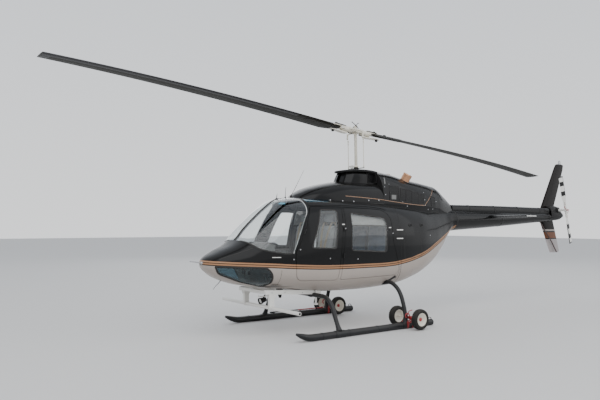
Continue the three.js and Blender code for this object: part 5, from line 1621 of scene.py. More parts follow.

# %% [markdown]
# ** Louvres.** Hot air leaves the engine bay through five bays of slats on each side, stepped down
# towards the tail, and through one more bay behind. Each bay is a near-black sheet, painted shade for the
# dark bay behind the slats, a frame, and slats that open downward. One bay has a light service panel in
# its lower corner.

# %% Louvre bays
BAYS = [((-640, 2266), (-416, 2263), (-389, 2039), (-599, 2024)),
        ((-822, 2227), (-684, 2236), (-640, 2022), (-785, 2010)),
        ((-978, 2213), (-842, 2225), (-800, 2008), (-936, 1997)),
        ((-1162, 2190), (-992, 2192), (-952, 1996), (-1122, 1990)),
        ((-1318, 2154), (-1178, 2166), (-1138, 1988), (-1288, 1984)),
        ((-1653, 2112), (-1528, 2132), (-1533, 1963), (-1660, 1954))]
louvre_shade_form, frame_form, slat_form = Form(), Form(), Form()
for side in (1, -1):
    for number, bay in enumerate(BAYS):
        rear_top, front_top, front_low, rear_low = (np.array(corner, float) for corner in bay)
        # A near-black sheet under the slats: painted shade for the dark bay behind them.
        skin_patch(louvre_shade_form, ENGINE_COWL, bay, side, -0.002, 0.0008)
        bay_corners = [tuple(corner) for corner in (rear_top, front_top, front_low, rear_low)]
        frame_on(frame_form, ENGINE_COWL, bay_corners, side, 0.014, -0.001, 0.006)
        count = 3 if number == 5 else 9
        for k in range(count):
            share = (k + 0.5) / count
            high_rear = rear_top + (rear_low - rear_top) * share
            high_front = front_top + (front_low - front_top) * share
            if number == 0 and share > 0.66:
                high_rear = high_rear + (high_front - high_rear) * 0.45
            depth = np.array([0, -(rear_top[1] - rear_low[1]) / count * 0.42])
            skin_patch(slat_form, ENGINE_COWL, [tuple(high_rear), tuple(high_front),
                                                tuple(high_front + depth), tuple(high_rear + depth)], side,
                       0.0006, 0.0042, (4, 2))
louvre_shade_form.piece("louvre_painted_shade", "shade_and_dial_black")
frame_form.piece("louvre_frames", "satin_black")
slat_form.piece("louvre_slats", "satin_black")
service = Form()
for side in (1, -1):
    skin_patch(service, ENGINE_COWL, [(-548, 2118), (-440, 2119), (-432, 2046), (-540, 2043)], side, -0.001,
               0.0065, (6, 4))
    skin_patch(service, ENGINE_COWL, [(-372, 2408), (-348, 2408), (-305, 2296), (-329, 2296)], side, -0.001,
               0.005, (3, 6))
service.piece("cowl_service_panels", "panel_grey")

# %% [markdown]
# **Exhausts.** Two short steel stacks lean outward from the cowl, one on each side. Heat has turned
# them copper, and each has a rolled lip and a dark foot where it passes a collar. The stack is turned
# as a hollow shape, outside up and inside down again.

# %% Exhaust stacks
for word, side in SIDES.items():
    foot = Vector((station(-925), 0.160 * side, 2.286))
    tip = Vector((station(-983), 0.270 * side, 2.498))
    lean = tip - foot
    length = lean.length
    stack = Form()
    stack.spun([(0.02, 0.074), (0.05, 0.0775), (length * 0.62, 0.078), (length - 0.022, 0.0795),
                (length - 0.012, 0.0818), (length - 0.004, 0.0820), (length, 0.0795),
                (length - 0.002, 0.0765), (length - 0.02, 0.0745), (length * 0.5, 0.0730), (0.05, 0.0725),
                (0.045, 0.03)], foot, lean, 48)
    stack.piece(f"exhaust_{word}_stack", "hot_steel", slot="exhaust_metal", replaces=(f"exhaust_{word}",),
                angle=50)
    collar = Form()
    ring(collar, foot + lean * 0.36, lean, 0.0775, 0.0935, 0.018, 40, 0.004)
    ring(collar, foot + lean * 0.45, lean, 0.0775, 0.0835, 0.012, 40, 0.003)
    collar.piece(f"exhaust_{word}_collar", "dark_steel", slot="exhaust_metal")

# %% [markdown]
# **Trim line.** A thin tan line runs along the cowls below the louvres and turns up at their end. On
# the machine it's tape about eight millimetres wide; here it's a strip that stands a millimetre
# proud of each of the two skins that it crosses.

# %% Trim line
TRIM_LINES = [(DECK_COWL, 30, [(560, 2072), (265, 2058), (-2, 2045), (-255, 2028)]),
              (ENGINE_COWL, 40, [(-264, 2025), (-526, 2002), (-867, 1976), (-1150, 1962), (-1324, 1960)]),
              (ENGINE_COWL, 20, [(-1322, 1958), (-1480, 2090), (-1676, 2252)])]
trim = Form()
for side in (1, -1):
    for skin, count, places in TRIM_LINES:
        skin_strip(trim, skin, line_on(skin, places, count), side, 0.0075, -0.0005, 0.0012)
trim.piece("cowl_trim_line", "tan_enamel")

# %% [markdown]
# **Boom and aft fuselage joints.** The skins are sheet over frames: rivet rows show where each frame
# sits, a collar covers the joint to the boom, and the shaft cover is held by four clamps.

# %% Rivets, joints, clamps
rivets = Form()
bands = Form()


def rivet_row(skin, spots, side, size=0.0034):
    base = skin.lifted(spots[:, 0], spots[:, 1], side)
    normals = skin.lifted(spots[:, 0], spots[:, 1], side, 1.0) - base
    for place, normal in zip(base, normals):
        rivets.spun([(-0.001, size), (0.0008, size * 0.8), (0.0013, size * 0.35)], place, normal, 6)


def round_spots(x, low, high, count):
    return np.stack([np.full(count, station(x)), np.linspace(low, high, count)], axis=1)


for side in (1, -1):
    for x in (-2400, -2440, -3000, -3360, -3820, -4400, -5000, -5560, -5640):
        rivet_row(BOOM, round_spots(x, -1.5, 1.1, 20), side)
    for x in (-445, -760, -1100, -1440, -1800, -2060, -2300, -2345):
        rivet_row(HULL, round_spots(x, -1.5, 1.05, 34), side)
    for x in (-2388, -3860, -5650):
        skin_strip(bands, BOOM, round_spots(x, -math.pi / 2, 1.3, 40), side, 0.030, -0.001, 0.0022)
    for x in (-2900, -3700, -4500, -5300):
        skin_strip(bands, SHAFT_COVER, round_spots(x, -0.2, math.pi / 2, 24), side, 0.022, -0.001, 0.003)
    for x in (-434, -2368):
        skin_strip(bands, HULL, round_spots(x, -math.pi / 2, 1.2, 60), side, 0.006, -0.001, 0.0008)
rivets.piece("rivet_rows", "black_lacquer", angle=50)
bands.piece("joint_bands", "satin_black")
boom_line = Form()
for side in (1, -1):
    stretch = np.linspace(station(-5690), station(-2385), 40)
    skin_strip(boom_line, BOOM, np.stack([stretch, np.full(40, 0.62)], axis=1), side, 0.006, -0.001, 0.001)
boom_line.piece("boom_skin_laps", "satin_black")

# %% [markdown]
# The tail end of the boom holds the tail gearbox. Its housing ends in a cone with a fairing, and a
# short white shaft carries the tail rotor out to port, through a bolted flange. Each side has a
# vent, a near-black patch of painted shade.

# %% Tail gearbox details
tail_box = Form()
tail_box.spun([(0, 0.060), (0.004, 0.066), (0.016, 0.066), (0.022, 0.058), (0.040, 0.046), (0.044, 0.036)],
              (TAIL_HUB_X, 0.078, TAIL_HUB_Z), (0, 1, 0), 32)
tail_box.bolts([(TAIL_HUB_X + 0.050 * math.cos(a), 0.094, TAIL_HUB_Z + 0.050 * math.sin(a))
                for a in circle_angles(8)], (0, 1, 0), 0.006, 0.006)
for side in (1, -1):
    skin_strip(tail_box, TAIL_BOX, round_spots(-5716, -1.5, 1.5, 40), side, 0.018, -0.002, 0.003)
    skin_strip(tail_box, TAIL_BOX, round_spots(-6110, -1.5, 1.5, 30), side, 0.014, -0.002, 0.003)
tail_box.piece("tail_gearbox_flange", "satin_black")
# Each vent is a near-black patch: painted shade for its opening.
tail_holes = Form()
for side in (1, -1):
    skin_patch(tail_holes, TAIL_BOX, [(-6060, 1905), (-6000, 1915), (-6000, 1845), (-6060, 1840)], side,
               -0.002, 0.0015, (5, 5))
tail_holes.piece("tail_gearbox_vent", "shade_and_dial_black")

# %% [markdown]
# ## Landing gear
#
# Two skids on two bent cross tubes. The tubes are steel, painted black, and carry the hull on saddles
# under the belly. Each skid is a plain tube with a nose that turns up and is closed by a flattened
# tip, and a thicker wear shoe clamped under it.

# %% Skids and cross tubes
SKID_Y = 0.985
FRONT_ROUTE = [(985, 92), (905, 250), (815, 430), (700, 530), (560, 553), (300, 553)]
REAR_ROUTE = [(985, 92), (988, 190), (971, 275), (939, 387), (901, 488), (842, 582), (769, 644), (690, 684),
              (610, 695), (530, 680), (420, 672)]
TUBES = {"front_cross_tube": (1.170, FRONT_ROUTE), "rear_cross_tube": (-0.170, REAR_ROUTE)}


def clamp_over(form, x, y, length, inner, outer, reach=0.9):
    """A clamp bent over a skid tube. It stays open below, so the skid still meets the ground."""
    turns = np.linspace(-reach, math.pi + reach, 26)
    line = [(size * math.cos(a), size * math.sin(a)) for size, order in ((outer, turns), (inner, turns[::-1]))
            for a in order]
    form.rings([[(x + along, y + u, 0.05 + v) for u, v in line] for along in (0, length)])


for word, side in SIDES.items():
    skid = Form()
    y = SKID_Y * side
    skid.tube(on_stations([(-765, y, 0.05), (-300, y, 0.05), (400, y, 0.05), (1200, y, 0.05),
                           (1620, y, 0.05)]), 0.0498, 28, 30)
    skid.tube(on_stations([(1600, y, 0.05), (1680, y, 0.052), (1760, y, 0.064), (1850, y, 0.092),
                           (1930, y, 0.122)]), [0.0497, 0.0495, 0.046, 0.036, 0.018], 28, 22)
    skid.spun([(0, 0.030), (0.006, 0.046), (0.012, 0.0499), (0.02, 0.0499)], (station(-772), y, 0.05),
              (1, 0, 0), 28)
    for x in (-560, -120, 420, 980, 1480):
        clamp_over(skid, station(x), y, 0.018, 0.049, 0.0530)
    skid.piece(f"skid_{word}_tube", "gear_black", slot="gear_paint", replaces=(f"skid_{word}",), angle=45)
    shoe = Form()
    for back, front in ((-700, -330), (-40, 500), (640, 1420)):
        outline = [(0.046 * math.cos(a), 0.046 * math.sin(a)) for a in np.linspace(-2.35, -0.79, 10)]
        hull = [(u * 1.085, v * 1.085) for u, v in outline] + [(u, v) for u, v in reversed(outline)]
        shoe.rings([[(station(x), y + u * size, 0.0502 + v * size) for u, v in hull]
                    for x, size in ((back, 0.97), (back + 12, 1.0), (front - 12, 1.0), (front, 0.97))])
        for x in (back + 40, (back + front) / 2, front - 40):
            shoe.bolts([(station(x), y + 0.0485 * out, 0.043) for out in (1, -1)], (0, 0, 1), 0.006, 0.004)
    shoe.piece(f"skid_{word}_shoe", "dark_steel", slot="gear_paint", angle=40)
    ground = Form()
    ground.tube(on_stations([(-760, y, 0.098), (-750, y, 0.118), (-720, y, 0.128), (-695, y, 0.118),
                             (-690, y, 0.098)]), 0.006, 10, 24)
    for x in (-190, -290):
        ground.box((station(x) - 0.008, y - 0.006, 0.096), (station(x) + 0.008, y + 0.006, 0.118), 0.002)
    ground.piece(f"skid_{word}_lugs", "gear_black", slot="gear_paint")

for name, (where, route) in TUBES.items():
    tube = Form()
    x = where + MAST_STATION
    line = [(x, -y / 1000, z / 1000) for y, z in route] + [(x, y / 1000, z / 1000)
                                                           for y, z in reversed(route)]
    tube.tube(line, 0.0328, 24, 90)
    for side in (1, -1):
        foot = Vector((x, SKID_Y * side, 0.088))
        lean = Vector((0, (route[1][0] - route[0][0]) / 1000 * side, (route[1][1] - route[0][1]) / 1000))
        tube.spun([(0, 0.050), (0.006, 0.052), (0.020, 0.044), (0.060, 0.0365), (0.080, 0.0350)], foot, lean,
                  24)
        clamp_over(tube, x - 0.085, SKID_Y * side, 0.17, 0.0495, 0.0555)
        tube.bolts([(x + along, SKID_Y * side + 0.055 * out, 0.05) for along in (-0.065, 0.065)
                    for out in (1, -1)], (0, 0, 1), 0.006, 0.010)
    tube.piece(name + "_tube", "gear_black", slot="gear_paint", replaces=(name,), angle=45)

# %% [markdown]
# Where a cross tube meets the belly, a saddle with a rubber pad and a strap holds it. On each side a
# black fairing strip covers the rear tube's slot in the hull.

# %% Saddles and hull fittings
saddles = Form()
pads = Form()
for where, y, z in ((1.170, 0.30, 0.553), (-0.170, 0.44, 0.677)):
    x = where + MAST_STATION
    for side in (1, -1):
        ring(saddles, (x, y * side - 0.03, z), (0, 1, 0), 0.0325, 0.0405, 0.06, 24, 0.003)
        saddles.box((x - 0.060, y * side - 0.03, z + 0.004), (x + 0.060, y * side + 0.03, z + 0.018), 0.003)
        saddles.bolts([(x + along, y * side, z + 0.002) for along in (-0.050, 0.050)], (0, 0, -1), 0.007,
                      0.006)
        ring(pads, (x, y * side - 0.026, z), (0, 1, 0), 0.0300, 0.0335, 0.052, 24, 0.001)
saddles.piece("cross_tube_saddles", "satin_black", slot="gear_paint")
pads.piece("cross_tube_pads", "black_rubber", slot="gear_paint")
slots = Form()
for side in (1, -1):
    skin_patch(slots, HULL, [(-360, 764), (-190, 672), (-150, 690), (-330, 795)], side, -0.001, 0.006,
               (14, 4))
slots.piece("rear_tube_fairings", "satin_black")

# %% [markdown]
# **Ground handling wheels.** A red bracket stands on each skid with a lifting lever and a lock pin.
# Its axle carries a wheel on each side: a cream pressed rim with a hub cap and a valve, and a small
# tyre with a ribbed tread. Rims and tyres turn with the axle; the bracket and its pins do not.

# %% Wheels
WHEEL_X, WHEEL_Z, WHEEL_OFFSET = station(-238), 0.165, 0.245
TYRE_PROFILE = [(-0.0400, 0.1000), (-0.0462, 0.1060), (-0.0478, 0.1200), (-0.0465, 0.1340), (-0.0400, 0.1460),
                (-0.0340, 0.1510), (-0.0330, 0.1480), (-0.0300, 0.1480), (-0.0290, 0.1535), (-0.0180, 0.1570),
                (-0.0170, 0.1530), (-0.0140, 0.1530), (-0.0130, 0.1580), (-0.0030, 0.1588), (-0.0020, 0.1545)]
TYRE_PROFILE += [(-along, radius) for along, radius in reversed(TYRE_PROFILE)]
RIM_PROFILE = [(0.0, 0.020), (0.006, 0.026), (0.008, 0.040), (0.012, 0.046), (0.014, 0.060), (0.024, 0.070),
               (0.036, 0.080), (0.040, 0.090), (0.0440, 0.097), (0.0420, 0.1000), (0.0370, 0.0975),
               (0.0330, 0.0880), (-0.0330, 0.0880), (-0.0370, 0.0975), (-0.0420, 0.1000), (-0.0440, 0.097),
               (-0.040, 0.090), (-0.036, 0.080), (-0.016, 0.072), (-0.012, 0.050), (-0.012, 0.0135)]
for word, side in SIDES.items():
    y = SKID_Y * side
    body = f"wheels_{word}_body"
    rims = Form()
    hubs = Form()
    rims.rod((WHEEL_X, y - 0.262, WHEEL_Z), (WHEEL_X, y + 0.262, WHEEL_Z), 0.0118, 24)
    for end, out in (("outer", side), ("inner", -side)):
        centre = Vector((WHEEL_X, y + WHEEL_OFFSET * out, WHEEL_Z))
        axis = Vector((0, out, 0))
        rims.spun(RIM_PROFILE, centre, axis, 48)
        rims.bolts([centre + axis * 0.013 + Vector((0.052 * math.cos(a), 0, 0.052 * math.sin(a)))
                    for a in circle_angles(5)], axis, 0.006, 0.006)
        rims.rod(centre + Vector((0.070, 0.022 * out, 0.012)), centre + Vector((0.082, 0.040 * out, 0.014)),
                 0.0035, 10)
        hubs.spun([(0.000, 0.026), (0.004, 0.029), (0.016, 0.028), (0.024, 0.020), (0.027, 0.010)], centre,
                  axis, 28)
        hubs.spun([(0.030, 0.006), (0.032, 0.008), (0.036, 0.006)], centre, axis, 12)
        tyre = Form()
        turn = axis.to_track_quat("Z", "Y").to_matrix().to_4x4()
        sections = []
        for a in circle_angles(64):
            sections.append([(r * math.cos(a), r * math.sin(a), along) for along, r in TYRE_PROFILE])
        tyre.rings(sections, Matrix.Translation(centre) @ turn, closed=True)
        for k in range(32):
            a = 2 * math.pi * k / 32
            outward = Vector((math.cos(a), 0, math.sin(a)))
            for shoulder in (1, -1):
                tyre.box((-0.004, -0.008, -0.006), (0.004, 0.008, 0.0005), 0.001,
                         Matrix.Translation(centre + outward * 0.1502 + Vector((0, 0.0385 * shoulder, 0)))
                         @ outward.to_track_quat("Z", "Y").to_matrix().to_4x4())
        tyre.piece(f"tyre_{word}_{end}_tread", "tyre_rubber", body, "tyre", (f"tyre_{word}_{end}",), angle=40)
    rims.piece(f"wheel_rims_{word}_pressed", "cream_enamel", body, "cream_paint", (f"wheel_rims_{word}",),
               angle=40)
    hubs.piece(f"wheel_hubs_{word}", "red_enamel", body, "cream_paint", angle=40)

    bracket = Form()
    for out in (1, -1):
        outline = [(WHEEL_X - 0.075, 0.088), (WHEEL_X + 0.085, 0.088), (WHEEL_X + 0.080, 0.125),
                   (WHEEL_X + 0.030, 0.150), (WHEEL_X + 0.026, 0.188), (WHEEL_X, 0.198),
                   (WHEEL_X - 0.028, 0.188), (WHEEL_X - 0.045, 0.120)]
        low, high = sorted((y + 0.056 * out, y + 0.064 * out))
        bracket.plate(outline, "y", low, high, 0.002)
    bracket.box((WHEEL_X - 0.075, y - 0.060, 0.100), (WHEEL_X + 0.085, y + 0.060, 0.108), 0.002)
    for along in (-0.080, 0.040):
        clamp_over(bracket, WHEEL_X + along, y, 0.040, 0.0508, 0.0565)
    for along in (-0.060, 0.060):
        bracket.box((WHEEL_X + along - 0.018, y - 0.062, 0.060), (WHEEL_X + along + 0.018, y - 0.0535, 0.104),
                    0.002)
        bracket.box((WHEEL_X + along - 0.018, y + 0.0535, 0.060), (WHEEL_X + along + 0.018, y + 0.062, 0.104),
                    0.002)
    ring(bracket, (WHEEL_X, y - 0.082, WHEEL_Z), (0, 1, 0), 0.0128, 0.024, 0.164, 28, 0.002)
    hook = [(WHEEL_X + 0.020, y + 0.050 * side, 0.195), (WHEEL_X + 0.055, y + 0.055 * side, 0.235),
            (WHEEL_X + 0.100, y + 0.055 * side, 0.240), (WHEEL_X + 0.118, y + 0.052 * side, 0.205),
            (WHEEL_X + 0.100, y + 0.050 * side, 0.175)]
    bracket.tube(hook, 0.009, 12, 30)
    bracket.tube([(WHEEL_X - 0.02, y - 0.040 * side, 0.190), (WHEEL_X - 0.060, y - 0.045 * side, 0.250),
                  (WHEEL_X - 0.130, y - 0.045 * side, 0.265)], 0.008, 12, 20)
    bracket.piece(f"wheel_bracket_{word}_welded", "red_enamel", slot="red_paint",
                  replaces=(f"wheel_bracket_{word}",), angle=40)
    pins = Form()
    pins.rod((WHEEL_X + 0.060, y - 0.078, 0.118), (WHEEL_X + 0.060, y + 0.078, 0.118), 0.006, 14)
    pins.tube([(WHEEL_X + 0.060, y + 0.078 * side, 0.118), (WHEEL_X + 0.072, y + 0.092 * side, 0.124),
               (WHEEL_X + 0.062, y + 0.090 * side, 0.140), (WHEEL_X + 0.050, y + 0.080 * side, 0.128)],
              0.0022, 8, 20)
    pins.bolts([(WHEEL_X + along, y + 0.064, 0.132) for along in (-0.035, 0.020)], (0, 1, 0), 0.006, 0.004)
    pins.piece(f"wheel_bracket_{word}_pins", "bare_steel", slot="red_paint", angle=40)

# %% [markdown]
# The lever that jacks a skid up on its wheels is stowed on top of the starboard skid: a long bar, red
# at its back end, held by two clips.

# %% Stowed lever
bar = Form()
bar.rod((station(-60), -0.985, 0.116), (station(480), -0.985, 0.116), 0.011, 16)
bar.box((station(-75), -0.999, 0.104), (station(-50), -0.971, 0.130), 0.003)
bar.piece("jack_lever_red", "red_enamel", slot="red_paint")
bar = Form()
bar.rod((station(480), -0.985, 0.116), (station(1070), -0.985, 0.116), 0.0105, 16)
bar.spun([(0, 0.010), (0.01, 0.0135), (0.09, 0.0135), (0.10, 0.010)], (station(965), -0.985, 0.116),
         (1, 0, 0), 18)
for x in (60, 760):
    ring(bar, (station(x), -0.985, 0.116), (1, 0, 0), 0.0112, 0.0155, 0.020, 18, 0.001)
    bar.box((station(x), -0.999, 0.096), (station(x) + 0.02, -0.971, 0.106), 0.002)
bar.piece("jack_lever_grip", "gear_black", slot="gear_paint")

# %% [markdown]
# ## Equipment frame
#
# Under the nose hangs a white frame: two beams below the belly, two posts, and a cross bar wider than
# the skids. The bar is an open tube; its bore is lined near black, as painted shade. A hook bracket and a
# small lamp sit between the posts. The near beam has a thin post behind with a round foot.

# %% Equipment frame
frame_parts = Form()
BEAM_Y, BAR_X, BAR_Z = 0.350, station(1926), 0.408
for side in (1, -1):
    low, high = sorted((BEAM_Y * side - 0.024, BEAM_Y * side + 0.024))
    beam = on_stations([(1028, 0.553), (2038, 0.611), (2038, 0.675), (1028, 0.617)])
    frame_parts.plate(beam, "y", low, high, 0.003)
    low, high = sorted((BEAM_Y * side - 0.0245, BEAM_Y * side + 0.0245))
    frame_parts.plate([(BAR_X - 0.040, 0.415), (BAR_X - 0.030, 0.392), (BAR_X + 0.030, 0.392),
                       (BAR_X + 0.040, 0.415), (BAR_X + 0.040, 0.640), (BAR_X - 0.040, 0.640)], "y", low,
                      high, 0.003)
    for out in (0.0255, -0.0325):
        frame_parts.plate([(BAR_X - 0.058, 0.600), (BAR_X + 0.058, 0.606), (BAR_X + 0.050, 0.560),
                           (BAR_X - 0.045, 0.556)], "y",
                          *sorted((BEAM_Y * side + out, BEAM_Y * side + out + 0.007)), 0.002)
    ring(frame_parts, (BAR_X, BEAM_Y * side - 0.034, BAR_Z), (0, 1, 0), 0.0262, 0.0335, 0.068, 28, 0.003)
ring(frame_parts, (BAR_X, -1.0588, BAR_Z), (0, 1, 0), 0.0192, 0.0258, 2.1176, 32, 0.0012)
frame_parts.box((station(1982), -0.348, 0.612), (station(2039), 0.348, 0.664), 0.004)
frame_parts.box((station(1250), -0.330, 0.600), (station(1290), 0.330, 0.625), 0.004)
frame_parts.piece("equipment_frame_beams", "white_enamel", slot="white_paint", replaces=("equipment_frame",),
                  angle=40)

# The bore lining is near black: painted shade for the dark inside of the open tube.
bore = Form()
for side in (1, -1):
    bore.spun([(0, 0.0193), (0.30, 0.0193)], (BAR_X, 1.054 * side - (0.30 if side > 0 else 0), BAR_Z),
              (0, 1, 0), 24)
bore.piece("equipment_bar_bores", "shade_and_dial_black", slot="white_paint")
hardware = Form()
for side in (1, -1):
    for x, z in ((1926, 0.630), (1926, 0.585), (1380, 0.600), (1120, 0.590), (1700, 0.622)):
        hardware.bolts([(station(x), BEAM_Y * side + 0.0245 * side, z)], (0, side, 0), 0.007, 0.006)
    hardware.bolts([(BAR_X + 0.0335, BEAM_Y * side, BAR_Z)], (1, 0, 0), 0.006, 0.006)
for side in (1, -1):
    hardware.rod((station(1106), 0.35 * side, 0.60), (station(1106), 0.35 * side, 0.640), 0.006, 12)
hardware.piece("equipment_frame_bolts", "bare_steel", slot="white_paint")

# %% [markdown]
# The posts carry thin stays and a fuselage pick-up; the hook bracket is a bent white strap, and the
# black lamp looks down and ahead.

# %% Hook bracket, lamp, aft post
small = Form()
small.tube(on_stations([(1650, -0.02, 0.600), (1700, -0.02, 0.575), (1745, -0.02, 0.545),
                        (1800, -0.02, 0.535), (1880, -0.02, 0.535)]), 0.0075, 12, 30)
small.box((station(1600), -0.045, 0.588), (station(1665), 0.005, 0.600), 0.003)
small.tube(on_stations([(1880, -0.02, 0.535), (1905, -0.02, 0.537), (1910, -0.02, 0.555)]), 0.006, 10, 12)
small.rod((station(1140), 0.392, 0.728), (station(1140), 0.392, 0.430), 0.0135, 18)
small.spun([(0, 0.030), (0.006, 0.036), (0.016, 0.036), (0.026, 0.022), (0.034, 0.014)],
           (station(1140), 0.392, 0.404), (0, 0, 1), 28)
small.plate([(0.358, 0.715), (0.426, 0.700), (0.426, 0.760), (0.370, 0.775)], "x", station(1134),
            station(1146), 0.002)
small.plate(on_stations([(1105, 0.560), (1180, 0.566), (1180, 0.606), (1105, 0.602)]), "y", 0.3745, 0.382,
            0.002)
small.piece("equipment_frame_small_parts", "white_enamel", slot="white_paint", angle=40)
lamp_form = Form()
lamp_form.spun([(-0.055, 0.022), (-0.048, 0.034), (0.0, 0.040), (0.036, 0.047), (0.048, 0.052),
                (0.060, 0.052), (0.060, 0.047), (0.040, 0.042)], (station(1790), -0.08, 0.470),
               (0.9, 0, -0.25), 32)
lamp_form.tube(on_stations([(1790, -0.08, 0.505), (1770, -0.06, 0.545), (1740, -0.03, 0.580),
                            (1700, -0.02, 0.600)]), 0.008, 10, 20)
lamp_form.piece("belly_lamp_shell", "satin_black", slot="white_paint", angle=40)
lens = Form()
lens.spun([(0.038, 0.042), (0.046, 0.038), (0.051, 0.020), (0.052, 0.004)], (station(1790), -0.08, 0.470),
          (0.9, 0, -0.25), 32)
lens.piece("belly_lamp_lens", "warm_lens", slot="white_paint", angle=50)

# %% [markdown]
# ## Cabin
#
# The cabin is seen through ten panes, so it gets real furniture: carpet, seat boxes, padded seats,
# belts, an instrument panel with its hood, and the controls. A liner skin, drawn forty millimetres
# inside the hull, covers the roof and the rear wall.

# %% Liner, rear wall, carpet
LINER = Skin([(x, half - 40, low + 40, high - 40, wide, belly, crown)
              for x, half, low, high, wide, belly, crown in
              [*HULL_ROWS[6:10], (1620, 625, 645, 2002, 1045, 3.0, 2.6)]])
liners = []
for back, front, reach, count in ((-420, 862, 0.57, 40), (862, 1352, 0.255, 20)):
    stations = np.linspace(station(back), station(front), count)
    for side in (1, -1):
        low = float(LINER.angle_of_width(station(back), reach)[0])
        liners.append(grid_part(LINER, stations, np.linspace(low, math.pi / 2, 24), 0.006, side))
skin_piece(liners, "roof_liner", "headliner")

rear_wall = Form()
wall_angles = np.linspace(-math.pi / 2, 1.5 * math.pi, 80, endpoint=False)
section = LINER.point(np.full(80, station(-418)), wall_angles)
rear_wall.rings([[(station(x), y * size, 1.2 + (z - 1.2) * size) for _, y, z in section]
                 for x, size in ((-424, 1.0), (-418, 1.0), (-414, 0.985))])
rear_wall.piece("cabin_rear_wall", "headliner", slot="trim_plastic")

carpet = Form()
edge_x = np.linspace(0.372, 2.835, 40)
edge_y = np.minimum(HULL.point(edge_x, HULL.angle_of_height(edge_x, np.full(40, 0.748)))[:, 1] - 0.045, 0.545)
edge_y = np.maximum(edge_y, 0.06)
outline = [*zip(edge_x, -edge_y), *zip(edge_x[::-1], edge_y[::-1])]
carpet.plate(outline, "z", 0.7165, 0.7415, 0.003)
for y in (-0.31, 0.31):
    carpet.box((2.26, y - 0.15, 0.7405), (2.72, y + 0.15, 0.7455), 0.002)
carpet.box((1.02, -0.50, 0.7405), (1.44, 0.50, 0.7465), 0.003)
carpet.piece("cabin_carpet", "carpet", slot="floor", replaces=("cabin_floor",))

# %% [markdown]
# **Seat boxes.** The front seats stand on one box with a low wall behind it and a narrow column up to
# the roof, which hides the control rods. The rear bench stands on a second box. Both are honeycomb
# panels with rounded edges, so they are built from slabs with a lid and a kick strip.

# %% Seat boxes
front_box = Form()
front_box.box((1.480, -0.500, 0.742), (1.970, 0.500, 0.984), 0.012)
front_box.box((1.480, -0.500, 0.960), (1.520, 0.500, 1.250), 0.012)
column = [(1.482, -0.038), (1.556, -0.038), (1.568, -0.022), (1.568, 0.022), (1.556, 0.038), (1.482, 0.038)]
front_box.plate(column, "z", 0.98, 1.984, 0.004)
for y in (-0.31, 0.31):
    front_box.box((1.9690, y - 0.15, 0.790), (1.9750, y + 0.15, 0.940), 0.003)
    front_box.box((1.4760, y - 0.14, 0.800), (1.4815, y + 0.14, 1.180), 0.003)
for side in (1, -1):
    front_box.box((1.560, 0.5005 * side - 0.003, 0.790), (1.900, 0.5005 * side + 0.003, 0.930), 0.002)
front_box.piece("front_seat_box", "panel_grey", slot="trim_plastic", replaces=("seat_box",))
rear_box = Form()
rear_box.box((0.372, -0.480, 0.742), (0.858, 0.480, 0.984), 0.012)
for y in (-0.24, 0.24):
    rear_box.box((0.8575, y - 0.19, 0.790), (0.8640, y + 0.19, 0.940), 0.003)
rear_box.piece("rear_seat_box_panels", "panel_grey", slot="trim_plastic", replaces=("rear_seat_box",))

# %% [markdown]
# **Cushions.** Foam in a sewn cover swells between its seams. So each cushion starts as a rounded
# block a little smaller than it will be, is remeshed into even quads, and is blown up by the cloth
# solver for twenty frames without gravity. No point may move more than a cap. Afterwards the sewn
# channels are pressed in along straight lines, and a piping runs round the front edge.


# %% Cushion recipe
def cushion(name, finish, size, place, channels=(), voxel=0.0098, cap=0.014, replaces=(), flat_back=True):
    """A padded cushion: size in metres, place is its matrix; channels are x or y lines pressed in."""
    block = Form()
    half = Vector(size) / 2 - Vector((0.008, 0.008, 0.008))
    block.box(-half, half, min(half) * 0.55)
    mesh = bpy.data.meshes.new(name)
    mesh.from_pydata(block.points, [], block.faces)
    pad = bpy.data.objects.new(name, mesh)
    bpy.context.scene.collection.objects.link(pad)
    bpy.context.view_layer.objects.active = pad
    pad.select_set(True)
    remesh = pad.modifiers.new("remesh", "REMESH")
    remesh.mode, remesh.voxel_size = "VOXEL", voxel
    bpy.ops.object.modifier_apply(modifier="remesh")
    start = np.array([vertex.co[:] for vertex in pad.data.vertices])
    cloth = pad.modifiers.new("cloth", "CLOTH")
    cloth.settings.use_pressure = True
    cloth.settings.uniform_pressure_force = 4.0
    cloth.settings.effector_weights.gravity = 0.0
    cloth.settings.quality = 4
    cloth.point_cache.frame_start, cloth.point_cache.frame_end = 1, 20
    for step in range(1, 21):
        bpy.context.scene.frame_set(step)
    bpy.ops.object.modifier_apply(modifier="cloth")
    bpy.context.scene.frame_set(1)
    moved = np.array([vertex.co[:] for vertex in pad.data.vertices]) - start
    distance = np.linalg.norm(moved, axis=1)[:, None]
    points = start + moved * np.minimum(1.0, cap / np.maximum(distance, 1e-9))
    for axis, value, depth in channels:
        near = np.exp(-((points[:, axis] - value) / 0.012) ** 2)
        points[:, 2] -= near * depth * (points[:, 2] > 0)
    if flat_back:
        points[:, 2] = np.maximum(points[:, 2], -size[2] / 2)
    pad.data.vertices.foreach_set("co", points.ravel())
    rounder = pad.modifiers.new("rounder", "SUBSURF")
    rounder.levels = rounder.render_levels = 1
    bpy.ops.object.modifier_apply(modifier="rounder")
    pad.select_set(False)
    pad.data.transform(place)
    for face in pad.data.polygons:
        face.use_smooth = True
    pad.data.materials.append(FINISH[finish])
    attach(pad, "airframe")
    if replaces:
        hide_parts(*replaces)
    return pad


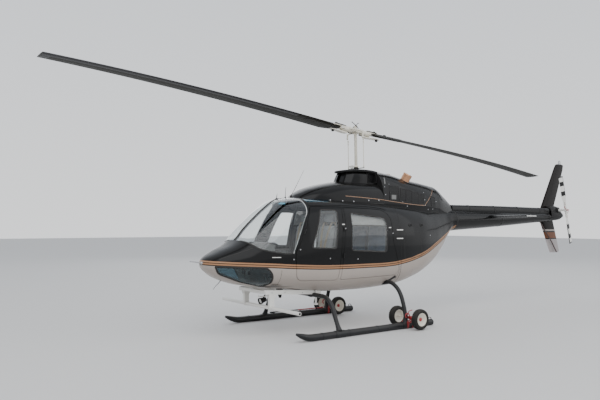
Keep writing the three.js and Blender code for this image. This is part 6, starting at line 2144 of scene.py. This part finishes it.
def piping(form, size, place, inset=0.012, radius=0.0042):
    """A sewn cord round the front edge of a cushion."""
    x, y, z = size[0] / 2 - inset, size[1] / 2 - inset, size[2] / 2 - 0.010
    corners = rounded([(x, y, 0.04), (-x, y, 0.04), (-x, -y, 0.04), (x, -y, 0.04)], 6)
    ring_line = filled_in(np.array(corners), 0.04)
    form.rings([[Vector((u, v, z)) + Vector((u, v, 0)).normalized() * radius * math.cos(a)
                 + Vector((0, 0, radius * math.sin(a))) for a in circle_angles(8)]
                for u, v in ring_line], place, closed=True)


def leaning(x, y, z, angle):
    """A frame whose third axis looks forward out of a seat back; its first axis runs up the back."""
    return Matrix.Translation((x, y, z)) @ Matrix.Rotation(-angle, 4, "Y") @ Matrix(
        ((0, 0, 1, 0), (0, 1, 0, 0), (1, 0, 0, 0), (0, 0, 0, 1)))


# %% [markdown]
# The crew seats are separate, in grey cloth. The bench is split in the middle, in blue-grey cloth,
# with an olive roll along its top, as the rear window shows.

# %% Seats
cords = Form()
for word, side in SIDES.items():
    y = 0.310 * side
    base = (0.425, 0.432, 0.105)
    back = (0.535, 0.430, 0.100)
    pan = Matrix.Translation((1.812, y, 1.040)) @ Matrix.Rotation(math.radians(-3), 4, "Y")
    rest = leaning(1.592, y, 1.352, 0.14)
    cushion(f"crew_seat_{word}_base", "grey_cloth", base, pan,
            [(1, 0.0, 0.006), (0, 0.09, 0.005), (0, -0.06, 0.005)], replaces=(f"crew_seat_{word}",))
    cushion(f"crew_seat_{word}_back", "grey_cloth", back, rest,
            [(0, 0.16, 0.006), (0, 0.02, 0.006), (0, -0.12, 0.006)])
    piping(cords, base, pan)
    piping(cords, back, rest)
for word, side in SIDES.items():
    y = 0.268 * side
    base = (0.510, 0.528, 0.110)
    back = (0.540, 0.526, 0.105)
    pan = Matrix.Translation((0.640, y, 1.040)) @ Matrix.Rotation(math.radians(-3), 4, "Y")
    rest = leaning(0.446, y, 1.350, 0.10)
    cushion(f"bench_{word}_base", "blue_cloth", base, pan,
            [(1, -0.17, 0.005), (1, 0.0, 0.006), (1, 0.17, 0.005)], 0.010,
            replaces=("rear_bench",) if side > 0 else ())
    cushion(f"bench_{word}_back", "blue_cloth", back, rest,
            [(1, -0.17, 0.005), (1, 0.0, 0.006), (1, 0.17, 0.005)], 0.011)
    piping(cords, base, pan)
    piping(cords, back, rest)
FINISH["olive_cloth"] = new_material("olive_cloth", (0.085, 0.072, 0.045), 0.85, dust=0.05, height="weave",
                                     scale=300.0, bump=0.45, sheen=0.3)
cushion("bench_top_roll", "olive_cloth", (0.115, 1.04, 0.095), leaning(0.415, 0.0, 1.615, 0.10),
        [(1, 0.0, 0.005)], 0.010)
cords.piece("seat_piping", "cockpit_plastic", slot="seat_fabric", angle=60)

# %% [markdown]
# Each seat stands in a thin black shell with a frame tube round its back, and a head pad on two posts
# for the crew.

# %% Seat shells, head pads
shells = Form()
for side in (1, -1):
    y = 0.310 * side
    rest = leaning(1.592, y, 1.352, 0.14)
    shells.box((-0.275, -0.218, -0.058), (0.275, 0.218, -0.050), 0.003, rest)
    shells.tube([(-0.27, -0.222, -0.046), (0.20, -0.222, -0.046), (0.272, -0.16, -0.046),
                 (0.272, 0.16, -0.046), (0.20, 0.222, -0.046), (-0.27, 0.222, -0.046)], 0.009, 12, 60, rest)
    shells.box((1.60, y - 0.218, 0.985), (2.022, y + 0.218, 0.992), 0.003)
    for out in (0.06, -0.06):
        shells.rod((1.556, y + out, 1.60), (1.546, y + out, 1.68), 0.006, 10)
shells.box((-0.275, -0.535, -0.060), (0.285, 0.535, -0.052), 0.003, leaning(0.446, 0, 1.350, 0.10))
shells.piece("seat_shells", "satin_black", slot="trim_plastic")
for word, side in SIDES.items():
    cushion(f"head_pad_{word}", "grey_cloth", (0.13, 0.25, 0.07), leaning(1.556, 0.310 * side, 1.715, 0.10),
            (), 0.008, 0.010)


# %% Belts
RIBBON_STEPS = 24


def ribbon(form, places, across, width, thick=0.0022):
    """Flat webbing along a smooth line; across is roughly its width direction."""
    line = smooth_line(places, RIBBON_STEPS)
    tangents = np.gradient(line, axis=0)
    tangents /= np.linalg.norm(tangents, axis=1)[:, None]
    rings = []
    for centre, tangent in zip(line, tangents):
        wide = np.array(across, float)
        wide -= tangent * (wide @ tangent)
        wide *= width / 2 / np.linalg.norm(wide)
        lift = np.cross(tangent, wide)
        lift *= thick / 2 / np.linalg.norm(lift)
        rings.append([centre + wide + lift, centre - wide + lift, centre - wide - lift, centre + wide - lift])
    form.rings(rings)


# %% [markdown]
# **Belts.** Tan webbing hangs in a V over each crew seat, from the wall behind down to a steel buckle,
# with a lap belt to each side. The bench has lap belts only. Webbing is laid just above the cushions.

# %% Webbing and buckles
belts = Form()
buckles = Form()
for side in (1, -1):
    y = 0.310 * side
    for out in (1, -1):
        ribbon(belts, [(1.500, y + 0.105 * out, 1.57), (1.535, y + 0.100 * out, 1.655),
                       (1.595, y + 0.092 * out, 1.625), (1.655, y + 0.070 * out, 1.45),
                       (1.695, y + 0.040 * out, 1.25), (1.745, y + 0.018 * out, 1.125)], (0, 1, 0), 0.045)
        ribbon(belts, [(1.745, y + 0.020 * out, 1.118), (1.715, y + 0.12 * out, 1.118),
                       (1.665, y + 0.205 * out, 1.085), (1.640, y + 0.224 * out, 1.00)], (0.55, 0, 0.8),
               0.045)
    buckles.box((1.722, y - 0.032, 1.112), (1.772, y + 0.032, 1.130), 0.005)
    buckles.rod((1.747, y, 1.130), (1.747, y, 1.136), 0.018, 20)
for y in (-0.40, -0.14, 0.14, 0.40):
    ribbon(belts, [(0.505, y - 0.10, 1.085), (0.56, y - 0.06, 1.115), (0.60, y + 0.0, 1.125),
                   (0.575, y + 0.07, 1.118), (0.505, y + 0.10, 1.085)], (0.8, 0, 0.4), 0.045)
    buckles.box((0.575, y - 0.028, 1.118), (0.622, y + 0.028, 1.134), 0.004)
belts.piece("belt_webbing", "tan_webbing", slot="seat_fabric", angle=50)
buckles.piece("belt_buckles", "bare_steel", slot="seat_fabric")

# %% [markdown]
# **Instrument panel.** A pedestal rises from the floor between the pedals, with radios stacked on its
# face. The panel above it leans toward the crew, under a matt hood that keeps sunlight off the dials.

# %% Pedestal, panel and hood
panel = Form()
pedestal = on_stations([(1780, 0.742), (2000, 0.742), (2010, 1.130), (1802, 1.130), (1770, 0.98)])
panel.plate(pedestal, "y", -0.110, 0.110, 0.006)
profile = on_stations([(1800, 1.120), (2028, 1.120), (2052, 1.255), (1932, 1.340), (1783, 1.318)])
panel.plate(profile, "y", -0.248, 0.248, 0.008)
panel.piece("instrument_panel", "panel_grey", slot="trim_plastic", replaces=("instrument_console",))
hood = Form()
top = on_stations([(1735, 1.322), (1800, 1.352), (1930, 1.356), (2030, 1.300), (2068, 1.245), (2060, 1.238),
                   (2024, 1.288), (1926, 1.341), (1802, 1.338), (1742, 1.312)])
spread = [(-0.262, 0.94), (-0.250, 0.985), (0.0, 1.0), (0.250, 0.985), (0.262, 0.94)]
hood.rings([[(station(1900) + (x - station(1900)) * size, y, 1.28 + (z - 1.28) * size) for x, z in top]
            for y, size in spread])
hood.piece("panel_hood", "cockpit_plastic", slot="trim_plastic", angle=50)

dials = Form()
glasses = Form()
marks = Form()
PANEL_TILT = math.atan2(0.020, 0.205)
FACE = Matrix.Translation((station(1798), 0, 1.122)) @ Matrix.Rotation(-PANEL_TILT, 4, "Y")
DIALS = [(-0.195, 0.145, 0.036), (-0.115, 0.145, 0.036), (-0.035, 0.145, 0.030), (0.040, 0.145, 0.030),
         (0.115, 0.145, 0.036), (0.195, 0.145, 0.036), (-0.195, 0.062, 0.036), (-0.115, 0.062, 0.036),
         (-0.045, 0.075, 0.024), (0.010, 0.075, 0.024), (0.065, 0.075, 0.024), (0.130, 0.062, 0.030),
         (0.200, 0.062, 0.030), (-0.045, 0.024, 0.018), (0.005, 0.024, 0.018), (0.055, 0.024, 0.018)]
for y, z, size in DIALS:
    ring(dials, (0.003, y, z), (-1, 0, 0), size * 0.86, size, 0.008, 28, 0.0015, FACE)
    glasses.spun([(0, size * 0.87), (0.001, size * 0.87)], (0.000, y, z), (-1, 0, 0), 28, FACE)
    turn = (y * 37 + z * 21) % 1 * 2 * math.pi
    tip = Vector((-0.0025, y + math.sin(turn) * size * 0.6, z + math.cos(turn) * size * 0.6))
    marks.rod((-0.0025, y, z), tip, 0.0009, 6, matrix=FACE)
    for k in range(8):
        a = k * math.pi / 4
        marks.rod((-0.002, y + math.sin(a) * size * 0.66, z + math.cos(a) * size * 0.66),
                  (-0.002, y + math.sin(a) * size * 0.80, z + math.cos(a) * size * 0.80), 0.0007, 5,
                  matrix=FACE)
for k, z in enumerate((0.995, 1.035, 1.075)):
    dials.box((station(1772) - 0.002 + k * 0.008, -0.085, z), (station(1790) + k * 0.008, 0.085, z + 0.034),
              0.003)
    for y in (-0.07, 0.07):
        dials.rod((station(1766) + k * 0.008, y, z + 0.017), (station(1778) + k * 0.008, y, z + 0.017), 0.008,
                  14)
    marks.box((station(1771) - 0.0025 + k * 0.008, -0.045, z + 0.010),
              (station(1771) + k * 0.008, 0.045, z + 0.024), 0.001)
dials.piece("instrument_bezels", "satin_black", slot="trim_plastic")
glasses.piece("instrument_faces", "shade_and_dial_black", slot="trim_plastic")
marks.piece("instrument_marks", "white_enamel", slot="trim_plastic")

# %% [markdown]
# **Controls.** Each crew member has a cyclic stick between the knees, a collective lever on the left
# and two pedals. They are small parts without joints.

# %% Sticks, levers and pedals
controls = Form()
grips = Form()
for side in (1, -1):
    y = 0.310 * side
    controls.tube(on_stations([(1420, y, 0.742), (1425, y, 0.86), (1470, y, 0.98), (1440, y, 1.08),
                               (1425, y, 1.13)]), 0.0105, 12, 40)
    grips.tube(on_stations([(1427, y, 1.12), (1422, y, 1.16), (1430, y, 1.215)]), [0.017, 0.020, 0.018], 14,
               12)
    grips.box((station(1420), y - 0.014, 1.205), (station(1448), y + 0.014, 1.232), 0.005)
    grips.spun([(0, 0.030), (0.006, 0.036), (0.020, 0.030), (0.026, 0.016)], (station(1420), y, 0.742),
               (0, 0, 1), 20)
    controls.tube(on_stations([(900, y + 0.245, 0.97), (1050, y + 0.245, 1.02), (1230, y + 0.245, 1.075)]),
                  0.010, 12, 20)
    grips.rod((station(1195), y + 0.245, 1.065), (station(1320), y + 0.245, 1.102), 0.017, 16)
    for out in (0.085, -0.085):
        controls.rod((station(1925), y + out, 0.745), (station(1945), y + out, 0.85), 0.007, 10)
        grips.box((station(1935), y + out - 0.042, 0.845), (station(1955), y + out + 0.042, 0.905), 0.005)
controls.piece("control_tubes", "grey_enamel", slot="trim_plastic")
grips.piece("control_grips", "black_rubber", slot="trim_plastic")

# %% [markdown]
# Door linings and pockets close the inside of each door below its window; they ride on the door.

# %% Door linings
LININGS = {"crew": [(935, 1215), (1600, 1215), (1600, 850), (945, 840)],
           "passenger": [(-215, 1150), (800, 1170), (810, 830), (-300, 850)]}
for word, side in SIDES.items():
    for kind, corners in LININGS.items():
        lining = Form()
        skin_patch(lining, HULL, corners, side, -0.036, -0.0285, (24, 10))
        x0, z0 = corners[3]
        middle = (x0 + corners[2][0]) / 2
        skin_patch(lining, HULL, field(middle, z0 + 120, 180, 70), side, -0.046, -0.036, (10, 5))
        lining.piece(f"{kind}_door_{word}_lining", "panel_grey", f"{kind}_door_{word}_body")

# %% [markdown]
# ## Fittings
#
# Small parts tell how big a machine is. Seals first: every pane sits in a rubber channel, pale at the
# windscreen's rear edge and black elsewhere. A seal is a strip along the pane's
# own outline, so it cannot drift away from the glass.


# %% Window seals
def closed_loop(spots):
    return np.vstack([spots, spots[:1]])


def on_post(spots):
    """Drops repeated spots, so that a strip has a direction everywhere."""
    keep = [0]
    for index in range(1, len(spots)):
        if np.linalg.norm(spots[index] - spots[keep[-1]]) > 1e-4:
            keep.append(index)
    return spots[keep]


for word, side in SIDES.items():
    for outline, kind in (("crew_window", "crew"), ("rear_window", "passenger")):
        seal = Form()
        skin_strip(seal, HULL, on_post(closed_loop(OUTLINES[outline])), side, 0.017, -0.002, 0.0028)
        skin_strip(seal, HULL, on_post(closed_loop(OUTLINES[outline])), side, 0.030, -0.034, -0.0265)
        seal.piece(f"{kind}_window_{word}_seal", "black_rubber", f"{kind}_door_{word}_body", angle=50)
    fixed = Form()
    windscreen = OUTLINES["windscreen"]
    skin_strip(fixed, HULL, on_post(windscreen[:37]), side, 0.020, -0.002, 0.0030)
    skin_strip(fixed, HULL, on_post(windscreen[45:]), side, 0.016, -0.002, 0.0030)
    skin_strip(fixed, HULL, on_post(closed_loop(OUTLINES["chin"])), side, 0.026, -0.002, 0.0035)
    skin_strip(fixed, HULL, on_post(closed_loop(OUTLINES["roof"])), side, 0.012, -0.002, 0.0030)
    fixed.piece(f"fixed_window_{word}_seals", "black_rubber", angle=50)
    pale = Form()
    skin_strip(pale, HULL, on_post(windscreen[35:46]), side, 0.010, -0.002, 0.0035)
    pale.piece(f"pale_window_{word}_seals", "pale_seal", slot="glass", angle=50)

# %% [markdown]
# **Doors.** Each door hangs on two pins in line, has a flush lever with a pale plate behind it, and a
# gutter above. A pin's middle knuckle belongs to the door and its outer knuckles to the post, so the
# door can turn and the hinge stays in one piece.

# %% Hinges, handles, gutters
HINGES = {"crew": ((1653.3, 634, 1235), (1515.5, 634, 1520)),
          "passenger": ((817.5, 676, 1150), (769, 676, 1550))}
HANDLES = {"crew": (795, 1622, 0.052), "passenger": (-190, 1573, 0.050)}
post_knuckles = Form()
gutters = Form()
for word, side in SIDES.items():
    for kind, ends in HINGES.items():
        low, high = (Vector((station(x), y * side / 1000, z / 1000)) for x, y, z in ends)
        along_hinge = (high - low).normalized()
        door_knuckles = Form()
        for place in (low, high):
            door_knuckles.rod(place - along_hinge * 0.0135, place + along_hinge * 0.0135, 0.0068, 16)
            for end in (1, -1):
                near, far = sorted((0.0155 * end, 0.036 * end))
                post_knuckles.rod(place + along_hinge * near, place + along_hinge * far, 0.0066, 16)
        door_knuckles.piece(f"{kind}_door_{word}_knuckles", "satin_black", f"{kind}_door_{word}_body")
    for kind, (x, z, length) in HANDLES.items():
        body = f"{kind}_door_{word}_body"
        plate = Form()
        half = length * 500
        skin_patch(plate, HULL, field(x, z, half, 7), side, -0.001, 0.0016, (8, 3))
        plate.piece(f"{kind}_door_{word}_handle_plate", "white_enamel", body)
        lever = Form()
        skin_patch(lever, HULL, field(x, z - 36, half * 0.9, 6), side, -0.001, 0.007, (8, 3))
        centre = HULL.on_side(station(x + half * 0.6), (z - 36) / 1000, side, 0.004)[0]
        outward = HULL.on_side(station(x + half * 0.6), (z - 36) / 1000, side, 1.004)[0] - centre
        lever.spun([(0, 0.010), (0.004, 0.0095), (0.006, 0.006)], centre, outward, 18)
        lever.piece(f"{kind}_door_{word}_lever", "satin_black", body)
    for places in ([(1330, 1912), (1000, 1918), (700, 1918)],
                   [(690, 1916), (300, 1912), (-60, 1888), (-190, 1858)]):
        skin_strip(gutters, HULL, line_on(HULL, places, 30), side, 0.007, -0.001, 0.006)
post_knuckles.piece("door_post_knuckles", "satin_black")
gutters.piece("door_gutters", "satin_black")

# %% [markdown]
# **Marks and vents on the hull.** Pale plates mark the lifting and tie-down places, two oval vents
# feed the aft bay, and fine seams show the access panels. The fuel filler is to starboard.

# %% Plates, vents, seams, filler
plates = Form()
vents = Form()
holes = Form()
hull_seams = Form()
dots = Form()
for side in (1, -1):
    for x, z in ((-425, 1534), (-412, 1394)):
        skin_patch(plates, HULL, field(x, z, 75, 7.5), side, -0.001, 0.002, (10, 3))
    skin_patch(plates, HULL, [(1907, 1154), (2039, 1156), (2039, 1146), (1907, 1144)], side, -0.001, 0.0016,
               (8, 3))
    for x, z in ((1708, 1116), (1072, 1113), (526, 1088), (-1304, 1435), (760, 1560), (-250, 1480),
                 (1600, 1255)):
        spot = HULL.on_side(station(x), z / 1000, side, 0.0)[0]
        outward = HULL.on_side(station(x), z / 1000, side, 1.0)[0] - spot
        dots.spun([(-0.001, 0.0105), (0.0012, 0.0095), (0.0024, 0.005)], spot, outward, 16)
    for x, z in ((-712, 1609), (-1047, 1609)):
        loop_angles = np.linspace(0, 2 * math.pi, 33)
        loop = np.stack([x + 42 * np.cos(loop_angles), z + 24 * np.sin(loop_angles)], axis=1)
        spots = np.stack([loop[:, 0] / 1000 + MAST_STATION,
                          HULL.angle_of_height(loop[:, 0] / 1000 + MAST_STATION, loop[:, 1] / 1000)], axis=1)
        skin_strip(vents, HULL, spots, side, 0.012, -0.001, 0.006)
        # The vent's opening is a near-black patch: painted shade for the dark bay behind its bars.
        skin_patch(holes, HULL, field(x, z, 34, 15), side, -0.001, 0.0012, (6, 4))
        for shift in (-16, 0, 16):
            skin_strip(vents, HULL, line_on(HULL, [(x + shift, z + 20), (x + shift - 4, z - 20)], 6), side,
                       0.004, -0.001, 0.004)
    for places in ([(1893, 968), (1893, 800), (1880, 720)],
                   [(-411, 950), (-398, 880), (-385, 800), (-360, 720)],
                   [(2727, 1129), (2625, 1170), (2504, 1210), (2394, 1247), (2290, 1285)],
                   [(-520, 1500), (-980, 1500)], [(-980, 1500), (-1010, 1090)], [(-1010, 1090), (-530, 1060)],
                   [(-530, 1060), (-520, 1500)]):
        skin_strip(hull_seams, HULL, line_on(HULL, places, 24), side, 0.0042, -0.001, 0.0007)
plates.piece("hull_marker_plates", "white_enamel")
vents.piece("hull_vent_frames", "satin_black")
holes.piece("hull_vent_holes", "shade_and_dial_black")
hull_seams.piece("hull_panel_seams", "black_rubber")
dots.piece("hull_fasteners", "bare_steel")
filler = Form()
spot = HULL.on_side(station(-640), 1.40, -1, 0.0)[0]
outward = HULL.on_side(station(-640), 1.40, -1, 1.0)[0] - spot
filler.spun([(-0.002, 0.058), (0.003, 0.060), (0.006, 0.056), (0.007, 0.044), (0.012, 0.042), (0.014, 0.036)],
            spot, outward, 36)
filler.box((-0.034, -0.006, 0.013), (0.034, 0.006, 0.019), 0.002,
           Matrix.Translation(spot) @ Vector(outward).to_track_quat("Z", "Y").to_matrix().to_4x4())
filler.piece("fuel_filler_cap", "bare_steel")

# %% [markdown]
# **Air data and radio.** A pitot tube points ahead of the nose. Aerials stand on the roof: a short
# blade, a whip, and a long thin whip from a black base. Another whip curves down under the nose.

# %% Pitot, aerials, roof lamp
pitot = Form()
pitot.tube(on_stations([(2840, 0, 1.071), (2900, 0, 1.078), (2960, 0, 1.090)]), [0.012, 0.009, 0.0078], 16,
           16)
pitot.rod((station(2955), 0, 1.089), (station(3052), 0, 1.102), 0.0068, 16)
pitot.spun([(0, 0.022), (0.006, 0.024), (0.014, 0.018), (0.024, 0.011)], (station(2858), 0, 1.0725),
           (1, 0, 0.08), 20)
pitot.piece("pitot_tube", "bare_steel")
aerials = Form()
aerials.rings([[(station(x), y, z) for x, y in ((1625, 0), (1612, 0.006), (1585, 0.005), (1560, 0),
                                                (1585, -0.005), (1612, -0.006))]
               for x, z in ((0, 1.99), (0, 2.02))])
aerials.tube(on_stations([(1603, 0, 2.005), (1600, 0, 2.05), (1594, 0, 2.09)]), [0.007, 0.005, 0.003], 10, 12)
aerials.spun([(0, 0.018), (0.008, 0.018), (0.022, 0.008), (0.030, 0.006)], (station(1442), 0, 2.022),
             (0, 0, 1), 18)
aerials.tube(on_stations([(1442, 0, 2.04), (1438, 0, 2.12), (1430, 0, 2.20)]), [0.0045, 0.0035, 0.0025], 8,
             12)
aerials.spun([(0, 0.032), (0.006, 0.032), (0.016, 0.022), (0.030, 0.018), (0.046, 0.012), (0.052, 0.006)],
             (station(1332), 0, 2.028), (0, 0, 1), 20)
aerials.tube(on_stations([(1330, 0, 2.07), (1240, 0, 2.21), (1160, 0, 2.35), (1081, 0, 2.483)]),
             [0.0042, 0.0034, 0.0026, 0.0018], 8, 24)
aerials.tube(on_stations([(2560, 0, 0.815), (2600, 0, 0.775), (2645, 0, 0.735), (2685, 0, 0.69)]),
             [0.006, 0.0045, 0.0035, 0.0025], 8, 16)
aerials.spun([(0, 0.020), (0.006, 0.020), (0.014, 0.010)], (station(2560), 0, 0.828), (0, 0, -1), 16)
for x in (1480, 760):
    aerials.plate(on_stations([(x, HULL.at(station(x), "low") + 0.004),
                               (x + 130, HULL.at(station(x + 130), "low") + 0.004),
                               (x + 70, HULL.at(station(x), "low") - 0.13),
                               (x + 30, HULL.at(station(x), "low") - 0.13)]), "y", -0.005, 0.005, 0.002)
aerials.piece("aerials", "satin_black")
strobe = Form()
strobe.spun([(0, 0.040), (0.012, 0.040), (0.016, 0.031), (0.060, 0.030), (0.080, 0.022), (0.090, 0.008)],
            (station(-6385), FIN_MIDDLE, 3.018), (0, 0, 1), 24)
strobe.piece("fin_strobe", "bare_steel", angle=50)
lamps = Form()
for side in (1, -1):
    lamps.plate(on_stations([(-3725, 1.783), (-3425, 1.783), (-3420, 1.799), (-3725, 1.799)]), "y",
                *sorted((0.979 * side, 0.991 * side)), 0.003)
lamps.spun([(0, 0.014), (0.004, 0.020), (0.020, 0.019), (0.034, 0.010)], (station(-6255), 0, 1.828),
           (-1, 0, 0), 20)
lamps.piece("position_lamps", "warm_lens", slot="white_paint", angle=50)

# %% [markdown]
# Inside, over the crew, hang a switch panel and a compass; the roof windows leave a beam between them.

# %% Overhead panel, compass
overhead = Form()
overhead.box((station(880), -0.105, 1.935), (station(1300), 0.105, 1.985), 0.010)
overhead.box((station(900), -0.085, 1.925), (station(1270), 0.085, 1.937), 0.004)
for k in range(9):
    for y in (-0.055, 0.0, 0.055):
        overhead.rod((station(920 + 38 * k), y, 1.926), (station(920 + 38 * k), y, 1.914), 0.0032, 8)
overhead.piece("overhead_panel", "cockpit_plastic", slot="trim_plastic")
compass = Form()
compass.spun([(0, 0.022), (0.006, 0.030), (0.040, 0.030), (0.048, 0.022)], (station(1660), 0, 1.86),
             (-1, 0, -0.2), 24)
compass.tube(on_stations([(1672, 0, 1.872), (1672, 0, 1.92), (1650, 0, 1.955)]), 0.006, 8, 12)
compass.piece("standby_compass", "satin_black", slot="trim_plastic")

# %% [markdown]
# **Engine and gearbox.** Both heavy masses are hidden, but the model carries them, so they get their
# own forms and a cast finish: a turbine with its casing rings, pipes and gear case, and a ribbed
# gearbox under the mast.

# %% Engine and gearbox
engine = Form()
axis_start = (station(-1405), 0, 2.105)
engine.spun([(0, 0.070), (0.02, 0.090), (0.16, 0.096), (0.17, 0.112), (0.20, 0.112), (0.21, 0.100),
             (0.40, 0.104), (0.41, 0.122), (0.45, 0.122), (0.46, 0.095), (0.62, 0.085), (0.63, 0.105),
             (0.66, 0.105), (0.67, 0.080), (0.80, 0.070), (0.82, 0.055), (0.875, 0.05)], axis_start,
            (1, 0, 0), 40)
engine.box((station(-1010), -0.150, 1.950), (station(-680), 0.150, 2.060), 0.020)
engine.box((station(-960), -0.120, 2.050), (station(-740), 0.120, 2.235), 0.025)
for side in (1, -1):
    engine.tube(on_stations([(-1360, 0.080 * side, 2.06), (-1200, 0.150 * side, 2.02),
                             (-1000, 0.165 * side, 2.03), (-800, 0.150 * side, 2.09),
                             (-620, 0.080 * side, 2.10)]), 0.020, 14, 40)
    engine.tube(on_stations([(-1300, 0.06 * side, 2.19), (-1100, 0.12 * side, 2.19),
                             (-700, 0.12 * side, 2.17)]), 0.010, 10, 30)
engine.bolts([(station(-1205), 0.106 * math.cos(a), 2.105 + 0.106 * math.sin(a)) for a in circle_angles(16)],
             (-1, 0, 0), 0.006, 0.008)
engine.piece("engine_casing", "bare_steel", slot="engine_metal", replaces=("engine",), angle=40)
gearbox = Form()
gearbox.spun([(0, 0.105), (0.01, 0.118), (0.06, 0.120), (0.07, 0.135), (0.10, 0.138), (0.12, 0.125),
              (0.22, 0.110), (0.26, 0.080), (0.36, 0.050), (0.44, 0.040)], (station(-5), 0, 2.012), (0, 0, 1),
             40)
for k in range(10):
    a = 2 * math.pi * k / 10
    gearbox.box((0.070, -0.004, 2.12), (0.125, 0.004, 2.24), 0.002,
                Matrix.Translation((station(-5), 0, 0)) @ Matrix.Rotation(a, 4, "Z"))
gearbox.rod((station(-165), 0, 2.08), (station(-60), 0, 2.08), 0.045, 24)
gearbox.piece("gearbox_casing", "dark_steel", slot="engine_metal", replaces=("transmission",), angle=40)
print("engine and gearbox done")

# %% [markdown]
# ## Stage
#
# A pale floor and three large soft lights. Black lacquer shows the lights as reflections, so they are
# broad and even, and the sky behind them is pale too.

# %% Floor, lights and sky
floor_mesh = bpy.data.meshes.new("floor")
reach = 60.0
floor_mesh.from_pydata([(-reach, -reach, 0), (reach, -reach, 0), (reach, reach, 0), (-reach, reach, 0)], [],
                       [(0, 1, 2, 3)])
floor = bpy.data.objects.new("floor", floor_mesh)
bpy.context.scene.collection.objects.link(floor)
FINISH["studio_floor"] = new_material("studio_floor", (0.62, 0.61, 0.595), 0.75, dust=0.02, bump=0.02)
floor_mesh.materials.append(FINISH["studio_floor"])

world = bpy.data.worlds.new("sky")
bpy.context.scene.world = world
world.use_nodes = True
sky_tree = world.node_tree
direction = add_node(sky_tree, "ShaderNodeSeparateXYZ")
sky_tree.links.new(add_node(sky_tree, "ShaderNodeTexCoord").outputs["Generated"], direction.inputs[0])
blend = add_node(sky_tree, "ShaderNodeMapRange", {"From Min": -0.05, "From Max": 0.6})
sky_tree.links.new(direction.outputs["Z"], blend.inputs["Value"])
sky_tree.links.new(mixed(sky_tree, blend.outputs[0], (0.93, 0.94, 0.95), (0.62, 0.66, 0.72)),
                   sky_tree.nodes["Background"].inputs["Color"])
sky_tree.nodes["Background"].inputs["Strength"].default_value = 1.35
for name, spot, size, power in (("key", (7, 9, 12), 16, 1500), ("fill", (-10, 11, 9), 14, 500),
                                ("back", (-8, -12, 10), 14, 500)):
    lamp = bpy.data.lights.new(name, "AREA")
    lamp.size = size
    lamp.energy = power
    lamp_object = bpy.data.objects.new(name, lamp)
    bpy.context.scene.collection.objects.link(lamp_object)
    lamp_object.location = spot
    lamp_object.rotation_euler = (Vector((0, 0, 1.2)) - Vector(spot)).to_track_quat("-Z", "Y").to_euler()
